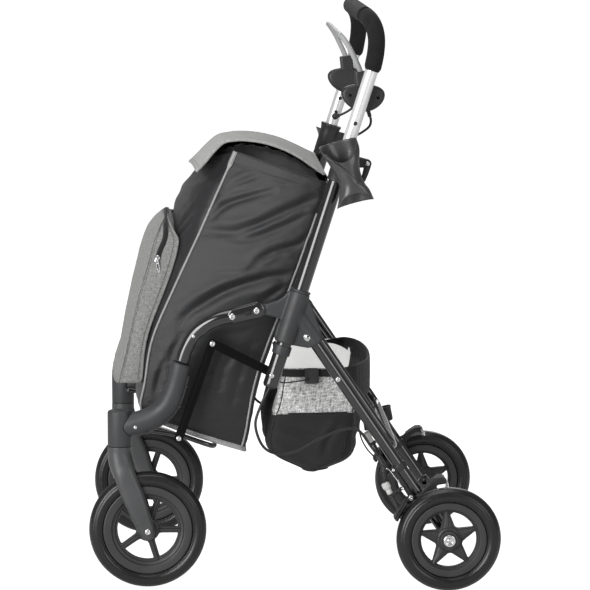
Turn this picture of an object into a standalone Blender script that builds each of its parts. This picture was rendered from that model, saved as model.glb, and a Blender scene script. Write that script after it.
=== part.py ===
# Shopping rollator: a folding four wheeled walker with a shopping bag, a front pocket and a rear basket.
# Units are metres, +Z is up, the front of the walker is -Y and the walker's left side is +X.
# The origin is on the floor, under the middle of the part.

import math

import bmesh
import bpy
from mathutils import Matrix, Vector

for old in list(bpy.data.objects):
    bpy.data.objects.remove(old, do_unlink=True)

# ------------------------------------------------------------------ driving dimensions
FRONT_R, REAR_R, TYRE_W = 0.100, 0.089, 0.032
FRONT_X, FRONT_Y = 0.226, -0.250          # front wheel centre
REAR_X, REAR_Y = 0.277, 0.260             # rear wheel centre
CASTER_Y = -0.297                         # caster swivel axis
FRAME_X = 0.250                           # main tubes and handle tubes
TUBE_R, TUBE_BORE, ALU_R = 0.0130, 0.0117, 0.0110
AXIS_Y0, AXIS_Z0, AXIS_SLOPE = 0.0110, 0.5145, 0.320
TUBE_LOW, TUBE_TOP = 0.350, 0.7505
LEG_X, LEG_R = 0.2435, 0.0100
LEG_PIVOT = Vector((0.0, 0.0265, 0.4335))
FRONT_HINGE = Vector((0.0, -0.0637, 0.4795))
BRACE_LOW = Vector((0.0, -0.0360, 0.3680))
BRACE_KNEE = Vector((0.0, -0.1389, 0.4196))
BRACE_RAIL = Vector((0.0, -0.1965, 0.2565))
LEVER_PIVOT = Vector((0.0, 0.1215, 0.7262))
BAR_PIVOT = Vector((0.0, 0.1185, 0.8460))
GRIP_R, BRAKE_BAR_R = 0.0145, 0.0045
GAP = 0.0003


def axis_y(z):
    """Where the main tube's axis is at height z."""
    return AXIS_Y0 + AXIS_SLOPE * (z - AXIS_Z0)


def on_axis(z, x=FRAME_X):
    return Vector((x, axis_y(z), z))


AXIS_DIR = Vector((0, AXIS_SLOPE, 1)).normalized()
AXIS_NORMAL = Vector((0, 1, -AXIS_SLOPE)).normalized()
LEG_END = Vector((0, REAR_Y, REAR_R))
LEG_DIR = (LEG_END - LEG_PIVOT).normalized()
LEG_NORMAL = Vector((0, -LEG_DIR.z, LEG_DIR.y)).normalized()
LEG_LEN = (LEG_END - LEG_PIVOT).length


def leg(a, b, x=LEG_X):
    """A point a along the rear leg from its pivot and b behind its axis."""
    p = LEG_PIVOT + LEG_DIR * a + LEG_NORMAL * b
    return Vector((x, p.y, p.z))


# ------------------------------------------------------------------ scene helpers
PARTS = bpy.data.collections.new("shopping_rollator")
CUTTERS = bpy.data.collections.new("cutters")
bpy.context.scene.collection.children.link(PARTS)
bpy.context.scene.collection.children.link(CUTTERS)


def material(name, colour, rough, metal=0.0):
    m = bpy.data.materials.new(name)
    m.use_nodes = True
    b = m.node_tree.nodes["Principled BSDF"]
    b.inputs["Base Color"].default_value = (*colour, 1)
    b.inputs["Roughness"].default_value = rough
    b.inputs["Metallic"].default_value = metal
    m.diffuse_color = (*colour, 1)
    return m


STYLE = {
    "black_tube": ((0.012, 0.012, 0.013), 0.28, 0.0),
    "aluminium": ((0.82, 0.83, 0.84), 0.30, 1.0),
    "plastic": ((0.045, 0.046, 0.048), 0.55, 0.0),
    "rim": ((0.055, 0.055, 0.057), 0.50, 0.0),
    "rubber": ((0.035, 0.034, 0.033), 0.38, 0.0),
    "foam": ((0.022, 0.022, 0.022), 0.85, 0.0),
    "chrome": ((0.75, 0.75, 0.76), 0.18, 1.0),
    "nylon": ((0.055, 0.055, 0.060), 0.80, 0.0),
    "melange": ((0.26, 0.26, 0.26), 0.92, 0.0),
    "pale_melange": ((0.47, 0.47, 0.46), 0.92, 0.0),
    "mesh": ((0.020, 0.020, 0.022), 0.90, 0.0),
    "webbing": ((0.018, 0.018, 0.018), 0.80, 0.0),
    "holster": ((0.030, 0.030, 0.032), 0.30, 0.0),
    "flat_steel": ((0.014, 0.014, 0.015), 0.45, 0.0),
    "cable": ((0.020, 0.020, 0.020), 0.45, 0.0),
}


def finish(o, style, smooth=True):
    colour, rough, metal = STYLE[style]
    o.data.materials.clear()
    o.data.materials.append(material(f"{o.name}_mat", colour, rough, metal))
    if smooth and o.type == "MESH":
        o.data.shade_smooth()
        o.data.set_sharp_from_angle(angle=math.radians(38))
    return o


def add(name, data, cutter=False):
    o = bpy.data.objects.new(name, data)
    if cutter:
        CUTTERS.objects.link(o)
        o.hide_render = True
        o.display_type = "WIRE"
    else:
        PARTS.objects.link(o)
    return o


def solid(o):
    """The evaluated mesh of an object, welded, in a new object of the same name."""
    bpy.context.view_layer.update()
    dg = bpy.context.evaluated_depsgraph_get()
    me = bpy.data.meshes.new_from_object(o.evaluated_get(dg))
    me.transform(o.matrix_world)
    bm = bmesh.new()
    bm.from_mesh(me)
    bmesh.ops.remove_doubles(bm, verts=bm.verts, dist=0.00001)
    bmesh.ops.recalc_face_normals(bm, faces=bm.faces)
    bm.to_mesh(me)
    bm.free()
    name, cut = o.name, o.name in CUTTERS.objects
    bpy.data.objects.remove(o, do_unlink=True)
    return add(name, me, cut)


def boolean(o, other, kind):
    """Joins or cuts o with another object, which is then removed."""
    m = o.modifiers.new(kind.lower(), "BOOLEAN")
    m.operation = kind
    m.solver = "EXACT"
    m.object = other
    o = solid(o)
    bpy.data.objects.remove(other, do_unlink=True)
    return o


def cut(o, *others):
    for c in others:
        o = boolean(o, c, "DIFFERENCE")
    return o


def join(o, *others):
    for c in others:
        o = boolean(o, c, "UNION")
    return o


def smooth_path(points, per):
    """A Catmull-Rom curve through the points, with per samples between each two."""
    p = [Vector(q) for q in points]
    p = [2 * p[0] - p[1]] + p + [2 * p[-1] - p[-2]]
    out = []
    for i in range(1, len(p) - 2):
        for k in range(per):
            t = k / per
            a, b, c, d = p[i - 1], p[i], p[i + 1], p[i + 2]
            out.append(
                0.5 * (2 * b + (c - a) * t + (2 * a - 5 * b + 4 * c - d) * t * t + (3 * b - a - 3 * c + d) * t ** 3)
            )
    out.append(p[-2])
    return out


def mirrored(points):
    """The points, then their mirror image in X back to the start."""
    pts = [Vector(q) for q in points]
    back = [Vector((-q.x, q.y, q.z)) for q in reversed(pts)]
    return pts + (back[1:] if abs(pts[-1].x) < 1e-6 else back)


def rod(name, points, radius, sides=12, radii=None, cutter=False):
    """A round bar along a polyline, with flat ends."""
    c = bpy.data.curves.new(name, "CURVE")
    c.dimensions = "3D"
    c.bevel_depth = radius
    c.bevel_resolution = (sides - 4) // 2
    c.use_fill_caps = True
    c.twist_mode = "MINIMUM"
    s = c.splines.new("POLY")
    s.points.add(len(points) - 1)
    for i, p in enumerate(points):
        s.points[i].co = (*p, 1)
        s.points[i].radius = 1.0 if radii is None else radii[i] / radius
    return solid(add(name, c, cutter))


def cylinder(name, a, b, r, sides=24, r2=None, cutter=False):
    a, b = Vector(a), Vector(b)
    bm = bmesh.new()
    turn = (b - a).to_track_quat("Z", "Y").to_matrix().to_4x4()
    bmesh.ops.create_cone(
        bm, cap_ends=True, segments=sides, radius1=r, radius2=r if r2 is None else r2,
        depth=(b - a).length, matrix=Matrix.Translation((a + b) / 2) @ turn,
    )
    me = bpy.data.meshes.new(name)
    bm.to_mesh(me)
    bm.free()
    return add(name, me, cutter)


def box(name, centre, size, turn=0.0, cutter=False):
    """A box, turned about X by an angle."""
    bm = bmesh.new()
    bmesh.ops.create_cube(bm, size=1.0)
    m = Matrix.Translation(Vector(centre)) @ Matrix.Rotation(turn, 4, "X") @ Matrix.Diagonal((*size, 1))
    bmesh.ops.transform(bm, matrix=m, verts=bm.verts)
    me = bpy.data.meshes.new(name)
    bm.to_mesh(me)
    bm.free()
    return add(name, me, cutter)


def plate(name, outline, x0, x1, bevel=0.0, segments=2, cutter=False):
    """A flat plate: an outline in the YZ plane, from x0 to x1."""
    c = bpy.data.curves.new(name, "CURVE")
    c.dimensions = "2D"
    c.fill_mode = "BOTH"
    c.extrude = abs(x1 - x0) / 2
    s = c.splines.new("POLY")
    s.points.add(len(outline) - 1)
    for i, (y, z) in enumerate(outline):
        s.points[i].co = (y, z, 0, 1)
    s.use_cyclic_u = True
    o = add(name, c, cutter)
    o.matrix_world = Matrix(((0, 0, 1, (x0 + x1) / 2), (1, 0, 0, 0), (0, 1, 0, 0), (0, 0, 0, 1)))
    o = solid(o)
    if bevel:
        m = o.modifiers.new("bevel", "BEVEL")
        m.width = bevel
        m.segments = segments
        m.limit_method = "ANGLE"
        m.angle_limit = math.radians(50)
        m.use_clamp_overlap = True
        o = solid(o)
    return o


def stadium(a, b, r, r2=None, n=7):
    """The outline of a bar with round ends from a to b, in Y and Z."""
    a, b = Vector((a[0], a[1])), Vector((b[0], b[1]))
    r2 = r if r2 is None else r2
    d = (b - a).normalized()
    base = math.atan2(d.y, d.x)
    out = []
    for k in range(n):
        t = base + math.pi / 2 + math.pi * k / (n - 1)
        out.append((a.x + r * math.cos(t), a.y + r * math.sin(t)))
    for k in range(n):
        t = base - math.pi / 2 + math.pi * k / (n - 1)
        out.append((b.x + r2 * math.cos(t), b.y + r2 * math.sin(t)))
    return out


def rounded(corners, r, n=3):
    """A polygon's corners rounded off by short arcs; gentle bends stay as they are."""
    out = []
    m = len(corners)
    for i in range(m):
        p = Vector(corners[i])
        a, b = Vector(corners[i - 1]) - p, Vector(corners[(i + 1) % m]) - p
        if a.angle(b) > math.radians(148):
            out.append((p.x, p.y))
            continue
        ra = min(r, a.length * 0.45, b.length * 0.45)
        s, e = p + a.normalized() * ra, p + b.normalized() * ra
        for k in range(n):
            t = k / (n - 1)
            q = s * (1 - t) ** 2 + p * 2 * t * (1 - t) + e * t * t
            out.append((q.x, q.y))
    return out


def turned(name, profile, centre, steps, closed=True):
    """A profile of (radius, offset) turned about an axis along X through centre."""
    me = bpy.data.meshes.new(name)
    verts = [(r, 0.0, h) for r, h in profile]
    edges = [(i, i + 1) for i in range(len(verts) - 1)]
    if closed:
        edges.append((len(verts) - 1, 0))
    me.from_pydata(verts, edges, [])
    o = add(name, me)
    m = o.modifiers.new("turn", "SCREW")
    m.axis = "Z"
    m.angle = 2 * math.pi
    m.steps = m.render_steps = steps
    m.use_merge_vertices = True
    m.merge_threshold = 0.00001
    o.matrix_world = Matrix.Translation(Vector(centre)) @ Matrix(
        ((0, 0, 1, 0), (1, 0, 0, 0), (0, 1, 0, 0), (0, 0, 0, 1))
    )
    return solid(o)


def loft(name, rings, cap_start=True, cap_end=True, closed=True):
    """Faces between rings of the same number of points."""
    bm = bmesh.new()
    rows = [[bm.verts.new(p) for p in ring] for ring in rings]
    n = len(rows[0])
    last = n if closed else n - 1
    for r0, r1 in zip(rows, rows[1:]):
        for i in range(last):
            j = (i + 1) % n
            bm.faces.new((r0[i], r0[j], r1[j], r1[i]))
    if cap_start:
        bm.faces.new(rows[0])
    if cap_end:
        bm.faces.new(list(reversed(rows[-1])))
    bmesh.ops.recalc_face_normals(bm, faces=bm.faces)
    me = bpy.data.meshes.new(name)
    bm.to_mesh(me)
    bm.free()
    return add(name, me)


def shell(o, thickness, offset=-1.0):
    m = o.modifiers.new("wall", "SOLIDIFY")
    m.thickness = thickness
    m.offset = offset
    m.use_even_offset = True
    m.use_quality_normals = True
    return solid(o)


def pivot(name, location):
    """An empty on a joint's axis, which carries the moving piece."""
    e = bpy.data.objects.new(name, None)
    e.location = location
    e.empty_display_size = 0.02
    PARTS.objects.link(e)
    return e


def carry(empty, *objects):
    bpy.context.view_layer.update()
    for o in objects:
        o.parent = empty
        o.matrix_parent_inverse = empty.matrix_world.inverted()


SIDES = (("left", 1), ("right", -1))


def at(p, s):
    return Vector((p[0] * s, p[1], p[2]))


# ------------------------------------------------------------------ wheels
def opening_front(k, base):
    """One rounded opening between two thin spokes, as (angle, radius) corners turned into Y and Z."""
    r_in, r_out = 0.0195, 0.0522
    a0, a1 = base + k * 72, base + (k + 1) * 72
    d_in, d_out = math.degrees(math.asin(0.0050 / r_in)), math.degrees(math.asin(0.0046 / r_out))
    pts = [(r_in, a0 + d_in), (r_out, a0 + d_out)]
    for t in (0.25, 0.5, 0.75):
        pts.append((r_out, a0 + d_out + t * (a1 - a0 - 2 * d_out)))
    pts += [(r_out, a1 - d_out), (r_in, a1 - d_in)]
    return [(r * math.cos(math.radians(a)), r * math.sin(math.radians(a))) for r, a in pts]


def opening_rear(k, base):
    """One opening between two star points."""
    r_in, r_out = 0.0240, 0.0470
    a0, a1 = base + k * 72, base + (k + 1) * 72
    d_out = math.degrees(math.asin(0.0040 / r_out))
    mid = (a0 + a1) / 2
    pts = [(r_in, mid - 6), (r_out, a0 + d_out)]
    for t in (0.33, 0.67):
        pts.append((r_out, a0 + d_out + t * (a1 - a0 - 2 * d_out)))
    pts += [(r_out, a1 - d_out), (r_in, mid + 6)]
    return [(r * math.cos(math.radians(a)), r * math.sin(math.radians(a))) for r, a in pts]


TYRE_STEPS = 26  # puts one flat of the tread on the floor


def wheel(label, centre, radius, seam, hub_half, opening, base, flange, s):
    half = TYRE_W / 2
    c = Vector(centre)
    tall = radius - seam
    tread = radius / math.cos(math.pi / TYRE_STEPS)  # the flats of the tread lie at the wheel's radius
    section = [
        (seam, 0.0120), (seam + tall * 0.38, half), (seam + tall * 0.80, 0.0122), (tread, 0.0045),
        (tread, -0.0045), (seam + tall * 0.80, -0.0122), (seam + tall * 0.38, -half), (seam, -0.0120),
    ]
    tyre = turned(f"{label}_tyre_{s}", section, c, TYRE_STEPS)
    finish(tyre, "rubber")
    web, lip = flange
    out = seam - GAP
    half_profile = [
        (out, 0.0114), (out - 0.0095, 0.0122), (out - 0.0120, 0.0082), (web, 0.0064),
        (lip + 0.0020, 0.0070), (lip - 0.0010, hub_half), (0.0053, hub_half),
    ]
    profile = half_profile + [(r, -h) for r, h in reversed(half_profile)]
    rim = turned(f"{label}_rim_{s}", profile, c, TYRE_STEPS)
    holes = [opening(k, base) for k in range(5)]
    for k, outline in enumerate(holes):
        pts = [(c.y + y, c.z + z) for y, z in rounded(outline, 0.0062)]
        rim = cut(rim, plate(f"hole_{k}", pts, c.x - 0.03, c.x + 0.03, cutter=True))
    finish(rim, "rim")
    return tyre, rim


spin = {}
for side, s in SIDES:
    tyre, rim = wheel(
        "front", (FRONT_X * s, FRONT_Y, FRONT_R), FRONT_R, 0.0762, 0.0172, opening_front, -1.0, (0.0535, 0.0150), side
    )
    spin[f"front_{side}"] = (pivot(f"front_wheel_axis_{side}", (FRONT_X * s, FRONT_Y, FRONT_R)), tyre, rim)
    tyre, rim = wheel(
        "rear", (REAR_X * s, REAR_Y, REAR_R), REAR_R, 0.0645, 0.0170, opening_rear, 22.4, (0.0485, 0.0180), side
    )
    spin[f"rear_{side}"] = (pivot(f"rear_wheel_axis_{side}", (REAR_X * s, REAR_Y, REAR_R)), tyre, rim)
for e, *objects in spin.values():
    carry(e, *objects)

# ------------------------------------------------------------------ casters
FORK = (  # centre Y, centre Z, half width in X, half width across, squareness
    (CASTER_Y, 0.2436, 0.0203, 0.0203, 2.0),
    (CASTER_Y, 0.2320, 0.0203, 0.0205, 2.0),
    (-0.2945, 0.2160, 0.0225, 0.0212, 2.3),
    (-0.2890, 0.2000, 0.0262, 0.0210, 2.8),
    (-0.2820, 0.1790, 0.0270, 0.0208, 3.4),
    (-0.2700, 0.1480, 0.0270, 0.0200, 3.8),
    (-0.2588, 0.1190, 0.0268, 0.0170, 3.8),
    (-0.2515, 0.1000, 0.0265, 0.0150, 3.6),
    (-0.2482, 0.0890, 0.0258, 0.0110, 3.0),
    (-0.2470, 0.0850, 0.0245, 0.0060, 2.6),
)
for side, s in SIDES:
    rings = []
    for i, (y, z, hx, hy, e) in enumerate(FORK):
        y0, z0 = FORK[max(i - 1, 0)][:2]
        y1, z1 = FORK[min(i + 1, len(FORK) - 1)][:2]
        along = Vector((0, y1 - y0, z1 - z0)).normalized()
        if i == 0:
            along = Vector((0, 0, -1))
        across = Vector((0, -along.z, along.y))
        ring = []
        for k in range(18):
            t = 2 * math.pi * k / 18
            cx, cy = math.cos(t), math.sin(t)
            fx = math.copysign(abs(cx) ** (2 / e), cx) * hx
            fy = math.copysign(abs(cy) ** (2 / e), cy) * hy
            ring.append(Vector((FRONT_X * s + fx, y, z)) + across * fy)
        rings.append(ring)
    fork = loft(f"caster_fork_{side}", rings)
    fork = cut(
        fork,
        cylinder("slot", (FRONT_X * s - 0.0185, FRONT_Y, FRONT_R), (FRONT_X * s + 0.0185, FRONT_Y, FRONT_R), 0.1065, 36, cutter=True),
    )
    finish(fork, "plastic")
    axle = cylinder(
        f"front_axle_{side}", (FRONT_X * s - 0.0182, FRONT_Y, FRONT_R), (FRONT_X * s + 0.0182, FRONT_Y, FRONT_R), 0.0050, 16
    )
    finish(axle, "chrome")
    carry(pivot(f"caster_axis_{side}", (FRONT_X * s, CASTER_Y, 0.2438)), fork, axle, spin[f"front_{side}"][0])

# ------------------------------------------------------------------ front frame
TUBE_PATH = smooth_path(
    [(0.2500, -0.0800, 0.4755), (0.2500, -0.1035, 0.4700), (0.2490, -0.1290, 0.4640), (0.2465, -0.1519, 0.4525),
     (0.2435, -0.1713, 0.4350), (0.2405, -0.1842, 0.4110), (0.2388, -0.1912, 0.3890)], 2
)
ELBOW = (  # X, Y, Z, radius
    (0.2386, -0.1914, 0.3882, 0.0163), (0.2372, -0.1952, 0.3740, 0.0166), (0.2355, -0.2002, 0.3540, 0.0168),
    (0.2335, -0.2075, 0.3320, 0.0178), (0.2315, -0.2185, 0.3120, 0.0186), (0.2295, -0.2350, 0.2975, 0.0190),
    (0.2278, -0.2550, 0.2875, 0.0196), (0.2265, -0.2760, 0.2810, 0.0198), (0.2260, -0.2960, 0.2760, 0.0190),
)
for side, s in SIDES:
    fx = FRAME_X * s
    clevis = plate(
        f"front_tube_{side}", stadium((FRONT_HINGE.y, FRONT_HINGE.z), (-0.1020, 0.4703), 0.0120, 0.0112, 5), fx - 0.0120, fx + 0.0120, 0.002
    )
    clevis = cut(clevis, box("slot", (fx, -0.0580, 0.4802), (0.0126, 0.0350, 0.040), math.radians(-14), cutter=True))
    bar = rod("bar", [at(p, s) for p in TUBE_PATH], 0.0118, 12)
    pin = cylinder("pin", (fx - 0.0110, FRONT_HINGE.y, FRONT_HINGE.z), (fx + 0.0110, FRONT_HINGE.y, FRONT_HINGE.z), 0.0040, 12)
    tube = finish(join(clevis, bar, pin), "black_tube")
    tube.name = f"front_tube_{side}"

    sweep = rod(
        f"front_elbow_{side}", [at(p[:3], s) for p in ELBOW], 0.0163, 12, [p[3] for p in ELBOW]
    )
    head = cylinder("head", (FRONT_X * s, CASTER_Y, 0.2441), (FRONT_X * s, CASTER_Y, 0.3060), 0.0203, 24)
    m = head.modifiers.new("bevel", "BEVEL")
    m.width = 0.0022
    m.segments = 2
    m.limit_method = "ANGLE"
    head = solid(head)
    finish(join(sweep, head), "plastic")

RAIL_X, RAIL_R = 0.1995, 0.0050
rail_path = smooth_path(
    [(RAIL_X, -0.2900, 0.2700), (RAIL_X, -0.2500, 0.2655), (RAIL_X, BRACE_RAIL.y, BRACE_RAIL.z),
     (RAIL_X, -0.1650, 0.2460), (0.1965, -0.1450, 0.2385), (0.1860, -0.1370, 0.2355), (0.1650, -0.1350, 0.2350)], 2
)
rail = rod("bag_support_rail", mirrored(rail_path), RAIL_R, 10)
studs = [
    cylinder("stud", (RAIL_X * s, BRACE_RAIL.y, BRACE_RAIL.z), (0.2262 * s, BRACE_RAIL.y, BRACE_RAIL.z), 0.0040, 12)
    for _, s in SIDES
]
lugs = [
    box("lug", (0.2025 * s, -0.2860, 0.2695), (0.0056, 0.0140, 0.0100)) for _, s in SIDES
]
rail = finish(join(rail, *studs, *lugs), "black_tube")
front_axis = pivot("front_frame_axis", FRONT_HINGE)
carry(
    front_axis, rail, *[bpy.data.objects[f"{n}_{side}"] for n in ("front_tube", "front_elbow", "caster_axis") for side, _ in SIDES]
)

# ------------------------------------------------------------------ braces
for side, s in SIDES:
    low = plate(
        f"brace_rear_{side}", stadium((BRACE_LOW.y, BRACE_LOW.z), (BRACE_KNEE.y, BRACE_KNEE.z), 0.0075),
        min(0.2310 * s, 0.2340 * s), max(0.2310 * s, 0.2340 * s),
    )
    finish(low, "flat_steel")
    high = plate(
        f"brace_front_{side}", stadium((BRACE_RAIL.y, BRACE_RAIL.z), (BRACE_KNEE.y, BRACE_KNEE.z), 0.0075),
        min(0.2265 * s, 0.2295 * s), max(0.2265 * s, 0.2295 * s),
    )
    finish(high, "flat_steel")
    carry(pivot(f"brace_rear_axis_{side}", (0.2325 * s, BRACE_LOW.y, BRACE_LOW.z)), low)
    carry(pivot(f"brace_front_axis_{side}", (0.2280 * s, BRACE_RAIL.y, BRACE_RAIL.z)), high)

# ------------------------------------------------------------------ main tubes, hubs, collars
HUB = [
    (-0.0090, 0.5145), (0.0215, 0.5080), (0.0265, 0.4920), (0.0475, 0.4330), (0.0445, 0.4265), (0.0280, 0.4150),
    (0.0090, 0.4165), (-0.0105, 0.4205), (-0.0400, 0.4290), (-0.0314, 0.4530), (-0.0245, 0.4650), (-0.0430, 0.4690),
    (-0.0495, 0.4715), (-0.0495, 0.4895), (-0.0314, 0.5000), (-0.0150, 0.5090),
]
for side, s in SIDES:
    fx = FRAME_X * s
    tube = cylinder(f"main_tube_{side}", on_axis(TUBE_LOW, fx), on_axis(TUBE_TOP, fx), TUBE_R, 24)
    tube = cut(tube, cylinder("bore", on_axis(TUBE_LOW - 0.01, fx), on_axis(TUBE_TOP + 0.01, fx), TUBE_BORE, 24, cutter=True))
    tube = join(tube, cylinder("boss", (0.2344 * s, BRACE_LOW.y, BRACE_LOW.z), (0.2379 * s, BRACE_LOW.y, BRACE_LOW.z), 0.0050, 12))
    finish(tube, "black_tube")

    hub = plate(f"hub_{side}", rounded(HUB, 0.006, 2), min(0.2340 * s, 0.2655 * s), max(0.2340 * s, 0.2655 * s), 0.0035, 1)
    sleeve = cylinder("sleeve", on_axis(0.4040, fx), on_axis(0.5135, fx), 0.0170, 24)
    tongue = plate(
        "tongue", stadium((-0.0440, 0.4807), (FRONT_HINGE.y, FRONT_HINGE.z), 0.0092), fx - 0.0055, fx + 0.0055
    )
    hub = join(hub, sleeve, tongue)
    bore = cylinder("bore", on_axis(0.38, fx), on_axis(0.54, fx), TUBE_R + GAP, 24, cutter=True)
    eye = cylinder("eye", (fx - 0.02, FRONT_HINGE.y, FRONT_HINGE.z), (fx + 0.02, FRONT_HINGE.y, FRONT_HINGE.z), 0.0045, 12, cutter=True)
    py, pz = LEG_PIVOT.y, LEG_PIVOT.z
    swing = [(py + 0.0112 * math.cos(math.radians(a)), pz + 0.0112 * math.sin(math.radians(a))) for a in range(40, 190, 25)]
    d1 = Vector((-math.sin(math.radians(16)), -math.cos(math.radians(16))))  # the leg folded
    d0 = Vector((LEG_DIR.y, LEG_DIR.z))
    swing += [(py + d1.y * 0.0112, pz - d1.x * 0.0112), (py + d1.x * 0.05 + d1.y * 0.0112, pz + d1.y * 0.05 - d1.x * 0.0112)]
    swing += [(py + d0.x * 0.05 + LEG_NORMAL.y * 0.0112, pz + d0.y * 0.05 + LEG_NORMAL.z * 0.0112)]
    pocket = plate("swing", swing, min(0.22 * s, 0.2542 * s), max(0.22 * s, 0.2542 * s), cutter=True)
    hub = cut(hub, bore, eye, pocket)
    pin = cylinder("pin", (0.2365 * s, py, pz), (0.2570 * s, py, pz), 0.0040, 12)
    finish(join(hub, pin), "plastic")

    collar = cylinder(f"tube_collar_{side}", on_axis(0.6963, fx), on_axis(0.7531, fx), 0.0165, 24)
    ear = plate(
        "ear", stadium((axis_y(0.7310) + 0.008, 0.7310), (LEVER_PIVOT.y, LEVER_PIVOT.z), 0.0090, 0.0066), fx - 0.0035, fx + 0.0035
    )
    boss = cylinder("boss", on_axis(0.7150, fx + 0.0140 * s), on_axis(0.7150, 0.2681 * s), 0.0080, 16)
    collar = join(collar, ear, boss)
    collar = cut(collar, cylinder("bore", on_axis(0.68, fx), on_axis(0.77, fx), TUBE_R + GAP, 24, cutter=True))
    finish(collar, "plastic")

    lever = plate(
        f"height_lever_{side}", stadium((LEVER_PIVOT.y, LEVER_PIVOT.z), (0.1132, 0.6965), 0.0068, 0.0036),
        fx + s * 0.0058 - 0.0020, fx + s * 0.0058 + 0.0020, 0.0008,
    )
    finish(lever, "plastic")
    carry(pivot(f"height_lever_axis_{side}", (fx, LEVER_PIVOT.y, LEVER_PIVOT.z)), lever)

# ------------------------------------------------------------------ stick holders
HOLDER_X = 0.2900
HOLDER_LEFT = (  # front edge Y and Z, rear edge Y and Z, half depth; from the top mouth down
    (0.0404, 0.7558, 0.1007, 0.7724, 0.0216), (0.0475, 0.7425, 0.1058, 0.7560, 0.0214),
    (0.0573, 0.7250, 0.1058, 0.7370, 0.0212), (0.0655, 0.7085, 0.1072, 0.7175, 0.0210),
    (0.0722, 0.6920, 0.1135, 0.6995, 0.0210), (0.0722, 0.6745, 0.1230, 0.6860, 0.0213),
    (0.0690, 0.6545, 0.1300, 0.6705, 0.0216),
)
HOLDER_RIGHT = (
    (0.0622, 0.7444, 0.1160, 0.7300, 0.0205), (0.0650, 0.7320, 0.1105, 0.7205, 0.0200),
    (0.0655, 0.7200, 0.1060, 0.7110, 0.0196), (0.0640, 0.7070, 0.1030, 0.6990, 0.0198),
)


def holder(name, rows, s, notch_top, notch_low):
    """A thin sleeve with wide mouths, cut back to a V on its outer side."""
    rings = []
    for i, (y0, z0, y1, z1, deep) in enumerate(rows):
        f = i / (len(rows) - 1)
        a, b = Vector((y0, z0)), Vector((y1, z1))
        down = (Vector(rows[-1][:2]) + Vector(rows[-1][2:4]) - Vector(rows[0][:2]) - Vector(rows[0][2:4])).normalized()
        ring = []
        for k in range(18):
            angle = 2 * math.pi * k / 18
            v = max(0.0, math.cos(angle)) ** 1.5
            shift = v * (notch_top * (1 - f) ** 1.5 - notch_low * f ** 1.5)
            p = (a + b) / 2 + (b - a) / 2 * math.sin(angle) + down * shift
            ring.append(Vector((s * (HOLDER_X + deep * math.cos(angle)), p.x, p.y)))
        rings.append(ring)
    return finish(shell(loft(name, rings, False, False), 0.0018), "holster")


holder("stick_holder_left", HOLDER_LEFT, 1, 0.0330, 0.0200)
holder("stick_holder_right", HOLDER_RIGHT, -1, 0.0120, 0.0080)

# ------------------------------------------------------------------ handle
bar_points = smooth_path(
    [on_axis(0.860), on_axis(0.888), (0.2500, 0.1350, 0.9110), (0.2480, 0.1365, 0.9330), (0.2400, 0.1335, 0.9520),
     (0.2240, 0.1272, 0.9650), (0.2000, 0.1220, 0.9705), (0.1700, 0.1200, 0.9720)], 2
)
push = rod("push_bar", mirrored([on_axis(0.560)] + bar_points), ALU_R, 12)
finish(push, "aluminium")
GRIP_LOW = on_axis(0.884)
grip_points = [GRIP_LOW] + [p for p in bar_points if p.z > 0.8885]
grip = rod("handle_grip", mirrored(grip_points), GRIP_R, 12)
inner = rod("core", mirrored([on_axis(0.870)] + grip_points), ALU_R + 0.0004, 12, cutter=True)
grip = finish(cut(grip, inner), "foam")

ARM_X = 0.2265
arm = smooth_path(
    [(ARM_X, BAR_PIVOT.y, BAR_PIVOT.z), (ARM_X, 0.1112, 0.8776), (ARM_X, 0.1020, 0.8993), (0.2245, 0.0922, 0.9190),
     (0.2170, 0.0838, 0.9320), (0.2000, 0.0797, 0.9372), (0.1750, 0.0790, 0.9380)], 2
)
bend, onward = arm[10], (arm[10] - arm[11]).normalized()  # each arm is a solid of its own up to the bend
brake_bar = finish(rod("brake_bar", mirrored(arm[10:]), BRAKE_BAR_R, 8), "aluminium")
arm_line = arm[:10] + [bend + onward * 0.0030, bend + onward * 0.0004]
arms = [finish(rod(f"brake_bar_arm_{side}", [at(p, s) for p in arm_line], BRAKE_BAR_R, 8), "aluminium") for side, s in SIDES]
carry(pivot("brake_bar_axis", BAR_PIVOT), brake_bar, *arms)

for side, s in SIDES:
    outline = []
    for k in range(16):  # a leaf shaped cover, a little fuller in front
        t = 2 * math.pi * k / 16
        outline.append((0.1155 + 0.0365 * math.cos(t) - 0.002 * math.sin(t), 0.8375 + 0.0232 * math.sin(t) + 0.003 * math.cos(2 * t)))
    house = plate(f"brake_housing_{side}", outline, min(0.2155 * s, 0.2375 * s), max(0.2155 * s, 0.2375 * s), 0.003)
    centre = on_axis(0.8375)
    saddle = box("saddle", (0.2400 * s, centre.y, centre.z), (0.0160, 0.0140, 0.0300), -math.atan(AXIS_SLOPE))
    socket = box("socket", (ARM_X * s, 0.1135, 0.8640), (0.0190, 0.0235, 0.0300), 0.10)
    barrel = cylinder("barrel", (ARM_X * s, 0.1215, 0.8230), (ARM_X * s, 0.1256, 0.8080), 0.0036, 12)
    house = join(house, saddle, socket, barrel)
    house = cut(
        house,
        box("slot", (ARM_X * s, 0.1168, 0.8700), (0.0120, 0.0220, 0.0640), cutter=True),
        cylinder("tube", on_axis(0.80, FRAME_X * s), on_axis(0.88, FRAME_X * s), ALU_R + 0.0005, 24, cutter=True),
    )
    finish(house, "plastic")
    wire = smooth_path(
        [(ARM_X, 0.12572, 0.80765), (ARM_X, 0.1288, 0.7970), (0.2275, 0.1262, 0.7865), (0.2292, 0.1150, 0.7775),
         (0.2318, 0.1035, 0.7715), (0.2348, 0.0955, 0.7690), (0.2368, 0.0925, 0.7682)], 2
    )
    finish(rod(f"upper_cable_{side}", [at(p, s) for p in wire], 0.0021, 8), "cable")
handle_axis = pivot("handle_slide", on_axis(TUBE_TOP, 0.0))
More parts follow.
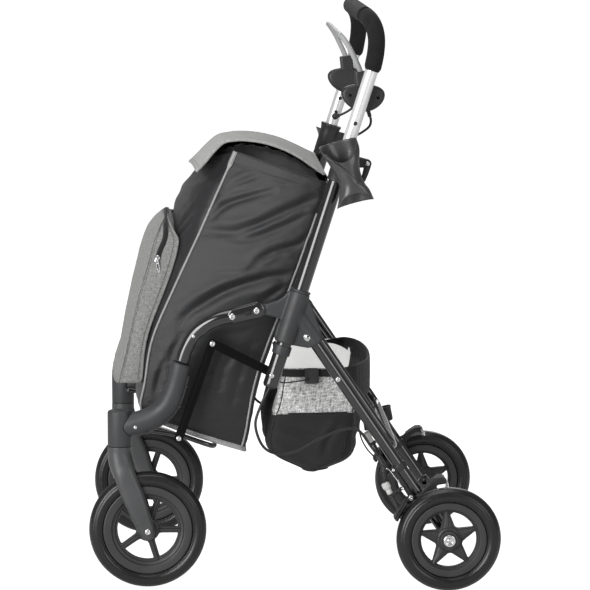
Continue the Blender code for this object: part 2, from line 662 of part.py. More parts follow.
carry(
    handle_axis, push, grip, bpy.data.objects["brake_bar_axis"],
    *[bpy.data.objects[f"{n}_{side}"] for n in ("brake_housing", "upper_cable") for side, _ in SIDES],
)

# ------------------------------------------------------------------ rear legs, axles, brakes
rear_axis = pivot("rear_legs_axis", LEG_PIVOT)
CABLE_X = 0.2485
for side, s in SIDES:
    lx = LEG_X * s
    tube = cylinder(f"rear_leg_{side}", leg(0.0, 0.0, lx), leg(LEG_LEN + 0.004, 0.0, lx), LEG_R, 16)
    knob = cylinder("knob", (lx - 0.0100, LEG_PIVOT.y, LEG_PIVOT.z), (lx + 0.0100, LEG_PIVOT.y, LEG_PIVOT.z), 0.0100, 16)
    foot = cylinder("foot", (lx - 0.0098, REAR_Y, REAR_R), (lx + 0.0098, REAR_Y, REAR_R), 0.0130, 16)
    tube = join(tube, knob, foot)
    tube = cut(
        tube,
        cylinder("eye", (lx - 0.02, LEG_PIVOT.y, LEG_PIVOT.z), (lx + 0.02, LEG_PIVOT.y, LEG_PIVOT.z), 0.0044, 12, cutter=True),
    )
    if s < 0:
        lug = box("lug", (-0.2560, 0.1835, 0.2120), (0.0070, 0.0120, 0.0130))
        tube = join(tube, lug)
    finish(tube, "black_tube")

    w = (LEG_X + 0.0103) * s
    out = (REAR_X + 0.0174) * s
    axle = cylinder(f"rear_axle_{side}", (w, REAR_Y, REAR_R), (out + 0.0010 * s, REAR_Y, REAR_R), 0.0050, 16)
    cap = cylinder("cap", (out, REAR_Y, REAR_R), (out + 0.0026 * s, REAR_Y, REAR_R), 0.0105, 20, 0.0090)
    finish(join(axle, cap), "chrome")

    # the bracket on the front of the leg holds the adjuster barrel, the spring sleeve and the shoe's stud
    yz = lambda a, b: (leg(a, b).y, leg(a, b).z)
    x0, x1 = min(0.2450 * s, 0.2510 * s), max(0.2450 * s, 0.2510 * s)
    bracket = plate(
        f"brake_bracket_{side}", [yz(0.260, -0.0080), yz(0.263, -0.0148), yz(0.334, -0.0175), yz(0.338, -0.0080)], x0, x1
    )
    strut = plate("strut", [yz(0.268, -0.0130), yz(0.277, -0.0320), yz(0.282, -0.0320), yz(0.275, -0.0130)], x0 + 0.0004, x1 - 0.0004)
    brace = plate("brace", [yz(0.300, -0.0140), yz(0.302, -0.0440), yz(0.308, -0.0440), yz(0.307, -0.0140)], x0 + 0.0009, x1 - 0.0009)
    bx = CABLE_X * s
    barrel = cylinder("barrel", leg(0.264, -0.0275, bx), leg(0.302, -0.0425, bx), 0.0044, 12)
    sleeve = cylinder("sleeve", leg(0.300, -0.0420, bx), leg(0.3205, -0.0440, bx), 0.0040, 12)
    stud = cylinder("stud", leg(0.325, -0.0142, 0.2480 * s), leg(0.325, -0.0142, 0.2548 * s), 0.0038, 12)
    bracket = join(bracket, strut, brace, barrel, sleeve, stud)
    bracket = cut(
        bracket, cylinder("clear", leg(0.20, 0.0, lx), leg(LEG_LEN, 0.0, lx), LEG_R + GAP, 20, cutter=True)
    )
    finish(bracket, "plastic")

    toward = (leg(LEG_LEN, 0) - leg(0.3292, -0.0409)).normalized()
    pad_at = LEG_END - toward * 0.0962
    turn = math.atan2(toward.z, toward.y)
    pad = box(f"brake_shoe_{side}", (0.2730 * s, pad_at.y, pad_at.z), (0.0360, 0.0084, 0.0240), turn)
    arm_plate = plate(
        "arm", stadium(yz(0.325, -0.0142), (pad_at.y, pad_at.z), 0.0062, 0.0042), min(0.2552 * s, 0.2590 * s), max(0.2552 * s, 0.2590 * s)
    )
    shoe = finish(join(pad, arm_plate), "plastic")
    at_pivot = leg(0.325, -0.0142, 0.2570 * s)
    shoe_axis = pivot(f"brake_shoe_axis_{side}", at_pivot)
    carry(shoe_axis, shoe)

    fin = [
        (0.2080, 0.1545), (0.2200, 0.1715), (0.2325, 0.1850), (0.2430, 0.1910), (0.2510, 0.1920), (0.2585, 0.1850),
        (0.2520, 0.1775), (0.2400, 0.1650), (0.2280, 0.1450), (0.2180, 0.1380),
    ]
    pedal = plate(f"tilt_pedal_{side}", fin, min(0.2540 * s, 0.2585 * s), max(0.2540 * s, 0.2585 * s))
    tread = plate(
        "tread", [(0.2310, 0.1842), (0.2430, 0.1912), (0.2510, 0.1922), (0.2500, 0.1892), (0.2436, 0.1884), (0.2330, 0.1820)],
        min(0.2300 * s, 0.2560 * s), max(0.2300 * s, 0.2560 * s),
    )
    finish(join(pedal, tread), "plastic")
    carry(
        rear_axis, tube, *[bpy.data.objects[f"{n}_{side}"] for n in
                           ("rear_axle", "brake_bracket", "brake_shoe_axis", "tilt_pedal", "rear_wheel_axis")],
    )

CROSS_X, CROSS_R, CROSS_B = 0.2230, 0.0072, 0.0092
cross_path = [leg(0.016, CROSS_B, CROSS_X)] + smooth_path(
    [leg(0.190, CROSS_B, CROSS_X), leg(0.215, CROSS_B, CROSS_X), leg(0.2335, CROSS_B, 0.2180),
     leg(0.2420, CROSS_B, 0.2020), leg(0.2425, CROSS_B, 0.1800)], 2
)
cross = rod("rear_cross_tube", mirrored(cross_path), CROSS_R, 10)
ties = [
    cylinder("tie", leg(a, 0.004, 0.2240 * s), leg(a, 0.004, (LEG_X - 0.0103 + 0.0004) * s), 0.0035, 10)
    for a in (0.045, 0.170) for _, s in SIDES
]
cross = join(cross, *ties)
for _, s in SIDES:
    cross = cut(cross, cylinder("clear", leg(0.0, 0.0, LEG_X * s), leg(LEG_LEN, 0.0, LEG_X * s), LEG_R + GAP, 20, cutter=True))
finish(cross, "black_tube")

CUP_X = -0.2680
cup = cylinder("stick_foot_cup_right", (CUP_X, 0.1872, 0.2255), (CUP_X, 0.1945, 0.1985), 0.0118, 20, 0.0095)
cup = cut(cup, cylinder("bore", (CUP_X, 0.18525, 0.23271), (CUP_X, 0.1937, 0.2014), 0.0102, 20, 0.0080, cutter=True))
cup = cut(cup, box("clear", (-0.2560, 0.1835, 0.2120), (0.0076, 0.0126, 0.0136), cutter=True))
finish(cup, "plastic")
carry(rear_axis, cross, cup)

# ------------------------------------------------------------------ lower brake cables
for side, s in SIDES:
    start, end = on_axis(0.3470), leg(0.2632, -0.0272, CABLE_X)
    wire = smooth_path(
        [on_axis(0.3560), start, (0.2500, -0.0580, 0.3150), (0.2485, -0.0668, 0.2820), (0.2480, -0.0550, 0.2470),
         (0.2480, -0.0320, 0.2330), (0.2480, 0.0010, 0.2370), (0.2480, 0.0420, 0.2580), (0.2480, 0.0810, 0.2735),
         (0.2480, 0.1080, 0.2715), leg(0.2150, -0.0215, CABLE_X), leg(0.2400, -0.0235, CABLE_X), end], 2
    )
    finish(rod(f"brake_cable_{side}", [at(p, s) for p in wire], 0.0024, 8), "cable")

# ------------------------------------------------------------------ bag
BAG = (  # front seam Y, Z; rear edge Y, Z; rear half width; front half width; bulge of the front face in Y, Z
    (-0.2330, 0.2780, -0.0830, 0.2290, 0.178, 0.172, -0.0080, 0.0030),
    (-0.2600, 0.2990, -0.0740, 0.2620, 0.184, 0.176, -0.0100, 0.0020),
    (-0.2530, 0.3466, -0.0600, 0.3400, 0.190, 0.178, -0.0130, 0.0008),
    (-0.2392, 0.4223, -0.0380, 0.4100, 0.200, 0.178, -0.0260, 0.0016),
    (-0.1997, 0.5140, -0.0020, 0.5050, 0.216, 0.178, -0.0340, 0.0016),
    (-0.1570, 0.6060, 0.0280, 0.5880, 0.219, 0.176, -0.0500, 0.0046),
    (-0.1240, 0.6800, 0.0470, 0.6450, 0.219, 0.174, -0.0590, -0.0100),
    (-0.0968, 0.7400, 0.0560, 0.6900, 0.219, 0.172, -0.0340, -0.0150),
)


def bag_value(v):
    """The bag's row at v, 0 at the bottom and 1 at the rim."""
    f = v * (len(BAG) - 1)
    i = min(int(f), len(BAG) - 2)
    f -= i
    return [a + (b - a) * f for a, b in zip(BAG[i], BAG[i + 1])]


def bag_front(v, x):
    """The outer face of the bag's front panel at v and X, in Y and Z."""
    fy, fz, ry, rz, wr, wf, by, bz = bag_value(v)
    f = max(0.0, 1 - (x / wf) ** 2) ** 0.62
    return fy + by * f, fz + bz * f


def bag_ring(v):
    fy, fz, ry, rz, wr, wf = bag_value(v)[:6]
    half = [(0.0, ry, rz), (wr * 0.5, ry, rz), (wr * 0.88, ry, rz)]
    for t in (0.02, 0.22, 0.42, 0.62, 0.82, 1.0):
        puff = 0.012 * math.sin(math.pi * t)
        half.append((wr + (wf - wr) * t + puff, ry + (fy - ry) * t, rz + (fz - rz) * t))
    for t in (0.90, 0.74, 0.54, 0.30):
        y, z = bag_front(v, wf * t)
        half.append((wf * t, y, z))
    y, z = bag_front(v, 0.0)
    half.append((0.0, y, z))
    ring = half + [(-x, y, z) for x, y, z in reversed(half[1:-1])]
    sag = 0.012 * max(0.0, (v - 0.8) / 0.2)  # the right side of the rim hangs lower
    return [(x, y, z - sag * min(1.0, max(0.0, -x / 0.17))) for x, y, z in ring]


rows = [0, 0.055, 0.143, 0.286, 0.428, 0.571, 0.714, 0.857, 1.0]
bag = loft("shopping_bag", [bag_ring(v) for v in rows], True, False)
bag = finish(shell(bag, 0.0030), "nylon")

# ------------------------------------------------------------------ lid
LID = (  # left edge Y and Z from the hinge to the front tip, half width, how much lower the right edge lies
    (0.0525, 0.7040, 0.190, 0.0000), (0.0330, 0.7175, 0.188, 0.0040), (0.0127, 0.7315, 0.186, 0.0080),
    (-0.0150, 0.7460, 0.183, 0.0110), (-0.0480, 0.7570, 0.180, 0.0140), (-0.0797, 0.7615, 0.177, 0.0155),
    (-0.1000, 0.7610, 0.175, 0.0165), (-0.1180, 0.7570, 0.173, 0.0170), (-0.1340, 0.7425, 0.168, 0.0165),
    (-0.1515, 0.7210, 0.162, 0.0145), (-0.1650, 0.7065, 0.157, 0.0120),
)


def lid_point(i, t):
    """A point of the lid's upper face: row i, t from -1 at the right edge to 1 at the left."""
    y, z, half, drop = LID[i]
    camber = 0.0030 * (1 - t * t) * min(1.0, i / 3)
    y -= 0.0090 * (1 - t) / 2 * min(1.0, max(0, i - 5) / 4)  # the right corner reaches further forward
    return Vector((half * t, y, z - drop * (1 - t) / 2 + camber))


ts = (-1, -0.86, -0.62, -0.32, 0, 0.32, 0.62, 0.86, 1)
lid = loft("bag_lid", [[lid_point(i, t) for t in ts] for i in range(len(LID))], False, False, closed=False)
lid = finish(shell(lid, 0.0040, 1.0 if lid.data.polygons[4].normal.z < 0 else -1.0), "pale_melange")
LID_HINGE = Vector((0, 0.0545, 0.7010))
carry(pivot("bag_lid_axis", LID_HINGE), lid)

# ------------------------------------------------------------------ front pocket
POCKET = (  # row of the bag, front face Y and Z at the middle, half width
    (0.290, -0.3140, 0.3350, 0.1700), (0.335, -0.3030, 0.3720, 0.1690), (0.400, -0.2900, 0.4290, 0.1665),
    (0.480, -0.2770, 0.4860, 0.1630), (0.585, -0.2620, 0.5460, 0.1580), (0.665, -0.2490, 0.5870, 0.1510),
    (0.710, -0.2410, 0.6040, 0.1320), (0.740, -0.2330, 0.6170, 0.1040),
)


def pocket_ring(v, y_front, z_front, half):
    back, front = [], []
    for t in (-1, -0.75, -0.45, -0.15, 0.15, 0.45, 0.75, 1):
        x = half * t
        y, z = bag_front(v, x)
        back.append(Vector((x, y - 0.0050, z)))
    y0, z0 = bag_front(v, 0.0)
    for t in (0.97, 0.80, 0.50, 0.17, -0.17, -0.50, -0.80, -0.97):
        x = half * t
        round_off = 1 - abs(t) ** 6 * 0.24 - 0.05 * t * t
        y, z = bag_front(v, x)
        front.append(Vector((x, y - 0.0050 + (y_front - y0 + 0.0050) * round_off, z + (z_front - z0) * round_off)))
    return back + front


pocket = loft("front_pocket", [pocket_ring(*p) for p in POCKET])
m = pocket.modifiers.new("soft_edges", "BEVEL")
m.width = 0.005
m.segments = 1
m.limit_method = "ANGLE"
m.angle_limit = math.radians(55)
pocket = finish(solid(pocket), "melange")

SLIDER = Vector((0.1605, -0.2285, 0.5515))
slide_dir = Vector((0, 0.238, 0.971)).normalized()
tilt = -math.atan2(slide_dir.y, slide_dir.z)
slider = box("zip_slider", SLIDER, (0.0034, 0.0076, 0.0120), tilt)
pull = box("pull", (0.1612, -0.2305, 0.5355), (0.0018, 0.0050, 0.0230), tilt)
slider = finish(join(slider, pull), "chrome")
carry(pivot("zip_slide", SLIDER), slider)

# ------------------------------------------------------------------ rear basket
BASKET = (  # front Y, front Z, rear Y, rear Z, half width, rear bulge, front bulge
    (0.0110, 0.2005, 0.0650, 0.2035, 0.148, 0.004, -0.002),  # clears the rear cross tube's swing
    (-0.0330, 0.2110, 0.0960, 0.2130, 0.160, 0.008, -0.003),
    (-0.0460, 0.2420, 0.1040, 0.2500, 0.166, 0.014, -0.003),
    (-0.0300, 0.3080, 0.1090, 0.3080, 0.170, 0.021, 0.000),
    (-0.0200, 0.3560, 0.1120, 0.3560, 0.170, 0.026, 0.002),
)


def basket_ring(row):
    fy, fz, ry, rz, w, rear, front = row
    half = [(0.0, fy + front, fz), (w * 0.5, fy + front * 0.6, fz), (w * 0.90, fy, fz), (w, fy + 0.012, fz + (rz - fz) * 0.1)]
    half += [(w + 0.002, (fy + ry) / 2, (fz + rz) / 2), (w, ry - 0.014, rz), (w * 0.91, ry, rz)]
    half += [(w * 0.72, ry + rear * 0.50, rz), (w * 0.45, ry + rear * 0.84, rz), (0.0, ry + rear, rz)]
    return half + [(-x, y, z) for x, y, z in reversed(half[1:-1])]


basket = loft("rear_basket", [basket_ring(r) for r in BASKET], True, False)
basket = finish(shell(basket, 0.0030), "mesh")


def rim_ring(z, grow):
    row = list(BASKET[-1])
    row[0] -= grow
    row[2] += grow
    row[1] = row[3] = z
    row[4] += grow
    return basket_ring(row)


rim = loft("basket_rim", [rim_ring(z, 0.0028) for z in (0.3466, 0.3680)], False, False)
outward = rim.data.polygons[0].normal.y * rim.data.polygons[0].center.y
rim = shell(rim, 0.0024, 1.0 if outward > 0 else -1.0)
buckles = [box("buckle", (0.1777 * s, 0.0320, 0.3560), (0.0080, 0.0225, 0.0250)) for _, s in SIDES]
tails = smooth_path(
    [(0.2362, -0.0300, 0.3560), (0.2240, -0.0180, 0.3505), (0.2000, 0.0040, 0.3485), (0.1842, 0.0240, 0.3490), (0.1795, 0.0280, 0.3500)], 3
)
rim = join(rim, *buckles, *[rod("tail", [at(p, s) for p in tails], 0.0012, 6) for _, s in SIDES])
finish(rim, "webbing")

for o in PARTS.objects:
    if o.type == "MESH":
        o.data.name = o.name
for c in list(CUTTERS.objects):
    bpy.data.objects.remove(c, do_unlink=True)
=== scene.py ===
import math

import bmesh
import bpy
import numpy as np
from mathutils import Matrix, Vector, geometry, noise


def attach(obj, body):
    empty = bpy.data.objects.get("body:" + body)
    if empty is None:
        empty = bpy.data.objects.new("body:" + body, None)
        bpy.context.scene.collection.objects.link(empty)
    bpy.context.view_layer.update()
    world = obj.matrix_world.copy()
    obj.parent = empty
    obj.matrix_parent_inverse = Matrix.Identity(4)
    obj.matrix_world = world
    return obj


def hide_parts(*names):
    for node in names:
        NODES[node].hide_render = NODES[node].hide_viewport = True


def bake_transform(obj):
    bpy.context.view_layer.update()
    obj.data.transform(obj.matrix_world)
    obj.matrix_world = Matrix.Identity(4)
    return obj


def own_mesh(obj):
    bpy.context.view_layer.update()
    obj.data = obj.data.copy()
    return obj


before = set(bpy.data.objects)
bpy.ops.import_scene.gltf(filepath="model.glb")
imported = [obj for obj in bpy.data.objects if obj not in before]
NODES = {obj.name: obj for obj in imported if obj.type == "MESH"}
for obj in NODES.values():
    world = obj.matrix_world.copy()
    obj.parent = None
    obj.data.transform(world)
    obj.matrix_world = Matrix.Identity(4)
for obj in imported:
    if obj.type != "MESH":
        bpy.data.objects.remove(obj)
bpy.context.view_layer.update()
scene = bpy.context.scene
SIDES = (("left", 1), ("right", -1))

# ------------------------------------------------------------------ camera, floor and light
TARGET = Vector((0.0, 0.0103, 0.4709))
AZ, EL, DIST = math.radians(87.687), math.radians(7.569), 5.6086
back = Vector((math.sin(AZ) * math.cos(EL), -math.cos(AZ) * math.cos(EL), math.sin(EL)))
camera = bpy.data.objects.new("camera", bpy.data.cameras.new("camera"))
camera.data.sensor_width = 36.0
camera.data.lens = 3180.0 / 590.0 * 36.0
camera.data.clip_end = 200.0
camera.location = TARGET + back * DIST
camera.rotation_euler = (-back).to_track_quat("-Z", "Y").to_euler()
scene.collection.objects.link(camera)
scene.camera = camera
scene.view_settings.view_transform = "Standard"
scene.view_settings.look = "None"


def node(tree, kind, inputs=None, **props):
    n = tree.nodes.new(kind)
    for k, v in props.items():
        setattr(n, k, v)
    for k, v in (inputs or {}).items():
        if isinstance(v, bpy.types.NodeSocket):
            tree.links.new(v, n.inputs[k])
        else:
            n.inputs[k].default_value = v
    return n


def math_node(tree, op, a, b=0.0, c=None):
    n = node(tree, "ShaderNodeMath", {0: a, 1: b}, operation=op)
    if c is not None:
        if isinstance(c, bpy.types.NodeSocket):
            tree.links.new(c, n.inputs[2])
        else:
            n.inputs[2].default_value = c
    return n.outputs[0]


def area_light(name, place, aim, size, power, tall=None):
    data = bpy.data.lights.new(name, "AREA")
    data.energy = power
    data.size = size
    if tall:
        data.shape = "RECTANGLE"
        data.size_y = tall
    o = bpy.data.objects.new(name, data)
    o.location = place
    o.rotation_euler = (Vector(aim) - Vector(place)).to_track_quat("-Z", "Y").to_euler()
    scene.collection.objects.link(o)
    return o


area_light("key_light", (3.0, -2.4, 2.6), (0, 0, 0.5), 1.3, 14)
area_light("wide_light", (2.75, -2.35, 1.0), (0, 0, 0.5), 1.9, 105, 2.6)
area_light("fill_light", (3.2, 2.2, 1.2), (0, 0, 0.5), 1.6, 20)
area_light("top_light", (0.4, -0.3, 3.2), (0, 0, 0.4), 2.2, 34)
area_light("far_light", (-3.0, 0.6, 2.2), (0, 0, 0.5), 2.0, 34)

world = scene.world or bpy.data.worlds.new("world")
scene.world = world
world.use_nodes = True
tree = world.node_tree
tree.nodes.clear()
seen = node(tree, "ShaderNodeBackground", {"Color": (1, 1, 1, 1), "Strength": 1.0})
glow = node(tree, "ShaderNodeBackground", {"Color": (1, 1, 1, 1), "Strength": 0.24})
path = node(tree, "ShaderNodeLightPath")
both = node(tree, "ShaderNodeMixShader", {0: path.outputs["Is Camera Ray"], 1: glow.outputs[0], 2: seen.outputs[0]})
node(tree, "ShaderNodeOutputWorld", {"Surface": both.outputs[0]})

floor_mesh = bpy.data.meshes.new("studio_floor")
floor_mesh.from_pydata([(-90, -90, 0), (90, -90, 0), (90, 90, 0), (-90, 90, 0)], [], [(0, 1, 2, 3)])
floor = bpy.data.objects.new("studio_floor", floor_mesh)
scene.collection.objects.link(floor)
floor_mat = bpy.data.materials.new("studio_floor")
floor_mat.use_nodes = True
tree = floor_mat.node_tree
b = tree.nodes["Principled BSDF"]
b.inputs["Base Color"].default_value = (0.42, 0.42, 0.42, 1)
b.inputs["Roughness"].default_value = 0.9
b.inputs["Specular IOR Level"].default_value = 0.0
b.inputs["Emission Color"].default_value = (1, 1, 1, 1)
path = node(tree, "ShaderNodeLightPath")
tree.links.new(node(tree, "ShaderNodeMapRange", {0: path.outputs["Is Camera Ray"], 3: 0.30, 4: 0.94}).outputs[0], b.inputs["Emission Strength"])
floor_mesh.materials.append(floor_mat)


# ------------------------------------------------------------------ materials
def shader(name):
    m = bpy.data.materials.new(name)
    m.use_nodes = True
    t = m.node_tree
    return m, t, t.nodes["Principled BSDF"]


def tone(colour, k):
    return (*[min(1.0, c * k) for c in colour], 1.0)


def between(t, fac, a, b):
    """A colour between a and b, by fac."""
    n = node(t, "ShaderNodeMix", {0: fac, 6: a, 7: b}, data_type="RGBA")
    return n.outputs[2]


def remap(t, value, lo, hi, a=0.0, b=1.0):
    return node(t, "ShaderNodeMapRange", {0: value, 1: lo, 2: hi, 3: a, 4: b}).outputs[0]


def object_noise(t, scale, detail=4.0, stretch=(1, 1, 1), rough=0.55):
    co = node(t, "ShaderNodeTexCoord").outputs["Object"]
    place = node(t, "ShaderNodeMapping", {"Vector": co, "Scale": stretch})
    return node(t, "ShaderNodeTexNoise", {"Vector": place.outputs[0], "Scale": scale, "Detail": detail, "Roughness": rough}).outputs["Fac"]


def hard(name, colour, rough, metal=0.0, grain=(900, 0.10), spread=0.18, edge=0.0009, coat=0.0, streak=None, spec=0.5, rough_spread=0.08, coat_ior=1.5):
    """Moulded plastic, paint or metal: slight colour and gloss changes, fine grain, softened edges."""
    m, t, b = shader(name)
    big = object_noise(t, 14, 3)
    b.inputs["Metallic"].default_value = metal
    b.inputs["Specular IOR Level"].default_value = spec
    b.inputs["Coat Weight"].default_value = coat
    b.inputs["Coat Roughness"].default_value = 0.10
    b.inputs["Coat IOR"].default_value = coat_ior
    t.links.new(between(t, remap(t, big, 0.3, 0.7), tone(colour, 1 - spread), tone(colour, 1 + spread)), b.inputs["Base Color"])
    fine = object_noise(t, grain[0], 2, streak or (1, 1, 1))
    t.links.new(remap(t, object_noise(t, 45, 4), 0.25, 0.75, rough - rough_spread, rough + rough_spread), b.inputs["Roughness"])
    soft = node(t, "ShaderNodeBevel", {"Radius": edge}, samples=4)
    bump = node(t, "ShaderNodeBump", {"Strength": grain[1], "Distance": 0.0006, "Height": fine, "Normal": soft.outputs[0]})
    t.links.new(bump.outputs[0], b.inputs["Normal"])
    return m


BLACK_TUBE = hard("black_tube", (0.0060, 0.0060, 0.0064), 0.16, grain=(500, 0.02), coat=1.0, rough_spread=0.03, spec=0.5, coat_ior=1.54)
ALUMINIUM = hard("aluminium", (0.86, 0.86, 0.865), 0.30, 0.45, grain=(700, 0.03), spread=0.02, streak=(1, 0.5, 0.2), rough_spread=0.03)
BAR_METAL = hard("bar_metal", (0.36, 0.362, 0.366), 0.44, 0.0, grain=(300, 0.0), spread=0.02, rough_spread=0.02, edge=0.0002, spec=0.20)
PLASTIC = hard("moulded_plastic", (0.036, 0.037, 0.039), 0.46, grain=(1400, 0.22), edge=0.0016)
FORK_PLASTIC = hard("fork_plastic", (0.062, 0.063, 0.065), 0.36, grain=(1300, 0.25))
DARK_PLASTIC = hard("dark_plastic", (0.019, 0.019, 0.020), 0.42, grain=(1300, 0.20))
RIM_PLASTIC = hard("rim_plastic", (0.034, 0.034, 0.035), 0.47, grain=(1200, 0.18), edge=0.0007)
RUBBER = hard("tyre_rubber", (0.0105, 0.0102, 0.0100), 0.29, grain=(800, 0.14), spread=0.25, edge=0.0004)
CHROME = hard("chrome", (0.80, 0.80, 0.81), 0.16, 1.0, grain=(600, 0.03), spread=0.04, edge=0.0004)
STEEL = hard("black_steel", (0.0024, 0.0024, 0.0026), 0.45, grain=(700, 0.12), edge=0.0005, spec=0.11)
STEEL_WIRE = hard("spring_wire", (0.10, 0.10, 0.10), 0.32, 0.7, grain=(700, 0.05), edge=0.0002)
CABLE = hard("cable_sleeve", (0.013, 0.013, 0.013), 0.38, grain=(1500, 0.10), edge=0.0003)
HOLSTER = hard("soft_plastic", (0.052, 0.052, 0.0535), 0.30, grain=(500, 0.10), spread=0.20, coat=0.25)
WHITE_PLASTIC = hard("white_plastic", (0.62, 0.62, 0.61), 0.40, grain=(900, 0.10), spread=0.05)
# painted shade: a near-black material put where there is only shade, in holes, a window and along some stitch lines
SHADOW = hard("painted_shade", (0.004, 0.004, 0.004), 0.60)


def foam(name):
    m, t, b = shader(name)
    cell = node(t, "ShaderNodeTexVoronoi", {"Vector": node(t, "ShaderNodeTexCoord").outputs["Object"], "Scale": 620.0}, feature="F1")
    soft = object_noise(t, 60, 5)
    t.links.new(between(t, remap(t, soft, 0.3, 0.7), (0.0070, 0.0070, 0.0073, 1), (0.0135, 0.0135, 0.0140, 1)), b.inputs["Base Color"])
    b.inputs["Roughness"].default_value = 0.88
    b.inputs["Sheen Weight"].default_value = 0.05
    b.inputs["Sheen Roughness"].default_value = 0.5
    b.inputs["Specular IOR Level"].default_value = 0.25
    mixed = math_node(t, "ADD", math_node(t, "MULTIPLY", cell.outputs["Distance"], 0.7), math_node(t, "MULTIPLY", soft, 0.6))
    bump = node(t, "ShaderNodeBump", {"Strength": 0.45, "Distance": 0.0009, "Height": mixed})
    t.links.new(bump.outputs[0], b.inputs["Normal"])
    return m


FOAM = foam("grip_foam")


def weave(t, pitch):
    """The height of a plain weave of that pitch in metres, from the UV map, which is in metres."""
    uv = node(t, "ShaderNodeTexCoord").outputs["UV"]
    xyz = node(t, "ShaderNodeSeparateXYZ", {0: uv})
    k = 2 * math.pi / pitch
    a = math_node(t, "SINE", math_node(t, "MULTIPLY", xyz.outputs[0], k))
    c = math_node(t, "SINE", math_node(t, "MULTIPLY", xyz.outputs[1], k))
    return math_node(t, "MULTIPLY", a, c), uv, xyz


def cloth(name, colour, rough, pitch, depth=0.25, sheen=0.2, spread=0.2, bump_size=0.0004, crease=0.25):
    """Plain woven fabric with fine creases."""
    m, t, b = shader(name)
    height, uv, _ = weave(t, pitch)
    big = object_noise(t, 9, 5, rough=0.6)
    fine = object_noise(t, 240, 3)
    shade = math_node(t, "ADD", math_node(t, "MULTIPLY", remap(t, big, 0.3, 0.7), 0.6), math_node(t, "MULTIPLY", fine, 0.4))
    t.links.new(between(t, shade, tone(colour, 1 - spread), tone(colour, 1 + spread)), b.inputs["Base Color"])
    b.inputs["Roughness"].default_value = rough
    b.inputs["Sheen Weight"].default_value = sheen
    b.inputs["Sheen Roughness"].default_value = 0.45
    folds = object_noise(t, 55, 4, (1, 0.6, 1.5), 0.6)
    first = node(t, "ShaderNodeBump", {"Strength": crease, "Distance": 0.0022, "Height": folds})
    second = node(t, "ShaderNodeBump", {"Strength": depth, "Distance": bump_size, "Height": height, "Normal": first.outputs[0]})
    t.links.new(second.outputs[0], b.inputs["Normal"])
    return m


def melange(name, dark, light, contrast, size=0.0022, rough=0.92, depth=0.35):
    """Fabric woven from light and dark slubby threads both ways."""
    m, t, b = shader(name)
    height, uv, _ = weave(t, 0.0012)

    def threads(stretch):
        place = node(t, "ShaderNodeMapping", {"Vector": uv, "Scale": stretch})
        return node(t, "ShaderNodeTexNoise", {"Vector": place.outputs[0], "Scale": 1.0 / size, "Detail": 5.0, "Roughness": 0.75}).outputs["Fac"]

    warp, weft = threads((1.0, 0.28, 1)), threads((0.28, 1.0, 1))
    mixed = math_node(t, "ADD", math_node(t, "MULTIPLY", warp, 0.5), math_node(t, "MULTIPLY", weft, 0.5))
    fac = remap(t, mixed, 0.5 - 0.16 / contrast, 0.5 + 0.16 / contrast)
    t.links.new(between(t, fac, (*dark, 1), (*light, 1)), b.inputs["Base Color"])
    b.inputs["Roughness"].default_value = rough
    b.inputs["Sheen Weight"].default_value = 0.15
    b.inputs["Sheen Roughness"].default_value = 0.5
    folds = object_noise(t, 30, 3)
    first = node(t, "ShaderNodeBump", {"Strength": 0.2, "Distance": 0.0020, "Height": folds})
    high = math_node(t, "ADD", math_node(t, "MULTIPLY", height, 0.5), mixed)
    second = node(t, "ShaderNodeBump", {"Strength": depth, "Distance": 0.0007, "Height": high, "Normal": first.outputs[0]})
    t.links.new(second.outputs[0], b.inputs["Normal"])
    return m


NYLON = cloth("bag_nylon", (0.0114, 0.0114, 0.0130), 0.45, 0.0009, 0.20, 0.12, 0.20, crease=0.50)
LINER = cloth("liner_nylon", (0.0075, 0.0075, 0.0085), 0.50, 0.0008, 0.20, 0.25, 0.25, crease=0.35)
MELANGE = melange("grey_melange", (0.090, 0.090, 0.088), (0.37, 0.37, 0.36), 1.05)
PALE = melange("pale_melange", (0.185, 0.185, 0.180), (0.50, 0.50, 0.485), 1.05, 0.0024)
PALE_LINING_GLOW = melange("pale_lining_painted_glow", (0.80, 0.80, 0.79), (0.93, 0.93, 0.925), 0.7, 0.0024)
TRIM = melange("trim_melange", (0.20, 0.20, 0.20), (0.46, 0.46, 0.455), 0.9, 0.0016)
SPECKLE = melange("basket_melange", (0.10, 0.10, 0.10), (0.98, 0.98, 0.97), 1.5, 0.0030)
WEBBING = cloth("webbing", (0.0075, 0.0075, 0.0082), 0.70, 0.0022, 0.55, 0.12, 0.15, 0.0007, 0.10)
LOOP = cloth("loop_webbing", (0.050, 0.050, 0.052), 0.75, 0.0022, 0.50, 0.15, 0.12, 0.0007, 0.10)


def net(name):
    """Fine black netting: small holes in rows, drawn by depth and by tone; the tone is painted shade in the holes,
    standing for the dark seen through them, with a slow random change.
    """
    m, t, b = shader(name)
    uv = node(t, "ShaderNodeTexCoord").outputs["UV"]
    holes = node(t, "ShaderNodeTexVoronoi", {"Vector": uv, "Scale": 430.0, "Randomness": 0.18}, feature="F1")
    big = object_noise(t, 12, 4)
    # painted shade: the hole centres go near-black for the dark seen through the net; the slow noise is random tone
    rim = remap(t, holes.outputs["Distance"], 0.15, 0.45)
    shade = math_node(t, "MULTIPLY", rim, remap(t, big, 0.25, 0.75, 0.6, 1.0))
    t.links.new(between(t, shade, (0.0018, 0.0018, 0.0020, 1), (0.0115, 0.0115, 0.0124, 1)), b.inputs["Base Color"])
    b.inputs["Roughness"].default_value = 0.70
    b.inputs["Sheen Weight"].default_value = 0.08
    b.inputs["Sheen Roughness"].default_value = 0.5
    folds = object_noise(t, 40, 4, (1, 1, 0.7))
    first = node(t, "ShaderNodeBump", {"Strength": 0.35, "Distance": 0.0025, "Height": folds})
    second = node(t, "ShaderNodeBump", {"Strength": 0.5, "Distance": 0.0006, "Height": rim, "Normal": first.outputs[0]})
    t.links.new(second.outputs[0], b.inputs["Normal"])
    return m


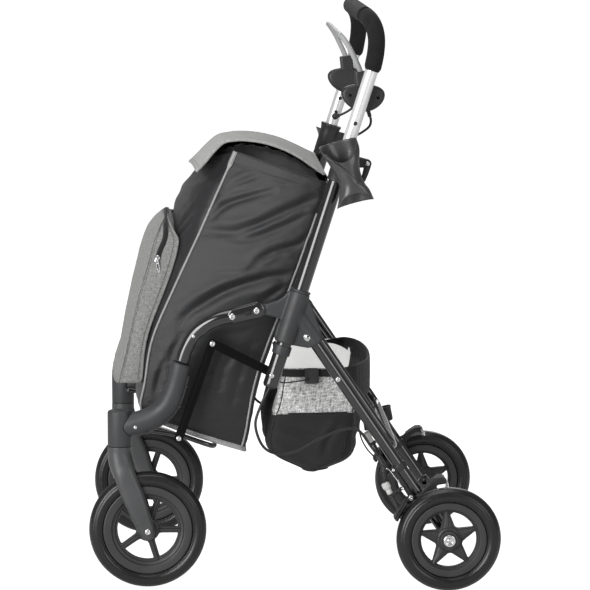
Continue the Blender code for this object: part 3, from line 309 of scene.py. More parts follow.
NET = net("basket_net")
# painted light: the pale lining glows (emission 0.52), standing in for light falling into the shaded inside of the
# basket's ends
glow_lining_tree = PALE_LINING_GLOW.node_tree
glow_lining_tree.nodes["Principled BSDF"].inputs["Emission Color"].default_value = (1.0, 1.0, 0.99, 1.0)
glow_lining_tree.nodes["Principled BSDF"].inputs["Emission Strength"].default_value = 0.52

PAINT = {
    BLACK_TUBE: ("main_tube", "rear_leg", "front_tube", "rear_cross_tube", "bag_support_rail"),
    PLASTIC: ("hub", "brake_housing", "front_elbow"),
    FORK_PLASTIC: ("caster_fork",),
    DARK_PLASTIC: ("tube_collar", "height_lever", "brake_bracket", "brake_shoe", "tilt_pedal", "stick_foot_cup"),
    RIM_PLASTIC: ("front_rim", "rear_rim"),
    RUBBER: ("front_tyre", "rear_tyre"),
    CHROME: ("front_axle", "rear_axle", "zip_slider"),
    STEEL: ("brace_rear", "brace_front"),
    CABLE: ("brake_cable", "upper_cable", "basket_cord"),
    HOLSTER: ("stick_holder",),
    ALUMINIUM: ("push_bar",),
    BAR_METAL: ("brake_bar",),
    FOAM: ("handle_grip",),
    NYLON: ("shopping_bag",),
    PALE: ("bag_lid",),
    MELANGE: ("front_pocket",),
    NET: ("rear_basket",),
    WEBBING: ("basket_rim",),
}
for mat, starts in PAINT.items():
    for name, o in NODES.items():
        if name.startswith(starts):
            for k in range(max(1, len(o.material_slots))):
                if len(o.material_slots) == 0:
                    o.data.materials.append(mat)
                else:
                    o.material_slots[k].material = mat

# ------------------------------------------------------------------ mesh helpers
def smoothstep(x, a, b):
    t = np.clip((np.asarray(x, float) - a) / (b - a), 0.0, 1.0)
    return t * t * (3 - 2 * t)


def spline(table, f):
    """Smooth rows of a table at fractional positions f."""
    table = np.asarray(table, float)
    f = np.clip(np.asarray(f, float), 0, len(table) - 1)
    i = np.minimum(f.astype(int), len(table) - 2)
    t = (f - i)[..., None]
    p = lambda k: table[np.clip(i + k, 0, len(table) - 1)]
    a, b, c, d = p(-1), p(0), p(1), p(2)
    first, last = (i == 0)[..., None], (i == len(table) - 2)[..., None]
    a = np.where(first, 2 * b - c, a)
    d = np.where(last, 2 * c - b, d)
    return 0.5 * (2 * b + (c - a) * t + (2 * a - 5 * b + 4 * c - d) * t * t + (3 * b - a - 3 * c + d) * t ** 3)


def even_path(points, step):
    """A smooth line through the points, with a point about every step."""
    points = np.asarray(points, float)
    dense = spline(points, np.linspace(0, len(points) - 1, (len(points) - 1) * 16 + 1))
    run = np.concatenate([[0], np.cumsum(np.linalg.norm(np.diff(dense, axis=0), axis=1))])
    n = max(2, int(round(run[-1] / step)) + 1)
    at = np.linspace(0, run[-1], n)
    return np.stack([np.interp(at, run, dense[:, k]) for k in range(dense.shape[1])], 1)


def build(name, verts, faces, mat, body, uv=None, smooth=True, indices=None, extra=()):
    """A mesh piece. uv is one pair for each corner of each face, in metres."""
    mesh = bpy.data.meshes.new(name)
    mesh.from_pydata([tuple(map(float, v)) for v in verts], [], [tuple(map(int, f)) for f in faces])
    for m in (mat, *extra):
        mesh.materials.append(m)
    if uv is not None:
        layer = mesh.uv_layers.new(name="UVMap")
        layer.data.foreach_set("uv", np.asarray(uv, float).ravel())
    if indices is not None:
        mesh.polygons.foreach_set("material_index", np.asarray(indices, int))
    if smooth:
        mesh.shade_smooth()
    o = bpy.data.objects.new(name, mesh)
    scene.collection.objects.link(o)
    if body:
        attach(o, body)
    return o


def grid_faces(rows, cols, wrap=False, offset=0, flip=False):
    r, c = np.meshgrid(np.arange(rows - 1), np.arange(cols if wrap else cols - 1), indexing="ij")
    r, c = r.ravel(), c.ravel()
    d = (c + 1) % cols
    quad = np.stack([r * cols + c, r * cols + d, (r + 1) * cols + d, (r + 1) * cols + c], 1) + offset
    return quad[:, ::-1] if flip else quad


def grid_uv(P, wrap=False, flip=False):
    """Lengths along the rows and columns of a grid, for each corner of each face."""
    Q = np.concatenate([P, P[:, :1]], 1) if wrap else P
    U = np.concatenate([np.zeros((Q.shape[0], 1)), np.cumsum(np.linalg.norm(np.diff(Q, axis=1), axis=2), 1)], 1)
    V = np.concatenate([np.zeros((1, Q.shape[1])), np.cumsum(np.linalg.norm(np.diff(Q, axis=0), axis=2), 0)], 0)
    U = U - U[:, U.shape[1] // 2][:, None]
    r, c = np.meshgrid(np.arange(Q.shape[0] - 1), np.arange(Q.shape[1] - 1), indexing="ij")
    r, c = r.ravel(), c.ravel()
    order = [(r, c), (r, c + 1), (r + 1, c + 1), (r + 1, c)]
    if flip:
        order = order[::-1]
    return np.stack([np.stack([U[a, b], V[a, b]], 1) for a, b in order], 1).reshape(-1, 2)


def grid_normals(P, wrap=False):
    if wrap:
        du = np.roll(P, -1, 1) - np.roll(P, 1, 1)
    else:
        du = np.gradient(P, axis=1)
    dv = np.gradient(P, axis=0)
    n = np.cross(du, dv)
    return n / np.maximum(np.linalg.norm(n, axis=2, keepdims=True), 1e-12)


def sheet_grid(name, P, mat, body, wrap=False, flip=False, thick=0.0, offset=-1.0, indices=None, extra=(), inner=0, rim=0):
    rows, cols = P.shape[:2]
    o = build(name, P.reshape(-1, 3), grid_faces(rows, cols, wrap, 0, flip), mat, body, grid_uv(P, wrap, flip), True, indices, extra)
    if thick:
        m = o.modifiers.new("thickness", "SOLIDIFY")
        m.thickness = thick
        m.offset = offset
        m.use_even_offset = False
        m.material_offset = inner
        m.material_offset_rim = rim
    return o


def frames(path):
    """A tangent and two cross directions at each point of a line, without twist."""
    path = np.asarray(path, float)
    t = np.gradient(path, axis=0)
    t /= np.maximum(np.linalg.norm(t, axis=1, keepdims=True), 1e-12)
    up = np.array([0.0, 0.0, 1.0]) if abs(t[0][2]) < 0.8 else np.array([0.0, 1.0, 0.0])
    n = np.cross(t[0], up)
    n /= np.linalg.norm(n)
    ns = [n]
    for k in range(1, len(path)):
        n = ns[-1] - t[k] * (ns[-1] @ t[k])
        ns.append(n / max(np.linalg.norm(n), 1e-12))
    ns = np.array(ns)
    return t, ns, np.cross(t, ns)


def sweep_data(path, radius, sides=12, shape=None, guide=None, closed=False, caps=True):
    """Vertices, faces and uvs of a tube. radius is one number or one for each point; shape scales two cross directions."""
    path = np.asarray(path, float)
    n = len(path)
    t, a, b = frames(path)
    if closed:
        t = np.roll(path, -1, 0) - np.roll(path, 1, 0)
        t /= np.linalg.norm(t, axis=1, keepdims=True)
        b = np.cross(t, a)
        b /= np.linalg.norm(b, axis=1, keepdims=True)
        a = np.cross(b, t)
    if guide is not None:  # the first cross direction leans towards guide
        g = np.broadcast_to(np.asarray(guide, float), path.shape)
        a = g - t * np.sum(g * t, 1, keepdims=True)
        a /= np.maximum(np.linalg.norm(a, axis=1, keepdims=True), 1e-12)
        b = np.cross(t, a)
    radius = np.broadcast_to(np.asarray(radius, float), (n,))
    sx, sy = (1.0, 1.0) if shape is None else shape
    sx, sy = np.broadcast_to(sx, (n,)), np.broadcast_to(sy, (n,))
    ang = 2 * np.pi * np.arange(sides) / sides
    P = path[:, None] + (a[:, None] * np.cos(ang)[None, :, None] * (radius * sx)[:, None, None]
                         + b[:, None] * np.sin(ang)[None, :, None] * (radius * sy)[:, None, None])
    if closed:
        P = np.concatenate([P, P[:1]], 0)
    faces = [tuple(f) for f in grid_faces(len(P), sides, True)]
    uv = list(map(tuple, grid_uv(P, True)))
    if closed:
        faces = [tuple((i % (n * sides)) for i in f) for f in faces]
        P = P[:-1]
    verts = P.reshape(-1, 3)
    if caps and not closed:
        for ring, order in ((0, -1), (n - 1, 1)):
            ids = [ring * sides + k for k in range(sides)][::order]
            faces.append(tuple(ids))
            uv += [(float(np.cos(x)) * float(radius[ring]), float(np.sin(x)) * float(radius[ring])) for x in ang]
    return verts, faces, uv


def tube(name, path, radius, mat, body, sides=12, shape=None, guide=None, closed=False, caps=True):
    verts, faces, uv = sweep_data(path, radius, sides, shape, guide, closed, caps)
    return build(name, verts, faces, mat, body, uv, True)


class Batch:
    """Several small shapes gathered into one mesh."""

    def __init__(self):
        self.verts, self.faces, self.uv = [], [], []

    def add(self, verts, faces, uv=None):
        base = len(self.verts)
        self.verts += [tuple(v) for v in verts]
        self.faces += [tuple(base + i for i in f) for f in faces]
        self.uv += list(uv) if uv is not None else [(0.0, 0.0)] * sum(len(f) for f in faces)

    def sweep(self, *args, **kw):
        self.add(*sweep_data(*args, **kw))

    def done(self, name, mat, body, slot=None, smooth=True):
        return build(name, self.verts, self.faces, mat, body, self.uv, smooth)


def turn_data(profile, place, axis, steps=48):
    """A closed or open profile of (radius, height along axis) turned round axis through place."""
    axis = np.asarray(axis, float) / np.linalg.norm(axis)
    side = np.cross(axis, [0, 0, 1.0] if abs(axis[2]) < 0.9 else [0, 1.0, 0])
    side /= np.linalg.norm(side)
    other = np.cross(axis, side)
    ang = 2 * np.pi * np.arange(steps) / steps
    rows = []
    for r, h in profile:
        rows.append(np.asarray(place) + axis * h + (np.cos(ang)[:, None] * side + np.sin(ang)[:, None] * other) * max(r, 1e-5))
    P = np.array(rows)
    return P.reshape(-1, 3), [tuple(f) for f in grid_faces(len(rows), steps, True)], list(map(tuple, grid_uv(P, True)))


def bolt(batch, place, axis, radius, steps=20, depth=None, hexagon=True):
    """A domed button head with a hexagonal socket, standing on place and facing along axis."""
    h = depth or radius * 0.55
    profile = [(radius * 0.86, -0.0008), (radius, 0.0), (radius * 0.99, h * 0.22), (radius * 0.90, h * 0.58), (radius * 0.72, h * 0.86), (radius * 0.50, h)]
    if hexagon:
        profile += [(radius * 0.42, h * 0.98), (radius * 0.40, h * 0.45), (radius * 0.02, h * 0.40)]
    else:
        profile += [(radius * 0.02, h * 1.05)]
    batch.add(*turn_data(profile, place, axis, steps))


def stitches(batch, path, normal, lift=0.0003, length=0.0030, gap=0.0014, radius=0.00042, sides=5):
    """Small raised threads along a line. normal is one direction or one for each point."""
    path = np.asarray(path, float)
    normal = np.broadcast_to(np.asarray(normal, float), path.shape)
    run = np.concatenate([[0], np.cumsum(np.linalg.norm(np.diff(path, axis=0), axis=1))])
    at = lambda x: np.array([np.interp(x, run, path[:, k]) for k in range(3)])
    nat = lambda x: np.array([np.interp(x, run, normal[:, k]) for k in range(3)])
    x = gap
    while x + length < run[-1]:
        pts = [at(x + length * f) for f in (0.0, 0.18, 0.82, 1.0)]
        ns = [nat(x + length * f) for f in (0.0, 0.18, 0.82, 1.0)]
        rise = (-0.0002, lift, lift, -0.0002)
        pts = np.array([p + n / max(np.linalg.norm(n), 1e-9) * k for p, n, k in zip(pts, ns, rise)])
        batch.sweep(pts, [radius * 0.4, radius, radius, radius * 0.4], sides)
        x += length + gap


def bumps(P, scale, seed):
    """Soft noise at each point of a grid."""
    flat = P.reshape(-1, 3) * np.asarray(scale)
    return np.array([noise.noise(Vector((float(a) + seed, float(b) - seed, float(c)))) for a, b, c in flat]).reshape(P.shape[:-1])


def strokes(Y, Z, lines):
    """Creases: how far the cloth moves out at (Y, Z) for lines of (points, depth, width)."""
    out = np.zeros_like(Y)
    for pts, depth, width in lines:
        pts = even_path(np.asarray(pts, float), 0.004)
        best = np.full(Y.shape, 1e9)
        sign = np.zeros_like(Y)
        along = np.zeros_like(Y)
        n = len(pts) - 1
        for k in range(n):
            a, b = pts[k], pts[k + 1]
            d = b - a
            L = float(d @ d)
            t = np.clip(((Y - a[0]) * d[0] + (Z - a[1]) * d[1]) / L, 0, 1)
            qy, qz = Y - a[0] - d[0] * t, Z - a[1] - d[1] * t
            dist = np.hypot(qy, qz)
            hit = dist < best
            best = np.where(hit, dist, best)
            side = np.sign(qz * -d[0] + qy * d[1])
            sign = np.where(hit, side, sign)
            along = np.where(hit, (k + t) / n, along)
        s = best * np.where(sign == 0, 1, sign)
        taper = np.clip(np.sin(np.pi * np.clip(along * 0.94 + 0.03, 0, 1)), 0, 1) ** 0.6
        out += depth * taper * (-np.exp(-(best / width) ** 2) + 0.75 * np.exp(-((s - 1.7 * width) / (1.35 * width)) ** 2)
                                + 0.25 * np.exp(-((s + 1.7 * width) / (1.35 * width)) ** 2))
    return out


def puff(o, cap, pressure=4.0, pinned=None, steps=20, stiffness=15.0, bend=0.5, shrink=0.0):
    """Swells a closed fabric shape with a short cloth simulation and keeps the result."""
    start = np.empty(len(o.data.vertices) * 3)
    o.data.vertices.foreach_get("co", start)
    m = o.modifiers.new("cloth", "CLOTH")
    m.settings.quality = 6
    m.settings.mass = 0.15
    m.settings.tension_stiffness = m.settings.compression_stiffness = stiffness
    m.settings.shear_stiffness = stiffness * 0.4
    m.settings.bending_stiffness = bend
    m.settings.use_pressure = True
    m.settings.uniform_pressure_force = pressure
    m.settings.shrink_min = shrink
    m.settings.effector_weights.gravity = 0.0
    m.collision_settings.use_collision = False
    if pinned is not None:
        group = o.vertex_groups.new(name="pinned")
        group.add([int(i) for i in pinned], 1.0, "REPLACE")
        m.settings.vertex_group_mass = "pinned"
    m.point_cache.frame_start, m.point_cache.frame_end = 1, steps
    for f in range(1, steps + 1):
        scene.frame_set(f)
    dg = bpy.context.evaluated_depsgraph_get()
    moved = o.evaluated_get(dg).to_mesh()
    end = np.empty_like(start)
    moved.vertices.foreach_get("co", end)
    o.evaluated_get(dg).to_mesh_clear()
    o.modifiers.remove(m)
    a, b = start.reshape(-1, 3), end.reshape(-1, 3)
    step = b - a
    size = np.linalg.norm(step, axis=1, keepdims=True)
    size = np.maximum(size, 1e-9)
    soft = cap * np.tanh(size / cap)
    a = a + step / size * soft
    o.data.vertices.foreach_set("co", a.ravel())
    o.data.update()
    scene.frame_set(1)


def points_of(o, rows, cols):
    co = np.empty(len(o.data.vertices) * 3)
    o.data.vertices.foreach_get("co", co)
    return co.reshape(-1, 3)[: rows * cols].reshape(rows, cols, 3)

# ------------------------------------------------------------------ shopping bag
BAG = (  # front seam Y, Z; rear edge Y, Z; rear half width; front half width; bulge of the front face in Y, Z
    (-0.2330, 0.2780, -0.0830, 0.2290, 0.178, 0.172, -0.0080, 0.0030),
    (-0.2600, 0.2990, -0.0740, 0.2620, 0.184, 0.176, -0.0100, 0.0020),
    (-0.2530, 0.3466, -0.0600, 0.3400, 0.190, 0.178, -0.0130, 0.0008),
    (-0.2392, 0.4223, -0.0380, 0.4100, 0.200, 0.178, -0.0260, 0.0016),
    (-0.1997, 0.5140, -0.0020, 0.5050, 0.216, 0.178, -0.0340, 0.0016),
    (-0.1570, 0.6060, 0.0280, 0.5880, 0.219, 0.176, -0.0500, 0.0046),
    (-0.1240, 0.6800, 0.0470, 0.6450, 0.219, 0.174, -0.0590, -0.0100),
    (-0.0968, 0.7400, 0.0560, 0.6900, 0.219, 0.172, -0.0340, -0.0150),
)


def bag_row(v):
    return spline(BAG, np.asarray(v, float) * (len(BAG) - 1))


def bag_front(v, x):
    """The outer face of the bag's front panel at v and X, in Y and Z."""
    r = bag_row(v)
    f = np.maximum(0.0, 1 - (x / r[..., 5]) ** 2) ** 0.62
    return r[..., 0] + r[..., 6] * f, r[..., 1] + r[..., 7] * f


REAR_N, SIDE_N, FRONT_N = 18, 54, 40


def bag_half(v):
    """Half a ring of the bag at each v: rear, side, front."""
    r = bag_row(v)[:, None, :]
    fy, fz, ry, rz, wr, wf = [r[..., k] for k in range(6)]
    u = np.linspace(0, 0.965, REAR_N)[None]
    rear = np.stack([wr * u, ry + 0 * u, rz + 0 * u], 2)
    t = np.linspace(0, 1, SIDE_N)[None]
    corner = np.exp(-(t / 0.035) ** 2)
    side = np.stack([wr + (wf - wr) * t + 0.012 * np.sin(np.pi * t) - 0.003 * corner, ry + (fy - ry) * t - 0.002 * corner, rz + (fz - rz) * t], 2)
    phi = np.linspace(0, np.pi / 2, FRONT_N + 1)[1:][None]
    x = wf * np.cos(phi)
    y, z = bag_front(v[:, None], x)
    front = np.stack([x, y, z], 2)
    return np.concatenate([rear, side, front], 1)


hem = 0.9545
bag_v = np.unique(np.concatenate([np.linspace(0, 1, 142), [0.9505, 0.9530, 0.9560, 0.9590]]))
half = bag_half(bag_v)
mirror = half[:, -2:0:-1] * np.array([-1.0, 1.0, 1.0])
bag_grid = np.concatenate([half, mirror], 1)
drop = 0.012 * np.maximum(0.0, (bag_v - 0.8) / 0.2)
bag_grid[:, :, 2] -= drop[:, None] * np.clip(-bag_grid[:, :, 0] / 0.17, 0, 1)
out = grid_normals(bag_grid, True)
middle = np.array([0.0, -0.08, 0.48])
if np.sum((bag_grid - bag_grid.mean(1, keepdims=True)) * out) < 0:
    out = -out
X, Y, Z = bag_grid[..., 0], bag_grid[..., 1], bag_grid[..., 2]
V = np.broadcast_to(bag_v[:, None], X.shape)
cols = bag_grid.shape[1]
col = np.arange(cols)
is_left = ((col >= REAR_N) & (col < REAR_N + SIDE_N))[None]
is_right = ((col > cols - REAR_N - SIDE_N) & (col <= cols - REAR_N))[None]
is_front = ((col >= REAR_N + SIDE_N) & (col <= cols - REAR_N - SIDE_N))[None]
is_rear = ~(is_left | is_right | is_front)

CREASES = [
    ([(-.034, .677), (-.072, .666), (-.113, .651), (-.141, .627)], 0.0050, 0.0062),
    ([(-.046, .687), (-.089, .676), (-.117, .663)], 0.0028, 0.0050),
    ([(-.063, .700), (-.089, .689), (-.108, .679)], 0.0026, 0.0050),
    ([(.036, .665), (-.009, .644), (-.059, .620), (-.098, .607), (-.147, .603)], 0.0058, 0.0080),
    ([(.019, .635), (-.025, .614), (-.072, .596), (-.106, .594)], 0.0046, 0.0070),
    ([(-.007, .583), (-.037, .572), (-.061, .557), (-.072, .548)], 0.0040, 0.0064),
    ([(-.008, .533), (-.033, .532), (-.062, .525), (-.090, .516), (-.119, .504), (-.153, .484), (-.176, .468), (-.190, .452)], 0.0072, 0.0085),
    ([(-.017, .515), (-.044, .497), (-.058, .490)], 0.0034, 0.0060),
    ([(-.153, .445), (-.119, .456), (-.085, .461), (-.053, .467)], 0.0036, 0.0065),
    ([(.030, .600), (.004, .585), (-.020, .577)], 0.0034, 0.0060),
    ([(-.020, .560), (-.055, .545), (-.100, .535), (-.130, .532)], 0.0030, 0.0070),
    ([(-.100, .400), (-.120, .370), (-.128, .330)], 0.0022, 0.0060),
    ([(-.190, .430), (-.205, .400), (-.214, .360)], 0.0026, 0.0060),
    ([(-.070, .420), (-.095, .350), (-.110, .290)], 0.0020, 0.0070),
    ([(-.215, .395), (-.228, .360), (-.236, .325)], 0.0026, 0.0055),
]
moved = np.zeros_like(X)
left_fold = strokes(Y, Z, CREASES)
right_lines = [([(y + 0.006, z - 0.010 - 0.02 * (k % 2)) for y, z in pts], d * (0.75 + 0.25 * math.cos(k * 2.3)), w * 1.05) for k, (pts, d, w) in enumerate(CREASES)]
right_fold = strokes(Y, Z, right_lines)
moved += np.where(is_left, left_fold, 0) + np.where(is_right, right_fold, 0)
front_lines = [
    ([(-.110, .655), (-.060, .650), (0, .652), (.060, .648), (.100, .655)], 0.0022, 0.0110),
    ([(-.120, .690), (-.080, .682), (-.010, .678)], 0.0020, 0.0100),
    ([(.150, .640), (.128, .618), (.112, .602)], 0.0026, 0.0060),
    ([(.158, .622), (.140, .604), (.126, .592)], 0.0024, 0.0050),
    ([(-.150, .632), (-.125, .610), (-.100, .600)], 0.0026, 0.0060),
    ([(.020, .690), (.070, .684), (.120, .692)], 0.0018, 0.0100),
]
moved += np.where(is_front, strokes(X, Z, front_lines), 0)
rear_lines = [
    ([(-.190, .600), (-.100, .588), (-.010, .596), (.090, .584), (.190, .602)], 0.0046, 0.0100),
    ([(-.180, .540), (-.060, .520), (.060, .524), (.180, .545)], 0.0050, 0.0110),
    ([(-.150, .470), (-.050, .455), (.040, .462)], 0.0040, 0.0100),
    ([(.170, .440), (.080, .420), (.000, .415)], 0.0036, 0.0090),
    ([(-.160, .380), (-.060, .362), (.020, .372)], 0.0030, 0.0090),
    ([(.150, .340), (.060, .322), (-.020, .330)], 0.0030, 0.0090),
    ([(-.200, .650), (-.110, .640), (-.030, .648)], 0.0036, 0.0080),
    ([(.200, .650), (.110, .636), (.040, .642)], 0.0036, 0.0080),
]
moved += np.where(is_rear, strokes(X, Z, rear_lines), 0)
# slow and fine rumpling, drawn out along the way the side creases run
tilt = np.stack([Y * 0.95 + Z * 0.30, -Y * 0.30 + Z * 0.95, X], 2)
flat = np.stack([X, Z, Y], 2)
moved += np.where(is_left | is_right, 0.0020 * bumps(tilt, (9, 34, 10), 3.1) + 0.0007 * bumps(tilt, (36, 120, 30), 8.4),
                  0.0022 * bumps(flat, (11, 30, 10), 5.7) + 0.0007 * bumps(flat, (40, 110, 30), 2.2))
seam_gap = np.ones(cols)
for k in (REAR_N + 1, REAR_N + SIDE_N, cols - REAR_N - SIDE_N, cols - REAR_N - 1):
    seam_gap = np.minimum(seam_gap, 1 - 0.85 * np.exp(-(((col - k) / 2.2) ** 2)))
moved *= seam_gap[None]
moved *= (1 - 0.7 * smoothstep(V, 0.945, 0.975)) * smoothstep(V, 0.0, 0.05)
moved = np.where(moved > 0, moved * smoothstep(Z, 0.300, 0.360), moved)
moved += np.where(V > hem, 0.0008, 0.0)
front_cover = is_front & (np.abs(X) < 0.172) & (Z < 0.62)
moved = np.where(front_cover, np.minimum(moved, 0.0006), moved)
bag_grid = bag_grid + out * moved[..., None]
# the bottom closes on a rounded fold
base = bag_grid[0]
centre = base.mean(0)
rows = [bag_grid[::-1]]
for k, lift in ((0.012, -0.0016), (0.035, -0.0022), (0.08, -0.0024), (0.18, -0.0022), (0.34, -0.0020), (0.52, -0.0018), (0.70, -0.0018), (0.86, -0.0018), (0.985, -0.0018)):
    ring = base + (centre - base) * k
    ring = ring + np.array([0, -0.327 * lift, lift])
    rows.append(ring[None])
whole = np.concatenate(rows, 0)
wave = 0.0012 * bumps(whole[len(bag_grid) + 2:], (24, 24, 10), 1.3)
whole[len(bag_grid) + 2:, :, 2] += wave
n = grid_normals(whole, True)
flip = np.sum((whole[:40] - whole[:40].mean(1, keepdims=True)) * n[:40]) < 0
bag = sheet_grid("bag_cloth", whole, NYLON, "frame", wrap=True, flip=bool(flip), thick=0.0016, extra=(LINER,), inner=1)
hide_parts("shopping_bag")
bag_side = {1: (REAR_N, REAR_N + SIDE_N), -1: None}
seam_col = {1: REAR_N + SIDE_N - 1, -1: cols - (REAR_N + SIDE_N - 1)}
rear_col = {1: REAR_N + 2, -1: cols - (REAR_N + 2)}
bag_out = grid_normals(bag_grid, True)
if np.sum((bag_grid - bag_grid.mean(1, keepdims=True)) * bag_out) < 0:
    bag_out = -bag_out

for side, s in SIDES:
    # front seam: a folded binding, wide and flat over its first 25 mm
    line = bag_grid[:, seam_col[s]]
    face = bag_out[:, seam_col[s]]
    run = np.concatenate([[0], np.cumsum(np.linalg.norm(np.diff(line, axis=0), axis=1))])
    at = np.linspace(0.004, run[-1] + 0.0012, 150)
    pick = lambda A: np.stack([np.interp(at, run, A[:, k]) for k in range(3)], 1)
    p, f = pick(line), pick(face)
    f[:, 1] = -0.15 - 0.1 * 0
    f = np.stack([np.full(len(p), 0.75 * s), np.full(len(p), -0.62), np.full(len(p), -0.2)], 1)
    f /= np.linalg.norm(f, axis=1, keepdims=True)
    wide = 1 + 1.35 * smoothstep(run[-1] - at, 0.034, 0.022)
    p = p + f * 0.0012
    tube(f"bag_front_piping_{side}", p, 0.0020, TRIM, "frame", 12, shape=(0.85 + 0 * wide, wide), guide=f)
    # the tab's stitches are painted near-black: painted shade along the stitch lines
    batch = Batch()
    tab = at > run[-1] - 0.024
    for k in (-1, 1):
        edge = p[tab] + f[tab] * 0.0016 + np.cross(f[tab], np.array([0, 0.42, 0.9])) * 0.0030 * k
        stitches(batch, edge, f[tab], 0.0004, 0.0024, 0.0012, 0.00035)
    batch.done(f"bag_tab_stitching_{side}", SHADOW, "frame", "webbing")
    # rear piping
    line = bag_grid[:, rear_col[s]]
    f = bag_out[:, rear_col[s]]
    keep = slice(2, int(np.searchsorted(line[:, 2], 0.640)), 2)
    tube(f"bag_rear_piping_{side}", line[keep] + f[keep] * 0.0009, 0.0017, TRIM, "frame", 10)

# the bottom's binding and the hem's stitches
ring = whole[len(bag_grid)]
ring_n = np.stack([ring[:, 0] * 3, ring[:, 1] - centre[1], -0.25 + 0 * ring[:, 0]], 1)
ring_n /= np.linalg.norm(ring_n, axis=1, keepdims=True)
pick = np.unique(np.concatenate([np.arange(0, cols, 2)]))
tube("bag_bottom_piping", ring[pick] + ring_n[pick] * 0.0004, 0.0019, TRIM, "frame", 10, closed=True)
# a folded tape bound round the bottom edge
base_n = bag_out[0] * np.array([1, 1, 0])
base_n /= np.maximum(np.linalg.norm(base_n, axis=1, keepdims=True), 1e-9)
rearward = smoothstep(base[:, 1], -0.16, -0.02)
sway = np.array([noise.noise(Vector((float(a) * 26, float(c) * 26, 3.0))) for a, c in base[:, :2]])
tape = []
for up, outw in ((0.0042, 0.0009), (0.0040, 0.0018), (0.0020, 0.0022), (-0.0010, 0.0024), (-0.0036, 0.0022), (-0.0052, 0.0014), (-0.0056, 0.0002), (-0.0050, -0.0010), (-0.0020, -0.0014)):
    ring_ = base + base_n * outw
    ring_[:, 2] += up * (1 + (0.08 * rearward if up < 0 else 0)) + 0.0007 * sway
    ring_[:, 1] += (-0.327 * up) * 0.6
    tape.append(ring_)
tape = np.array(tape)
tn = grid_normals(tape, True)
tape_flip = bool(np.sum(base_n[None] * tn[1:5]) < 0)
sheet_grid("bag_bottom_tape", tape, TRIM, "frame", wrap=True, flip=tape_flip, thick=0.0006)
batch = Batch()
stitches(batch, np.concatenate([tape[2], tape[2][:1]]), np.concatenate([base_n, base_n[:1]]), 0.0003, 0.0028, 0.0016, 0.00034)
batch.done("bag_bottom_tape_stitching", MELANGE, "frame", "pale_melange")
hem_row = int(np.argmin(np.abs(bag_v - hem)))
top_rows = slice(hem_row, len(bag_v))
batch = Batch()
for a, b in ((0, cols + 1),):
    idx = np.arange(a, b) % cols
    row = bag_grid[hem_row + 1][idx]
    stitches(batch, row, bag_out[hem_row + 1][idx], 0.0004, 0.0030, 0.0016, 0.00042)
    row = bag_grid[hem_row - 4][idx]
    stitches(batch, row, bag_out[hem_row - 4][idx], 0.0003, 0.0030, 0.0016, 0.00034)
batch.done("bag_hem_stitching", LINER, "frame", "nylon")
rim_line = bag_grid[-1]
tube("bag_rim_roll", rim_line[::2] - bag_out[-1][::2] * 0.0007, 0.0013, NYLON, "frame", 8, closed=True)

# ------------------------------------------------------------------ lid
LID = np.array((  # left edge Y and Z from the hinge to the front tip, half width, how much lower the right edge lies
    (0.0525, 0.7040, 0.190, 0.0000), (0.0330, 0.7175, 0.188, 0.0040), (0.0127, 0.7315, 0.186, 0.0080),
    (-0.0150, 0.7460, 0.183, 0.0110), (-0.0480, 0.7570, 0.180, 0.0140), (-0.0797, 0.7615, 0.177, 0.0155),
    (-0.1000, 0.7610, 0.175, 0.0165), (-0.1180, 0.7570, 0.173, 0.0170), (-0.1340, 0.7425, 0.168, 0.0165),
    (-0.1515, 0.7210, 0.162, 0.0145), (-0.1650, 0.7065, 0.157, 0.0120),
))


def lid_surface(i, t):
    """Points of the lid's upper face at fractional rows i and t from -1 at the right edge to 1 at the left."""
    i, t = np.broadcast_arrays(np.asarray(i, float), np.asarray(t, float))
    r = spline(LID, i)
    camber = 0.0030 * (1 - t * t) * np.minimum(1.0, i / 3)
    y = r[..., 0] - 0.0090 * (1 - t) / 2 * np.minimum(1.0, np.maximum(0, i - 5) / 4)
    return np.stack([r[..., 2] * t, y, r[..., 1] - r[..., 3] * (1 - t) / 2 + camber], -1)


LR, LC = 76, 84
li = np.linspace(0, 10, LR)[:, None]
lt = np.sin(np.linspace(-1, 1, LC) * math.pi / 2 * 0.985)[None] / math.sin(math.pi / 2 * 0.985)
lid_top = lid_surface(li, lt)
lid_n = grid_normals(lid_top)
if lid_n[LR // 3, LC // 2, 2] < 0:
    lid_n = -lid_n
edge = np.minimum(1 - np.abs(lt), np.minimum(li / 10, 1 - li / 10) * 2.2)
crown = smoothstep(edge, 0.0, 0.10)
top = lid_top + lid_n * (0.0004 + 0.0022 * crown + 0.0007 * bumps(lid_top, (20, 26, 20), 4.4) * crown)[..., None]
low = lid_top - lid_n * (0.0030 + 0.0012 * crown)[..., None]
verts = np.concatenate([top.reshape(-1, 3), low.reshape(-1, 3)])
N = LR * LC
faces = [tuple(f) for f in grid_faces(LR, LC, flip=False)] + [tuple(f) for f in grid_faces(LR, LC, offset=N, flip=True)]
uvs = list(map(tuple, grid_uv(top))) + list(map(tuple, grid_uv(low, flip=True)))
border = [k for k in range(LC)] + [r * LC + LC - 1 for r in range(1, LR)] + [(LR - 1) * LC + k for k in range(LC - 2, -1, -1)] + [r * LC for r in range(LR - 2, 0, -1)]
flat_uv = np.zeros((N, 2))
flat_uv[:] = top.reshape(-1, 3)[:, :2]
for a, b in zip(border, border[1:] + border[:1]):
    faces.append((b, a, a + N, b + N))
    uvs += [tuple(flat_uv[b]), tuple(flat_uv[a]), tuple(flat_uv[a] + 0.004), tuple(flat_uv[b] + 0.004)]
under = [0] * ((LR - 1) * (LC - 1)) + [1] * ((LR - 1) * (LC - 1)) + [0] * len(border)
lid = build("lid_panel", verts, faces, PALE, None, uvs, True, indices=under, extra=(LINER,))
puff(lid, 0.0026, 3.0, pinned=[k for k in border] + [k + N for k in border])
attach(lid, "lid")
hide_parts("bag_lid")
lid_now = points_of(lid, LR, LC)
edge_path = np.array([(verts[k] + verts[k + N]) / 2 for k in border])
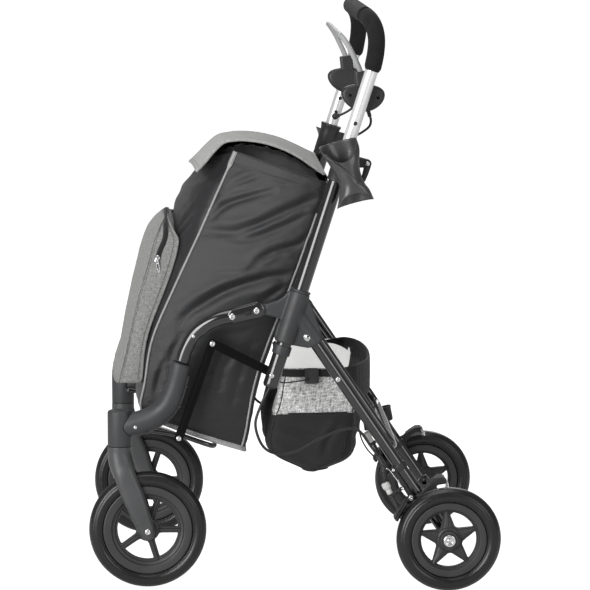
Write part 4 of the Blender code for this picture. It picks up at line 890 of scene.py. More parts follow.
edge_out = np.array([lid_n.reshape(-1, 3)[k] for k in border])
tube("lid_binding", edge_path[::1], 0.0027, PALE, "lid", 10, closed=True, shape=(1.0, 0.62), guide=edge_out)
batch = Batch()
inset = []
for seg in ((8, None), ):
    pass
r1, r2, c1, c2 = 3, LR - 4, 3, LC - 4
loop = [(r1, c) for c in range(c1, c2)] + [(r, c2) for r in range(r1, r2)] + [(r2, c) for c in range(c2, c1, -1)] + [(r, c1) for r in range(r2, r1, -1)]
path = np.array([lid_now[r, c] for r, c in loop])
nn = np.array([lid_n[r, c] for r, c in loop])
stitches(batch, path, nn, 0.0003, 0.0030, 0.0013, 0.0004)
batch.done("lid_stitching", TRIM, "lid", "pale_melange")

# fabric hinge between the bag's rear rim and the lid
hx = np.linspace(-0.186, 0.186, 96)
rim_row = bag_grid[-1]
rear_ids = np.where((rim_row[:, 1] > 0.045) & (np.abs(rim_row[:, 0]) < 0.206))[0]
rear_ids = rear_ids[np.argsort(rim_row[rear_ids, 0])]
rim_z = np.interp(hx, rim_row[rear_ids, 0], rim_row[rear_ids, 2])
rim_y = np.interp(hx, rim_row[rear_ids, 0], rim_row[rear_ids, 1])
one = np.ones_like(hx)
hinge_rows = np.array([
    np.stack([hx, rim_y + 0.0012, rim_z - 0.016], 1), np.stack([hx, rim_y + 0.0021, rim_z - 0.008], 1), np.stack([hx, rim_y + 0.0024, rim_z], 1),
    np.stack([hx, rim_y * 0.6 + 0.0565 * 0.4 + 0.0018, rim_z * 0.55 + 0.7005 * 0.45], 1), np.stack([hx, one * 0.0576, one * 0.6985], 1),
    np.stack([hx, one * 0.0556, one * 0.7006], 1), np.stack([hx, one * 0.0522, one * 0.7022], 1), np.stack([hx, one * 0.0480, one * 0.7046], 1), np.stack([hx, one * 0.0430, one * 0.7064], 1)])
flat_rows = hinge_rows.reshape(len(hinge_rows), -1)
hinge = spline(flat_rows, np.linspace(0, len(hinge_rows) - 1, 34)).reshape(34, len(hx), 3)
hinge[..., 1] += 0.0010 * bumps(hinge, (40, 10, 30), 2.6) * (hinge[..., 2] < 0.700)
hinge_n = grid_normals(hinge)
hinge_o = sheet_grid("lid_fabric_hinge", hinge, NYLON, None, flip=bool(hinge_n[6, 48, 1] < 0), thick=0.0010)
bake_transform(hinge_o)

# ------------------------------------------------------------------ gathered cover inside the bag's mouth
LN, LG = 44, 264
ang = np.linspace(0, 2 * np.pi, LG, endpoint=False)
idx = np.linspace(0, cols, LG, endpoint=False)
rim_in = np.stack([np.interp(idx, np.arange(cols + 1), np.append(bag_grid[-4][:, k], bag_grid[-4][0, k])) for k in range(3)], 1)
rim_o = np.stack([np.interp(idx, np.arange(cols + 1), np.append(bag_out[-4][:, k], bag_out[-4][0, k])) for k in range(3)], 1)
rim_in = rim_in - rim_o * 0.0046
hub_c = np.array([0.0, -0.045, 0.0])
ceiling_y = [-0.200, -0.150, -0.120, -0.0882, -0.0552, -0.0289, -0.0113, 0.0107, 0.0250, 0.0400, 0.0600]
ceiling_z = [0.680, 0.707, 0.7370, 0.7490, 0.7452, 0.7396, 0.7326, 0.7200, 0.7105, 0.6985, 0.6860]


def cover_height(x, y):
    z = np.interp(y, ceiling_y, ceiling_z)
    d = np.interp(-y, [-0.06, -0.033, -0.0127, 0.015, 0.048, 0.08, 0.12, 0.17], [0, 0.004, 0.008, 0.011, 0.014, 0.0155, 0.017, 0.0145])
    return z - d * (1 - x / 0.18) / 2


rows = []
for k in range(LN):
    w = k / (LN - 1)
    q = w ** 0.85 * 0.90
    p = rim_in + (hub_c - rim_in) * q
    target = cover_height(p[:, 0], p[:, 1]) + 0.005 - 0.022 * smoothstep(w, 0.50, 1.0)
    rise = smoothstep(w, 0.0, 0.13)
    p[:, 2] = rim_in[:, 2] * (1 - rise) + target * rise - 0.006 * (1 - rise) * smoothstep(w, 0, 0.02) * 0
    pleat = np.sin(ang * 23 + 1.3 * np.sin(ang * 3) + 2.0 * w) * 0.62 + np.sin(ang * 37 + 2.2 * np.cos(ang * 2)) * 0.38
    amp = 0.0052 * smoothstep(w, 0.03, 0.30) * (1 - 0.35 * smoothstep(w, 0.75, 1.0))
    p[:, 2] += amp * (pleat - 0.75)
    soft = np.array([noise.noise(Vector((float(a) * 22, float(b) * 22, 6.0 + w))) for a, b in p[:, :2]])
    p[:, 2] -= 0.005 * np.abs(soft) * smoothstep(w, 0.05, 0.25)
    swirl = 0.0035 * np.cos(ang * 23 + 1.3 * np.sin(ang * 3) + 2.0 * w) * smoothstep(w, 0.1, 0.5)
    p[:, 0] += -np.sin(ang) * swirl
    p[:, 1] += np.cos(ang) * swirl
    rows.append(p)
cover = np.array(rows)
cover = np.concatenate([(rim_in - np.array([0, 0, 0.012]))[None], cover], 0)
nrm = grid_normals(cover, True)
cover_o = sheet_grid("bag_mouth_cover", cover, LINER, "frame", wrap=True, flip=bool(nrm[LN // 2, :, 2].mean() < 0), thick=0.0010)
mouth = cover[-1]
cord_path = mouth * np.array([1, 1, 1]) + np.array([0, 0, 0.0012])
tube("cover_drawstring", cord_path[::3], 0.0017, CABLE, "frame", 8, closed=True)

# ------------------------------------------------------------------ front pocket
def at_height(points, z):
    """Y on a measured line at height z."""
    pts = np.asarray(sorted(points, key=lambda p: p[1]))
    return np.interp(z, pts[:, 1], pts[:, 0])


P_FRONT = [(-.3124, .3440), (-.2959, .3885), (-.2862, .4446), (-.2720, .5060), (-.2620, .5500), (-.2500, .5900), (-.2370, .6120), (-.2250, .6200)]
P_SEAM = [(-.3000, .3440), (-.2881, .3905), (-.2763, .4437), (-.2634, .4969), (-.2470, .5520), (-.2380, .5840), (-.2270, .6080), (-.2190, .6170)]
P_REAR = [(-.2586, .3431), (-.2469, .3871), (-.2328, .4426), (-.2166, .4841), (-.2027, .5232), (-.1911, .5600), (-.1890, .5740), (-.1920, .5830), (-.2060, .6050), (-.2130, .6160)]
P_HALF = [(.1700, .3440), (.1690, .3720), (.1665, .4290), (.1630, .4860), (.1590, .5360), (.1540, .5620), (.1455, .5820), (.1310, .5990), (.1060, .6110), (.0700, .6180), (.0400, .6205)]
PR = 84
GN, FN, KN = 13, 54, 30  # gusset, front and back columns
fz = np.concatenate([0.3440 + 0.2450 * np.linspace(0, 1, 62), 0.5890 + 0.0310 * np.sin(np.linspace(0, 1, PR - 62 + 1)[1:] * math.pi / 2)])
table_v = np.linspace(0, 1, 240)


def bag_at(x, z):
    """Y of the bag's front panel at X and Z."""
    x = np.atleast_1d(x)
    y = np.empty(len(x))
    for k, (a, b) in enumerate(zip(x, np.broadcast_to(z, x.shape))):
        yy, zz = bag_front(table_v, np.full(240, min(abs(a), 0.171)))
        y[k] = np.interp(b, zz, yy)
    return y


rows = []
for z in fz:
    hw = np.interp(z, [q[1] for q in P_HALF], [q[0] for q in P_HALF])
    hs = hw - 0.0055
    ym, ys, yr = at_height(P_FRONT, z) + 0.0015, at_height(P_SEAM, z) + 0.0010, at_height(P_REAR, z)
    xb = np.linspace(-hw, hw, KN)
    yb = bag_at(xb, z) - 0.0028
    yb = np.minimum(yb, yr + (yb[KN // 2] - yr) * 0 + 0.0400)
    yb[0] = yb[-1] = min(yb[0], yr)
    yb[1:3] = np.minimum(yb[1:3], yb[3] * 0.5 + yr * 0.5)
    yb[-3:-1] = yb[1:3][::-1]
    back = np.stack([xb, yb, np.full(KN, z)], 1)
    q = np.linspace(0, 1, GN + 2)[1:-1]
    y0 = yb[-1]
    gl = np.stack([hw + (hs - hw) * q + 0.0020 * np.sin(np.pi * q), y0 + (ys - y0) * q, np.full(GN, z)], 1)
    phi = np.linspace(0, np.pi, FN)
    x = hs * np.cos(phi)
    crown = np.sin(phi) ** 0.9
    fr = np.stack([x, ys + (ym - ys) * crown, np.full(FN, z)], 1)
    gr = gl[::-1] * np.array([-1, 1, 1])
    rows.append(np.concatenate([back, gl, fr, gr]))
pocket = np.array(rows)
PC = pocket.shape[1]
# the bottom and the top close over rounded edges
def close(ring, centre, steps):
    return [ring + (centre - ring) * k + np.array([0, 0, lift]) for k, lift in steps]


bottom = close(pocket[0], pocket[0].mean(0), ((0.985, -0.0030), (0.80, -0.0034), (0.55, -0.0034), (0.30, -0.0034), (0.12, -0.0030), (0.03, -0.0016)))
top = close(pocket[-1], pocket[-1].mean(0), ((0.10, 0.0008), (0.45, 0.0014), (0.97, 0.0018)))
pocket_all = np.array(bottom + list(pocket) + top)
BN = len(bottom)
seam_l, seam_r = KN + GN, KN + GN + FN - 1
rear_l, rear_r = KN - 1, 0
rough = pocket_all.copy()
pn = grid_normals(pocket_all, True)
if np.sum((pocket_all - pocket_all.mean(1, keepdims=True)) * pn) < 0:
    pn = -pn
is_front_col = np.zeros(PC, bool)
is_front_col[seam_l + 1:seam_r] = True
is_side = np.zeros(PC, bool)
is_side[KN:seam_l] = True
is_side[seam_r + 1:] = True
ruffle = 0.0011 * bumps(pocket_all, (26, 26, 16), 2.9) + 0.0005 * bumps(pocket_all, (80, 80, 60), 6.1)
# fine puckers where the panel meets its seam
colpos = np.arange(PC)
near = np.exp(-((colpos - seam_l) / 4.0) ** 2) + np.exp(-((colpos - seam_r) / 4.0) ** 2)
pucker = 0.0007 * np.sin(pocket_all[..., 2] * 2 * np.pi / 0.021 + 2.5 * bumps(pocket_all, (8, 8, 20), 1.7)) * near[None]
pocket_all = pocket_all + pn * (np.where(is_front_col | is_side, ruffle, 0) + pucker)[..., None]
faces = [tuple(f) for f in grid_faces(len(pocket_all), PC, True)]
uvs = list(map(tuple, grid_uv(pocket_all, True)))
for ring, order in ((0, -1), (len(pocket_all) - 1, 1)):
    faces.append(tuple([ring * PC + k for k in range(PC)][::order]))
    uvs += [(0.0, 0.0)] * PC
n = grid_normals(pocket_all, True)
if np.sum((pocket_all[20:60] - pocket_all[20:60].mean(1, keepdims=True)) * n[20:60]) < 0:
    faces = [f[::-1] for f in faces]
    uvs2 = []
    k = 0
    for f in faces:
        uvs2 += uvs[k:k + len(f)][::-1]
        k += len(f)
    uvs = uvs2
pocket_o = build("front_pocket_pad", pocket_all.reshape(-1, 3), faces, MELANGE, None, uvs, True)
held = []
for r in range(len(pocket_all)):
    held += [r * PC + c for c in range(KN)]
    held += [r * PC + seam_l, r * PC + seam_r]
held += [r * PC + c for r in (BN, len(pocket_all) - 1, len(pocket_all) - 2) for c in range(PC)]
puff(pocket_o, 0.0050, 4.0, pinned=sorted(set(held)))
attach(pocket_o, "frame")
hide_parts("front_pocket")
now = points_of(pocket_o, len(pocket_all), PC)
pn = grid_normals(now, True)
if np.sum((now - now.mean(1, keepdims=True)) * pn) < 0:
    pn = -pn
body_rows = np.arange(BN, BN + PR)


def on_pocket(r, c, lift=0.0):
    """A point of the pocket's surface at fractional row r and column c."""
    r, c = np.asarray(r, float), np.asarray(c, float)
    i, j = np.minimum(r.astype(int), len(now) - 2), c.astype(int) % PC
    fr, fc = (r - i)[..., None], (c - np.floor(c))[..., None]
    j2 = (j + 1) % PC
    mix = lambda A: (A[i, j] * (1 - fr) + A[i + 1, j] * fr) * (1 - fc) + (A[i, j2] * (1 - fr) + A[i + 1, j2] * fr) * fc
    nn = mix(pn)
    nn /= np.maximum(np.linalg.norm(nn, axis=-1, keepdims=True), 1e-9)
    return mix(now) + nn * lift, nn


# piped seams round the front panel, over the top from one side to the other
last = BN + PR - 2
left_r = np.arange(BN, last + 1)
over_c = np.linspace(seam_l, seam_r, 26)[1:-1]
rr = np.concatenate([left_r, np.full(len(over_c), last), left_r[::-1]])
cc = np.concatenate([np.full(len(left_r), seam_l), over_c, np.full(len(left_r), seam_r)])
p, nn = on_pocket(rr, cc, 0.0003)
p = even_path(p[::2], 0.004)
tube("pocket_seam_piping", p, 0.0015, MELANGE, "frame", 8)
low_r = np.full(40, BN + 0.4)
p, nn = on_pocket(low_r, np.linspace(seam_l, seam_r, 40), 0.0002)
tube("pocket_bottom_piping", p, 0.0014, MELANGE, "frame", 8)
# the flange that is sewn to the bag, and its stitches
flange = Batch()
thread = Batch()
for side, s in SIDES:
    c0 = KN - 0.6 if s > 0 else PC - 0.4
    step = 1 if s > 0 else -1
    r = np.arange(BN + 1, last + 1)
    p, nn = on_pocket(r, np.full(len(r), c0 % PC), 0.0)
    flange.sweep(even_path(p[::2], 0.004), 0.0021, 8)
    for d, lift in ((2.3, 0.0004),):
        p, nn = on_pocket(r, np.full(len(r), (c0 + step * d) % PC), 0.0002)
        stitches(thread, p, nn, lift, 0.0030, 0.0012, 0.00042)
    for k in (-1.2, 1.2):
        p, nn = on_pocket(r, np.full(len(r), (seam_l if s > 0 else seam_r) - step * (1.4 if k < 0 else 0.0) + (step * 0.0)), 0.0002)
        if k < 0:
            stitches(thread, p, nn, 0.0003, 0.0026, 0.0014, 0.00032)
flange.done("pocket_flange", MELANGE, "frame", "melange")
# the pocket's stitches are painted near-black: painted shade along the stitch lines
thread.done("pocket_stitching", SHADOW, "frame", "webbing")

# zip: tape, two rows of teeth and a stitched end tab
z0 = 0.5480
r_start = BN + np.interp(z0, fz, np.arange(PR))
r_top = last - 0.5
nz = 60
rz = np.linspace(r_start, r_top, nz)
share = np.interp(np.interp(rz - BN, np.arange(PR), fz), [0.548, 0.568, 0.586, 0.604, 0.619], [0.70, 0.67, 0.58, 0.50, 0.50])
left_c = KN - 1 + share * (GN + 1)
across_n = 50
top_left, top_right = left_c[-1], (PC - left_c[-1] + KN - 1)
# over the top the zip crosses just behind the front panel's upper edge
p_left, n_left = on_pocket(rz, left_c, 0.0006)
cl = np.linspace(0, 1, across_n)
pl = p_left[-1]
pr = p_left[-1] * np.array([-1, 1, 1])
over = pl + (pr - pl) * cl[:, None]
over[:, 2] = now[len(now) - 2, :, 2].max() + 0.0016 - 0.0012 * np.abs(2 * cl - 1) ** 3
p_right = p_left[::-1] * np.array([-1, 1, 1])
n_right = n_left[::-1] * np.array([-1, 1, 1])
zip_line = np.concatenate([p_left[:-2], over[2:-2], p_right[2:]])
zip_n = np.concatenate([n_left[:-2], np.tile([0, -0.1, 1.0], (across_n - 4, 1)), n_right[2:]])
run = np.concatenate([[0], np.cumsum(np.linalg.norm(np.diff(zip_line, axis=0), axis=1))])
uni = np.arange(0, run[-1], 0.0012)
zp = np.stack([np.interp(uni, run, zip_line[:, k]) for k in range(3)], 1)
zn = np.stack([np.interp(uni, run, zip_n[:, k]) for k in range(3)], 1)
for _ in range(6):
    zp[1:-1] = (zp[:-2] + zp[1:-1] * 2 + zp[2:]) / 4
    zn[1:-1] = (zn[:-2] + zn[1:-1] * 2 + zn[2:]) / 4
zn /= np.linalg.norm(zn, axis=1, keepdims=True)
zt = np.gradient(zp, axis=0)
zt /= np.linalg.norm(zt, axis=1, keepdims=True)
za = np.cross(zt, zn)
za /= np.linalg.norm(za, axis=1, keepdims=True)
tape = np.stack([zp[::3] + za[::3] * w + zn[::3] * (0.0006 - 0.0006 * abs(w) / 0.0042) for w in (-0.0044, -0.0022, -0.0008, 0.0008, 0.0022, 0.0044)], 1)
tn = grid_normals(tape)
sheet_grid("zip_tape", tape, WEBBING, "frame", flip=bool(np.sum(tn * zn[::3][:, None]) < 0), thick=0.0007, offset=0.0)
teeth = Batch()
for k in range(0, len(zp) - 1):
    s = 1 if k % 2 else -1
    a = zp[k] + zn[k] * 0.0012 + za[k] * s * 0.0003
    b2 = a + za[k] * s * 0.0013 - zn[k] * 0.0001
    teeth.sweep(np.array([a, (a + b2) / 2, b2]), [0.00050, 0.00058, 0.00046], 5)
teeth.done("zip_teeth", DARK_PLASTIC, "frame", "webbing")
tab = Batch()
for side, s in SIDES:
    c = zp[0] * np.array([s, 1, 1]) if s > 0 else zp[-1]
    nn_ = zn[0] if s > 0 else zn[-1]
    d = np.array([0, 0.10, -1.0]) / np.linalg.norm([0, 0.10, -1.0])
    side_v = np.cross(d, nn_)
    side_v /= np.linalg.norm(side_v)
    ring = []
    for u in np.linspace(-0.002, 0.012, 6):
        ring.append([c + d * u + side_v * w + nn_ * (0.0016 - 0.0009 * (abs(w) / 0.006) ** 2) for w in np.linspace(-0.0062, 0.0062, 7)])
    P = np.array(ring)
    tab.add(P.reshape(-1, 3), [tuple(f) for f in grid_faces(6, 7)], list(map(tuple, grid_uv(P))))
tab_o = tab.done("zip_end_tabs", MELANGE, "frame", "melange")
m = tab_o.modifiers.new("thickness", "SOLIDIFY")
m.thickness = 0.0012
m.offset = -1

# slider and puller
slider_at = Vector((0.1605, -0.2285, 0.5515))
k0 = int(np.argmin(np.linalg.norm(zp - np.array(slider_at) , axis=1)))
c, d, nn_ = zp[6], zt[6], zn[6]
side_v = za[6]
sl = Batch()
lift = 0.0012


def plate_between(batch, centre, along, across, up, outline, t):
    """A small plate with rounded edges from an outline of (along, across)."""
    ol = np.array(outline, float)
    mid = ol.mean(0)
    rings = []
    for k, h in ((0.90, 0.0), (1.0, 0.22), (1.0, 0.78), (0.88, 1.0)):
        q = mid + (ol - mid) * k
        rings.append([centre + along * a + across * b + up * (t * h) for a, b in q])
    P = np.array(rings)
    n = len(ol)
    faces = [tuple(f) for f in grid_faces(4, n, True)]
    faces += [tuple(range(n))[::-1], tuple(3 * n + k for k in range(n))]
    batch.add(P.reshape(-1, 3), faces)


body_o = [(-0.0062, -0.0026), (-0.0060, 0.0026), (-0.0020, 0.0040), (0.0034, 0.0042), (0.0060, 0.0022), (0.0062, -0.0022), (0.0034, -0.0042), (-0.0020, -0.0040)]
plate_between(sl, c + nn_ * lift, d, side_v, nn_, body_o, 0.0024)
bridge = np.array([c + nn_ * (lift + 0.0022) + d * a + nn_ * h for a, h in ((-0.0042, 0.0), (-0.0036, 0.0016), (-0.0010, 0.0024), (0.0020, 0.0022), (0.0040, 0.0))])
sl.sweep(even_path(bridge, 0.0008), 0.0009, 8)
down = np.array([0.0, 0.16, -0.985])
hang = c + nn_ * (lift + 0.0036) - d * 0.0004
ring_pts = []
w, L = 0.0032, 0.0235
for a in np.linspace(0, 2 * np.pi, 40, endpoint=False):
    x_, y_ = math.cos(a), math.sin(a)
    ring_pts.append(hang + down * (L / 2 + y_ * L / 2) + side_v * (w * x_ * (0.75 + 0.25 * y_)) + nn_ * (0.0006 * (1 - y_)))
sl.sweep(np.array(ring_pts), 0.00095, 8, closed=True)
bar_pts = np.array([hang + down * 0.0085 + side_v * k for k in (-0.0028, 0, 0.0028)])
sl.sweep(bar_pts, 0.0008, 8)
slider = sl.done("zip_slider_and_puller", CHROME, "zip", "chrome")
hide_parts("zip_slider")

# ------------------------------------------------------------------ rear basket
BASKET = (  # front Y, front Z, rear Y, rear Z, half width, rear bulge, front bulge
    (0.0220, 0.1825, 0.0580, 0.1845, 0.146, 0.003, -0.001),
    (-0.0320, 0.2130, 0.0990, 0.2100, 0.160, 0.007, -0.003),
    (-0.0450, 0.2430, 0.1060, 0.2500, 0.166, 0.014, -0.003),
    (-0.0300, 0.3080, 0.1090, 0.3080, 0.170, 0.021, 0.000),
    (-0.0200, 0.3560, 0.1120, 0.3560, 0.170, 0.026, 0.002),
    (-0.0195, 0.3672, 0.1125, 0.3672, 0.1705, 0.026, 0.002),
)
BC = 232


def basket_ring(row):
    """One ring of the basket, evenly spaced, starting at the middle of the front."""
    fy, fz_, ry, rz_, w, rear, front = row
    h = [(0.0, fy + front, fz_), (w * 0.5, fy + front * 0.6, fz_), (w * 0.90, fy, fz_), (w, fy + 0.012, fz_ + (rz_ - fz_) * 0.1)]
    h += [(w + 0.002, (fy + ry) / 2, (fz_ + rz_) / 2), (w, ry - 0.014, rz_), (w * 0.91, ry, rz_)]
    h += [(w * 0.72, ry + rear * 0.50, rz_), (w * 0.45, ry + rear * 0.84, rz_), (0.0, ry + rear, rz_)]
    pts = np.array(h + [(-x, y, z) for x, y, z in reversed(h[1:-1])])
    n = len(pts)
    wide = np.concatenate([pts[-2:], pts, pts[:3]])
    dense = spline(wide, np.linspace(2, n + 2, n * 24 + 1))
    run = np.concatenate([[0], np.cumsum(np.linalg.norm(np.diff(dense, axis=0), axis=1))])
    at = np.linspace(0, run[-1], BC + 1)[:-1]
    return np.stack([np.interp(at, run, dense[:, k]) for k in range(3)], 1)


BR = 86
basket_rows = spline(BASKET, np.linspace(0, len(BASKET) - 1, BR))
basket = np.array([basket_ring(r) for r in basket_rows])
bn = grid_normals(basket, True)
if np.sum((basket - basket.mean(1, keepdims=True)) * bn) < 0:
    bn = -bn
X, Y, Z = basket[..., 0], basket[..., 1], basket[..., 2]
loose = smoothstep(Z, 0.352, 0.320) * smoothstep(Z, 0.186, 0.200)
end_lines = [
    ([(-.020, .262), (.020, .250), (.050, .246)], 0.0030, 0.0060),
    ([(.080, .270), (.060, .240), (.052, .212)], 0.0034, 0.0060),
    ([(-.020, .236), (.014, .214), (.030, .200)], 0.0026, 0.0060),
    ([(.098, .330), (.070, .318), (.036, .314)], 0.0018, 0.0070),
    ([(-.028, .300), (.000, .296), (.030, .300)], 0.0018, 0.0060),
]
long_lines = [
    ([(-.150, .320), (-.060, .296), (.030, .300)], 0.0036, 0.0100),
    ([(.160, .330), (.080, .304), (.010, .282)], 0.0036, 0.0100),
    ([(-.140, .260), (-.050, .240), (.060, .246)], 0.0034, 0.0100),
    ([(.150, .250), (.070, .228), (.010, .222)], 0.0030, 0.0090),
    ([(-.155, .296), (-.130, .250), (-.120, .214)], 0.0030, 0.0080),
    ([(.155, .300), (.136, .256), (.118, .216)], 0.0030, 0.0080),
]
ends = np.abs(X) > 0.150
slack = np.where(ends, strokes(Y, Z, end_lines), strokes(X, Z, long_lines))
slack += 0.0020 * bumps(basket, (16, 16, 22), 7.7) + 0.0007 * bumps(basket, (60, 60, 60), 3.3)
# close gathers under the band, strongest round the rear
turn = np.arange(BC)[None] * 2 * np.pi / BC
gather = 0.0007 * np.sin(turn * 58 + 2 * np.sin(turn * 5)) * smoothstep(Z, 0.325, 0.346) * (0.35 + 0.65 * smoothstep(Y, 0.07, 0.11))
# where the cross tube passes under the front, and the bag behind, the cloth stays on its line
slack = np.where((Y < 0.0) & (slack > 0) & ~ends, slack * 0.3, slack)
basket = basket + bn * (slack * loose + gather)[..., None]
line_z = np.interp(Y, [-0.0210, 0.0405, 0.0888], [0.2849, 0.2878, 0.2875])
pale_zone = (np.abs(X) > 0.140) & (Z > line_z)
floor_rows = []
base = basket[0]
mid = base.mean(0)
for k, lift in ((0.985, -0.0040), (0.80, -0.0040), (0.55, -0.0040), (0.30, -0.0036), (0.12, -0.0028), (0.03, -0.0012)):
    floor_rows.append(base + (mid - base) * k + np.array([0, 0, lift]))
floor_rows = np.array(floor_rows)
floor_rows[..., 2] += 0.0016 * bumps(floor_rows, (20, 20, 10), 9.1)
whole_b = np.concatenate([floor_rows, basket], 0)
n = grid_normals(whole_b, True)
flip = np.sum((whole_b[20:60] - whole_b[20:60].mean(1, keepdims=True)) * n[20:60]) < 0
zone = np.concatenate([np.zeros((len(floor_rows), BC), bool), pale_zone], 0)
idx = np.where(zone[:-1] & zone[1:], 2, 0).reshape(-1)
# the inner face of the speckled ends takes the glowing pale lining: painted light
basket_o = sheet_grid("basket_cloth", whole_b, NET, "frame", wrap=True, flip=bool(flip), thick=0.0013,
                      extra=(NET, SPECKLE, PALE_LINING_GLOW), inner=1, indices=idx)
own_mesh(basket_o)
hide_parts("rear_basket")

# seams: round the speckled ends, up the four corners and round the bottom
bn = grid_normals(basket, True)
if np.sum((basket - basket.mean(1, keepdims=True)) * bn) < 0:
    bn = -bn
seams = Batch()
thread = Batch()
for s in (1, -1):
    cols_in = [c for c in range(BC) if basket[BR // 2, c, 0] * s > 0.141]
    cols_in.sort(key=lambda c: basket[BR // 2, c, 1])
    line, face = [], []
    for c in cols_in:
        zline = np.interp(basket[:, c, 1], [-0.0210, 0.0405, 0.0888], [0.2849, 0.2878, 0.2875])
        r = int(np.argmin(np.abs(basket[:, c, 2] - zline)))
        line.append(basket[r, c] + bn[r, c] * 0.0004)
        face.append(bn[r, c])
    line, face = np.array(line), np.array(face)
    for _ in range(4):
        line[1:-1] = (line[:-2] + line[1:-1] * 2 + line[2:]) / 4
    seams.sweep(line, 0.0011, 8, shape=(0.7, 1.6), guide=face)
    stitches(thread, line + face * 0.0004 + np.array([0, 0, 0.0032]), face, 0.0003, 0.0028, 0.0014, 0.00034, 5)
    for target in (-0.012, 0.100):
        pts = []
        for r in range(2, BR - 8):
            ring = basket[r]
            lo, hi = ring[:, 1].min(), ring[:, 1].max()
            want = lo + 0.010 if target < 0 else hi - (0.026 if target > 0 else 0)
            pick = [c for c in range(BC) if ring[c, 0] * s > 0.60 * ring[:, 0].max()]
            c = min(pick, key=lambda c: abs(ring[c, 1] - want))
            pts.append(ring[c] + bn[r, c] * 0.0004)
        pts = np.array(pts)
        for _ in range(8):
            pts[1:-1] = (pts[:-2] + pts[1:-1] * 2 + pts[2:]) / 4
        seams.sweep(pts[::2], 0.0009, 8)
low = basket[1] + bn[1] * 0.0003
seams.sweep(low[::2], 0.0012, 8, closed=True)
o = seams.done("basket_seams", WEBBING, "frame", "mesh")
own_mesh(o)
o = thread.done("basket_stitching", NET, "frame", "mesh")
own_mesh(o)

# the stiff band: flat webbing folded over the edge, taller round the rear
top_ring = basket_ring(BASKET[4])
nn = grid_normals(np.stack([top_ring - np.array([0, 0, 0.01]), top_ring, top_ring + np.array([0, 0, 0.01])]), True)[1]
if np.sum((top_ring - top_ring.mean(0)) * nn) < 0:
    nn = -nn
low_z = 0.3522 - 0.0420 * smoothstep(top_ring[:, 1], 0.075, 0.135)
high_z = 0.3652 + 0.0070 * smoothstep(top_ring[:, 1], 0.060, 0.125)
ripple = 0.0005 * np.sin(np.arange(BC) * 2 * np.pi * 61 / BC) * smoothstep(top_ring[:, 1], 0.08, 0.12)
section = [(0.0006, 0.00), (0.0022, 0.0), (0.0031, 0.04), (0.0034, 0.10), (0.0036, 0.16), (0.0033, 0.20), (0.0036, 0.26), (0.0037, 0.5), (0.0036, 0.76),
           (0.0033, 0.80), (0.0036, 0.86), (0.0033, 0.95), (0.0024, 1.0), (0.0008, 1.02), (-0.0012, 1.0), (-0.0020, 0.93), (-0.0020, 0.55)]
P = []
for d, f in section:
    ring = top_ring + nn * (d + ripple[:, None] * (1 if 0.02 < f < 0.9 else 0.3))
    ring[:, 2] = low_z + (high_z - low_z) * f
    P.append(ring)
P = np.array(P)
pn = grid_normals(P, True)
band = sheet_grid("basket_band", P, WEBBING, "frame", wrap=True, flip=bool(np.sum((P[3:9] - P[3:9].mean(1, keepdims=True)) * pn[3:9]) < 0), thick=0.0008)
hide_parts("basket_rim")
# the loops that hang the basket from the frame
loops = Batch()
for s in (1, -1):
    c = np.array([0.1777 * s, 0.0320, 0.3545])
    P = []
    for k in np.linspace(0, 1, 7):
        ring = []
        grow = 1.0 - 0.10 * abs(2 * k - 1) ** 6
        for a in np.linspace(0, 2 * np.pi, 36, endpoint=False):
            e = 0.32
            x = math.copysign(abs(math.cos(a)) ** e, math.cos(a)) * 0.0048 * grow
            z = math.copysign(abs(math.sin(a)) ** e, math.sin(a)) * 0.0136 * grow
            ring.append(c + np.array([x * s, (k - 0.5) * 0.0235, z]))
        P.append(ring)
    P = np.array(P)
    loops.add(P.reshape(-1, 3), [tuple(f) for f in grid_faces(7, 36, True, flip=s < 0)], list(map(tuple, grid_uv(P, True, flip=s < 0))))
    for ring, order in ((0, -1), (6, 1)):
        ids = [ring * 36 + k for k in range(36)][::order * (1 if s > 0 else -1)]
        base_i = len(loops.verts) - 7 * 36
        loops.faces.append(tuple(base_i + i for i in ids))
        loops.uv += [(0.0, 0.0)] * 36
    for y in (-0.0088, 0.0088):
        line = np.array([c + np.array([0.0049 * s, y, z]) for z in np.linspace(-0.0110, 0.0110, 5)])
        stitches(loops, line, (s, 0, 0), 0.0003, 0.0022, 0.0012, 0.00036)
loops.done("basket_hanging_loops", LOOP, "frame", "webbing")
TAIL = [(0.2362, -0.0300, 0.3560), (0.2240, -0.0180, 0.3505), (0.2000, 0.0040, 0.3485), (0.1842, 0.0240, 0.3490), (0.1795, 0.0280, 0.3500)]


def line_length(p):
    return float(np.sum(np.linalg.norm(np.diff(np.asarray(p), axis=0), axis=1)))


for side, s in SIDES:
    p = even_path(np.array(TAIL) * np.array([s, 1, 1]), 0.0030)
    o = tube(f"basket_cord_{side}", p, 0.0012, CABLE, "frame", 10)
    line_length(p)

# ------------------------------------------------------------------ wheels
def rounded_outline(corners, r, n=7):
    out = []
    for i in range(len(corners)):
        p = np.array(corners[i], float)
        a, c = np.array(corners[i - 1]) - p, np.array(corners[(i + 1) % len(corners)]) - p
        la, lc = np.linalg.norm(a), np.linalg.norm(c)
        if np.degrees(np.arccos(np.clip(a @ c / (la * lc), -1, 1))) > 150:
            out.append(p)
            continue
        ra = min(r, la * 0.45, lc * 0.45)
        s, e = p + a / la * ra, p + c / lc * ra
        for k in range(n):
            t = k / (n - 1)
            out.append(s * (1 - t) ** 2 + p * 2 * t * (1 - t) + e * t * t)
    return np.array(out)


def grown(loop, d):
    """A closed 2-D outline moved outwards by d."""
    t = np.roll(loop, -1, 0) - np.roll(loop, 1, 0)
    t /= np.maximum(np.linalg.norm(t, axis=1, keepdims=True), 1e-12)
    n = np.stack([t[:, 1], -t[:, 0]], 1)
    area = np.sum(loop[:, 0] * np.roll(loop[:, 1], -1) - loop[:, 1] * np.roll(loop[:, 0], -1))
    return loop + n * d * (1 if area > 0 else -1)


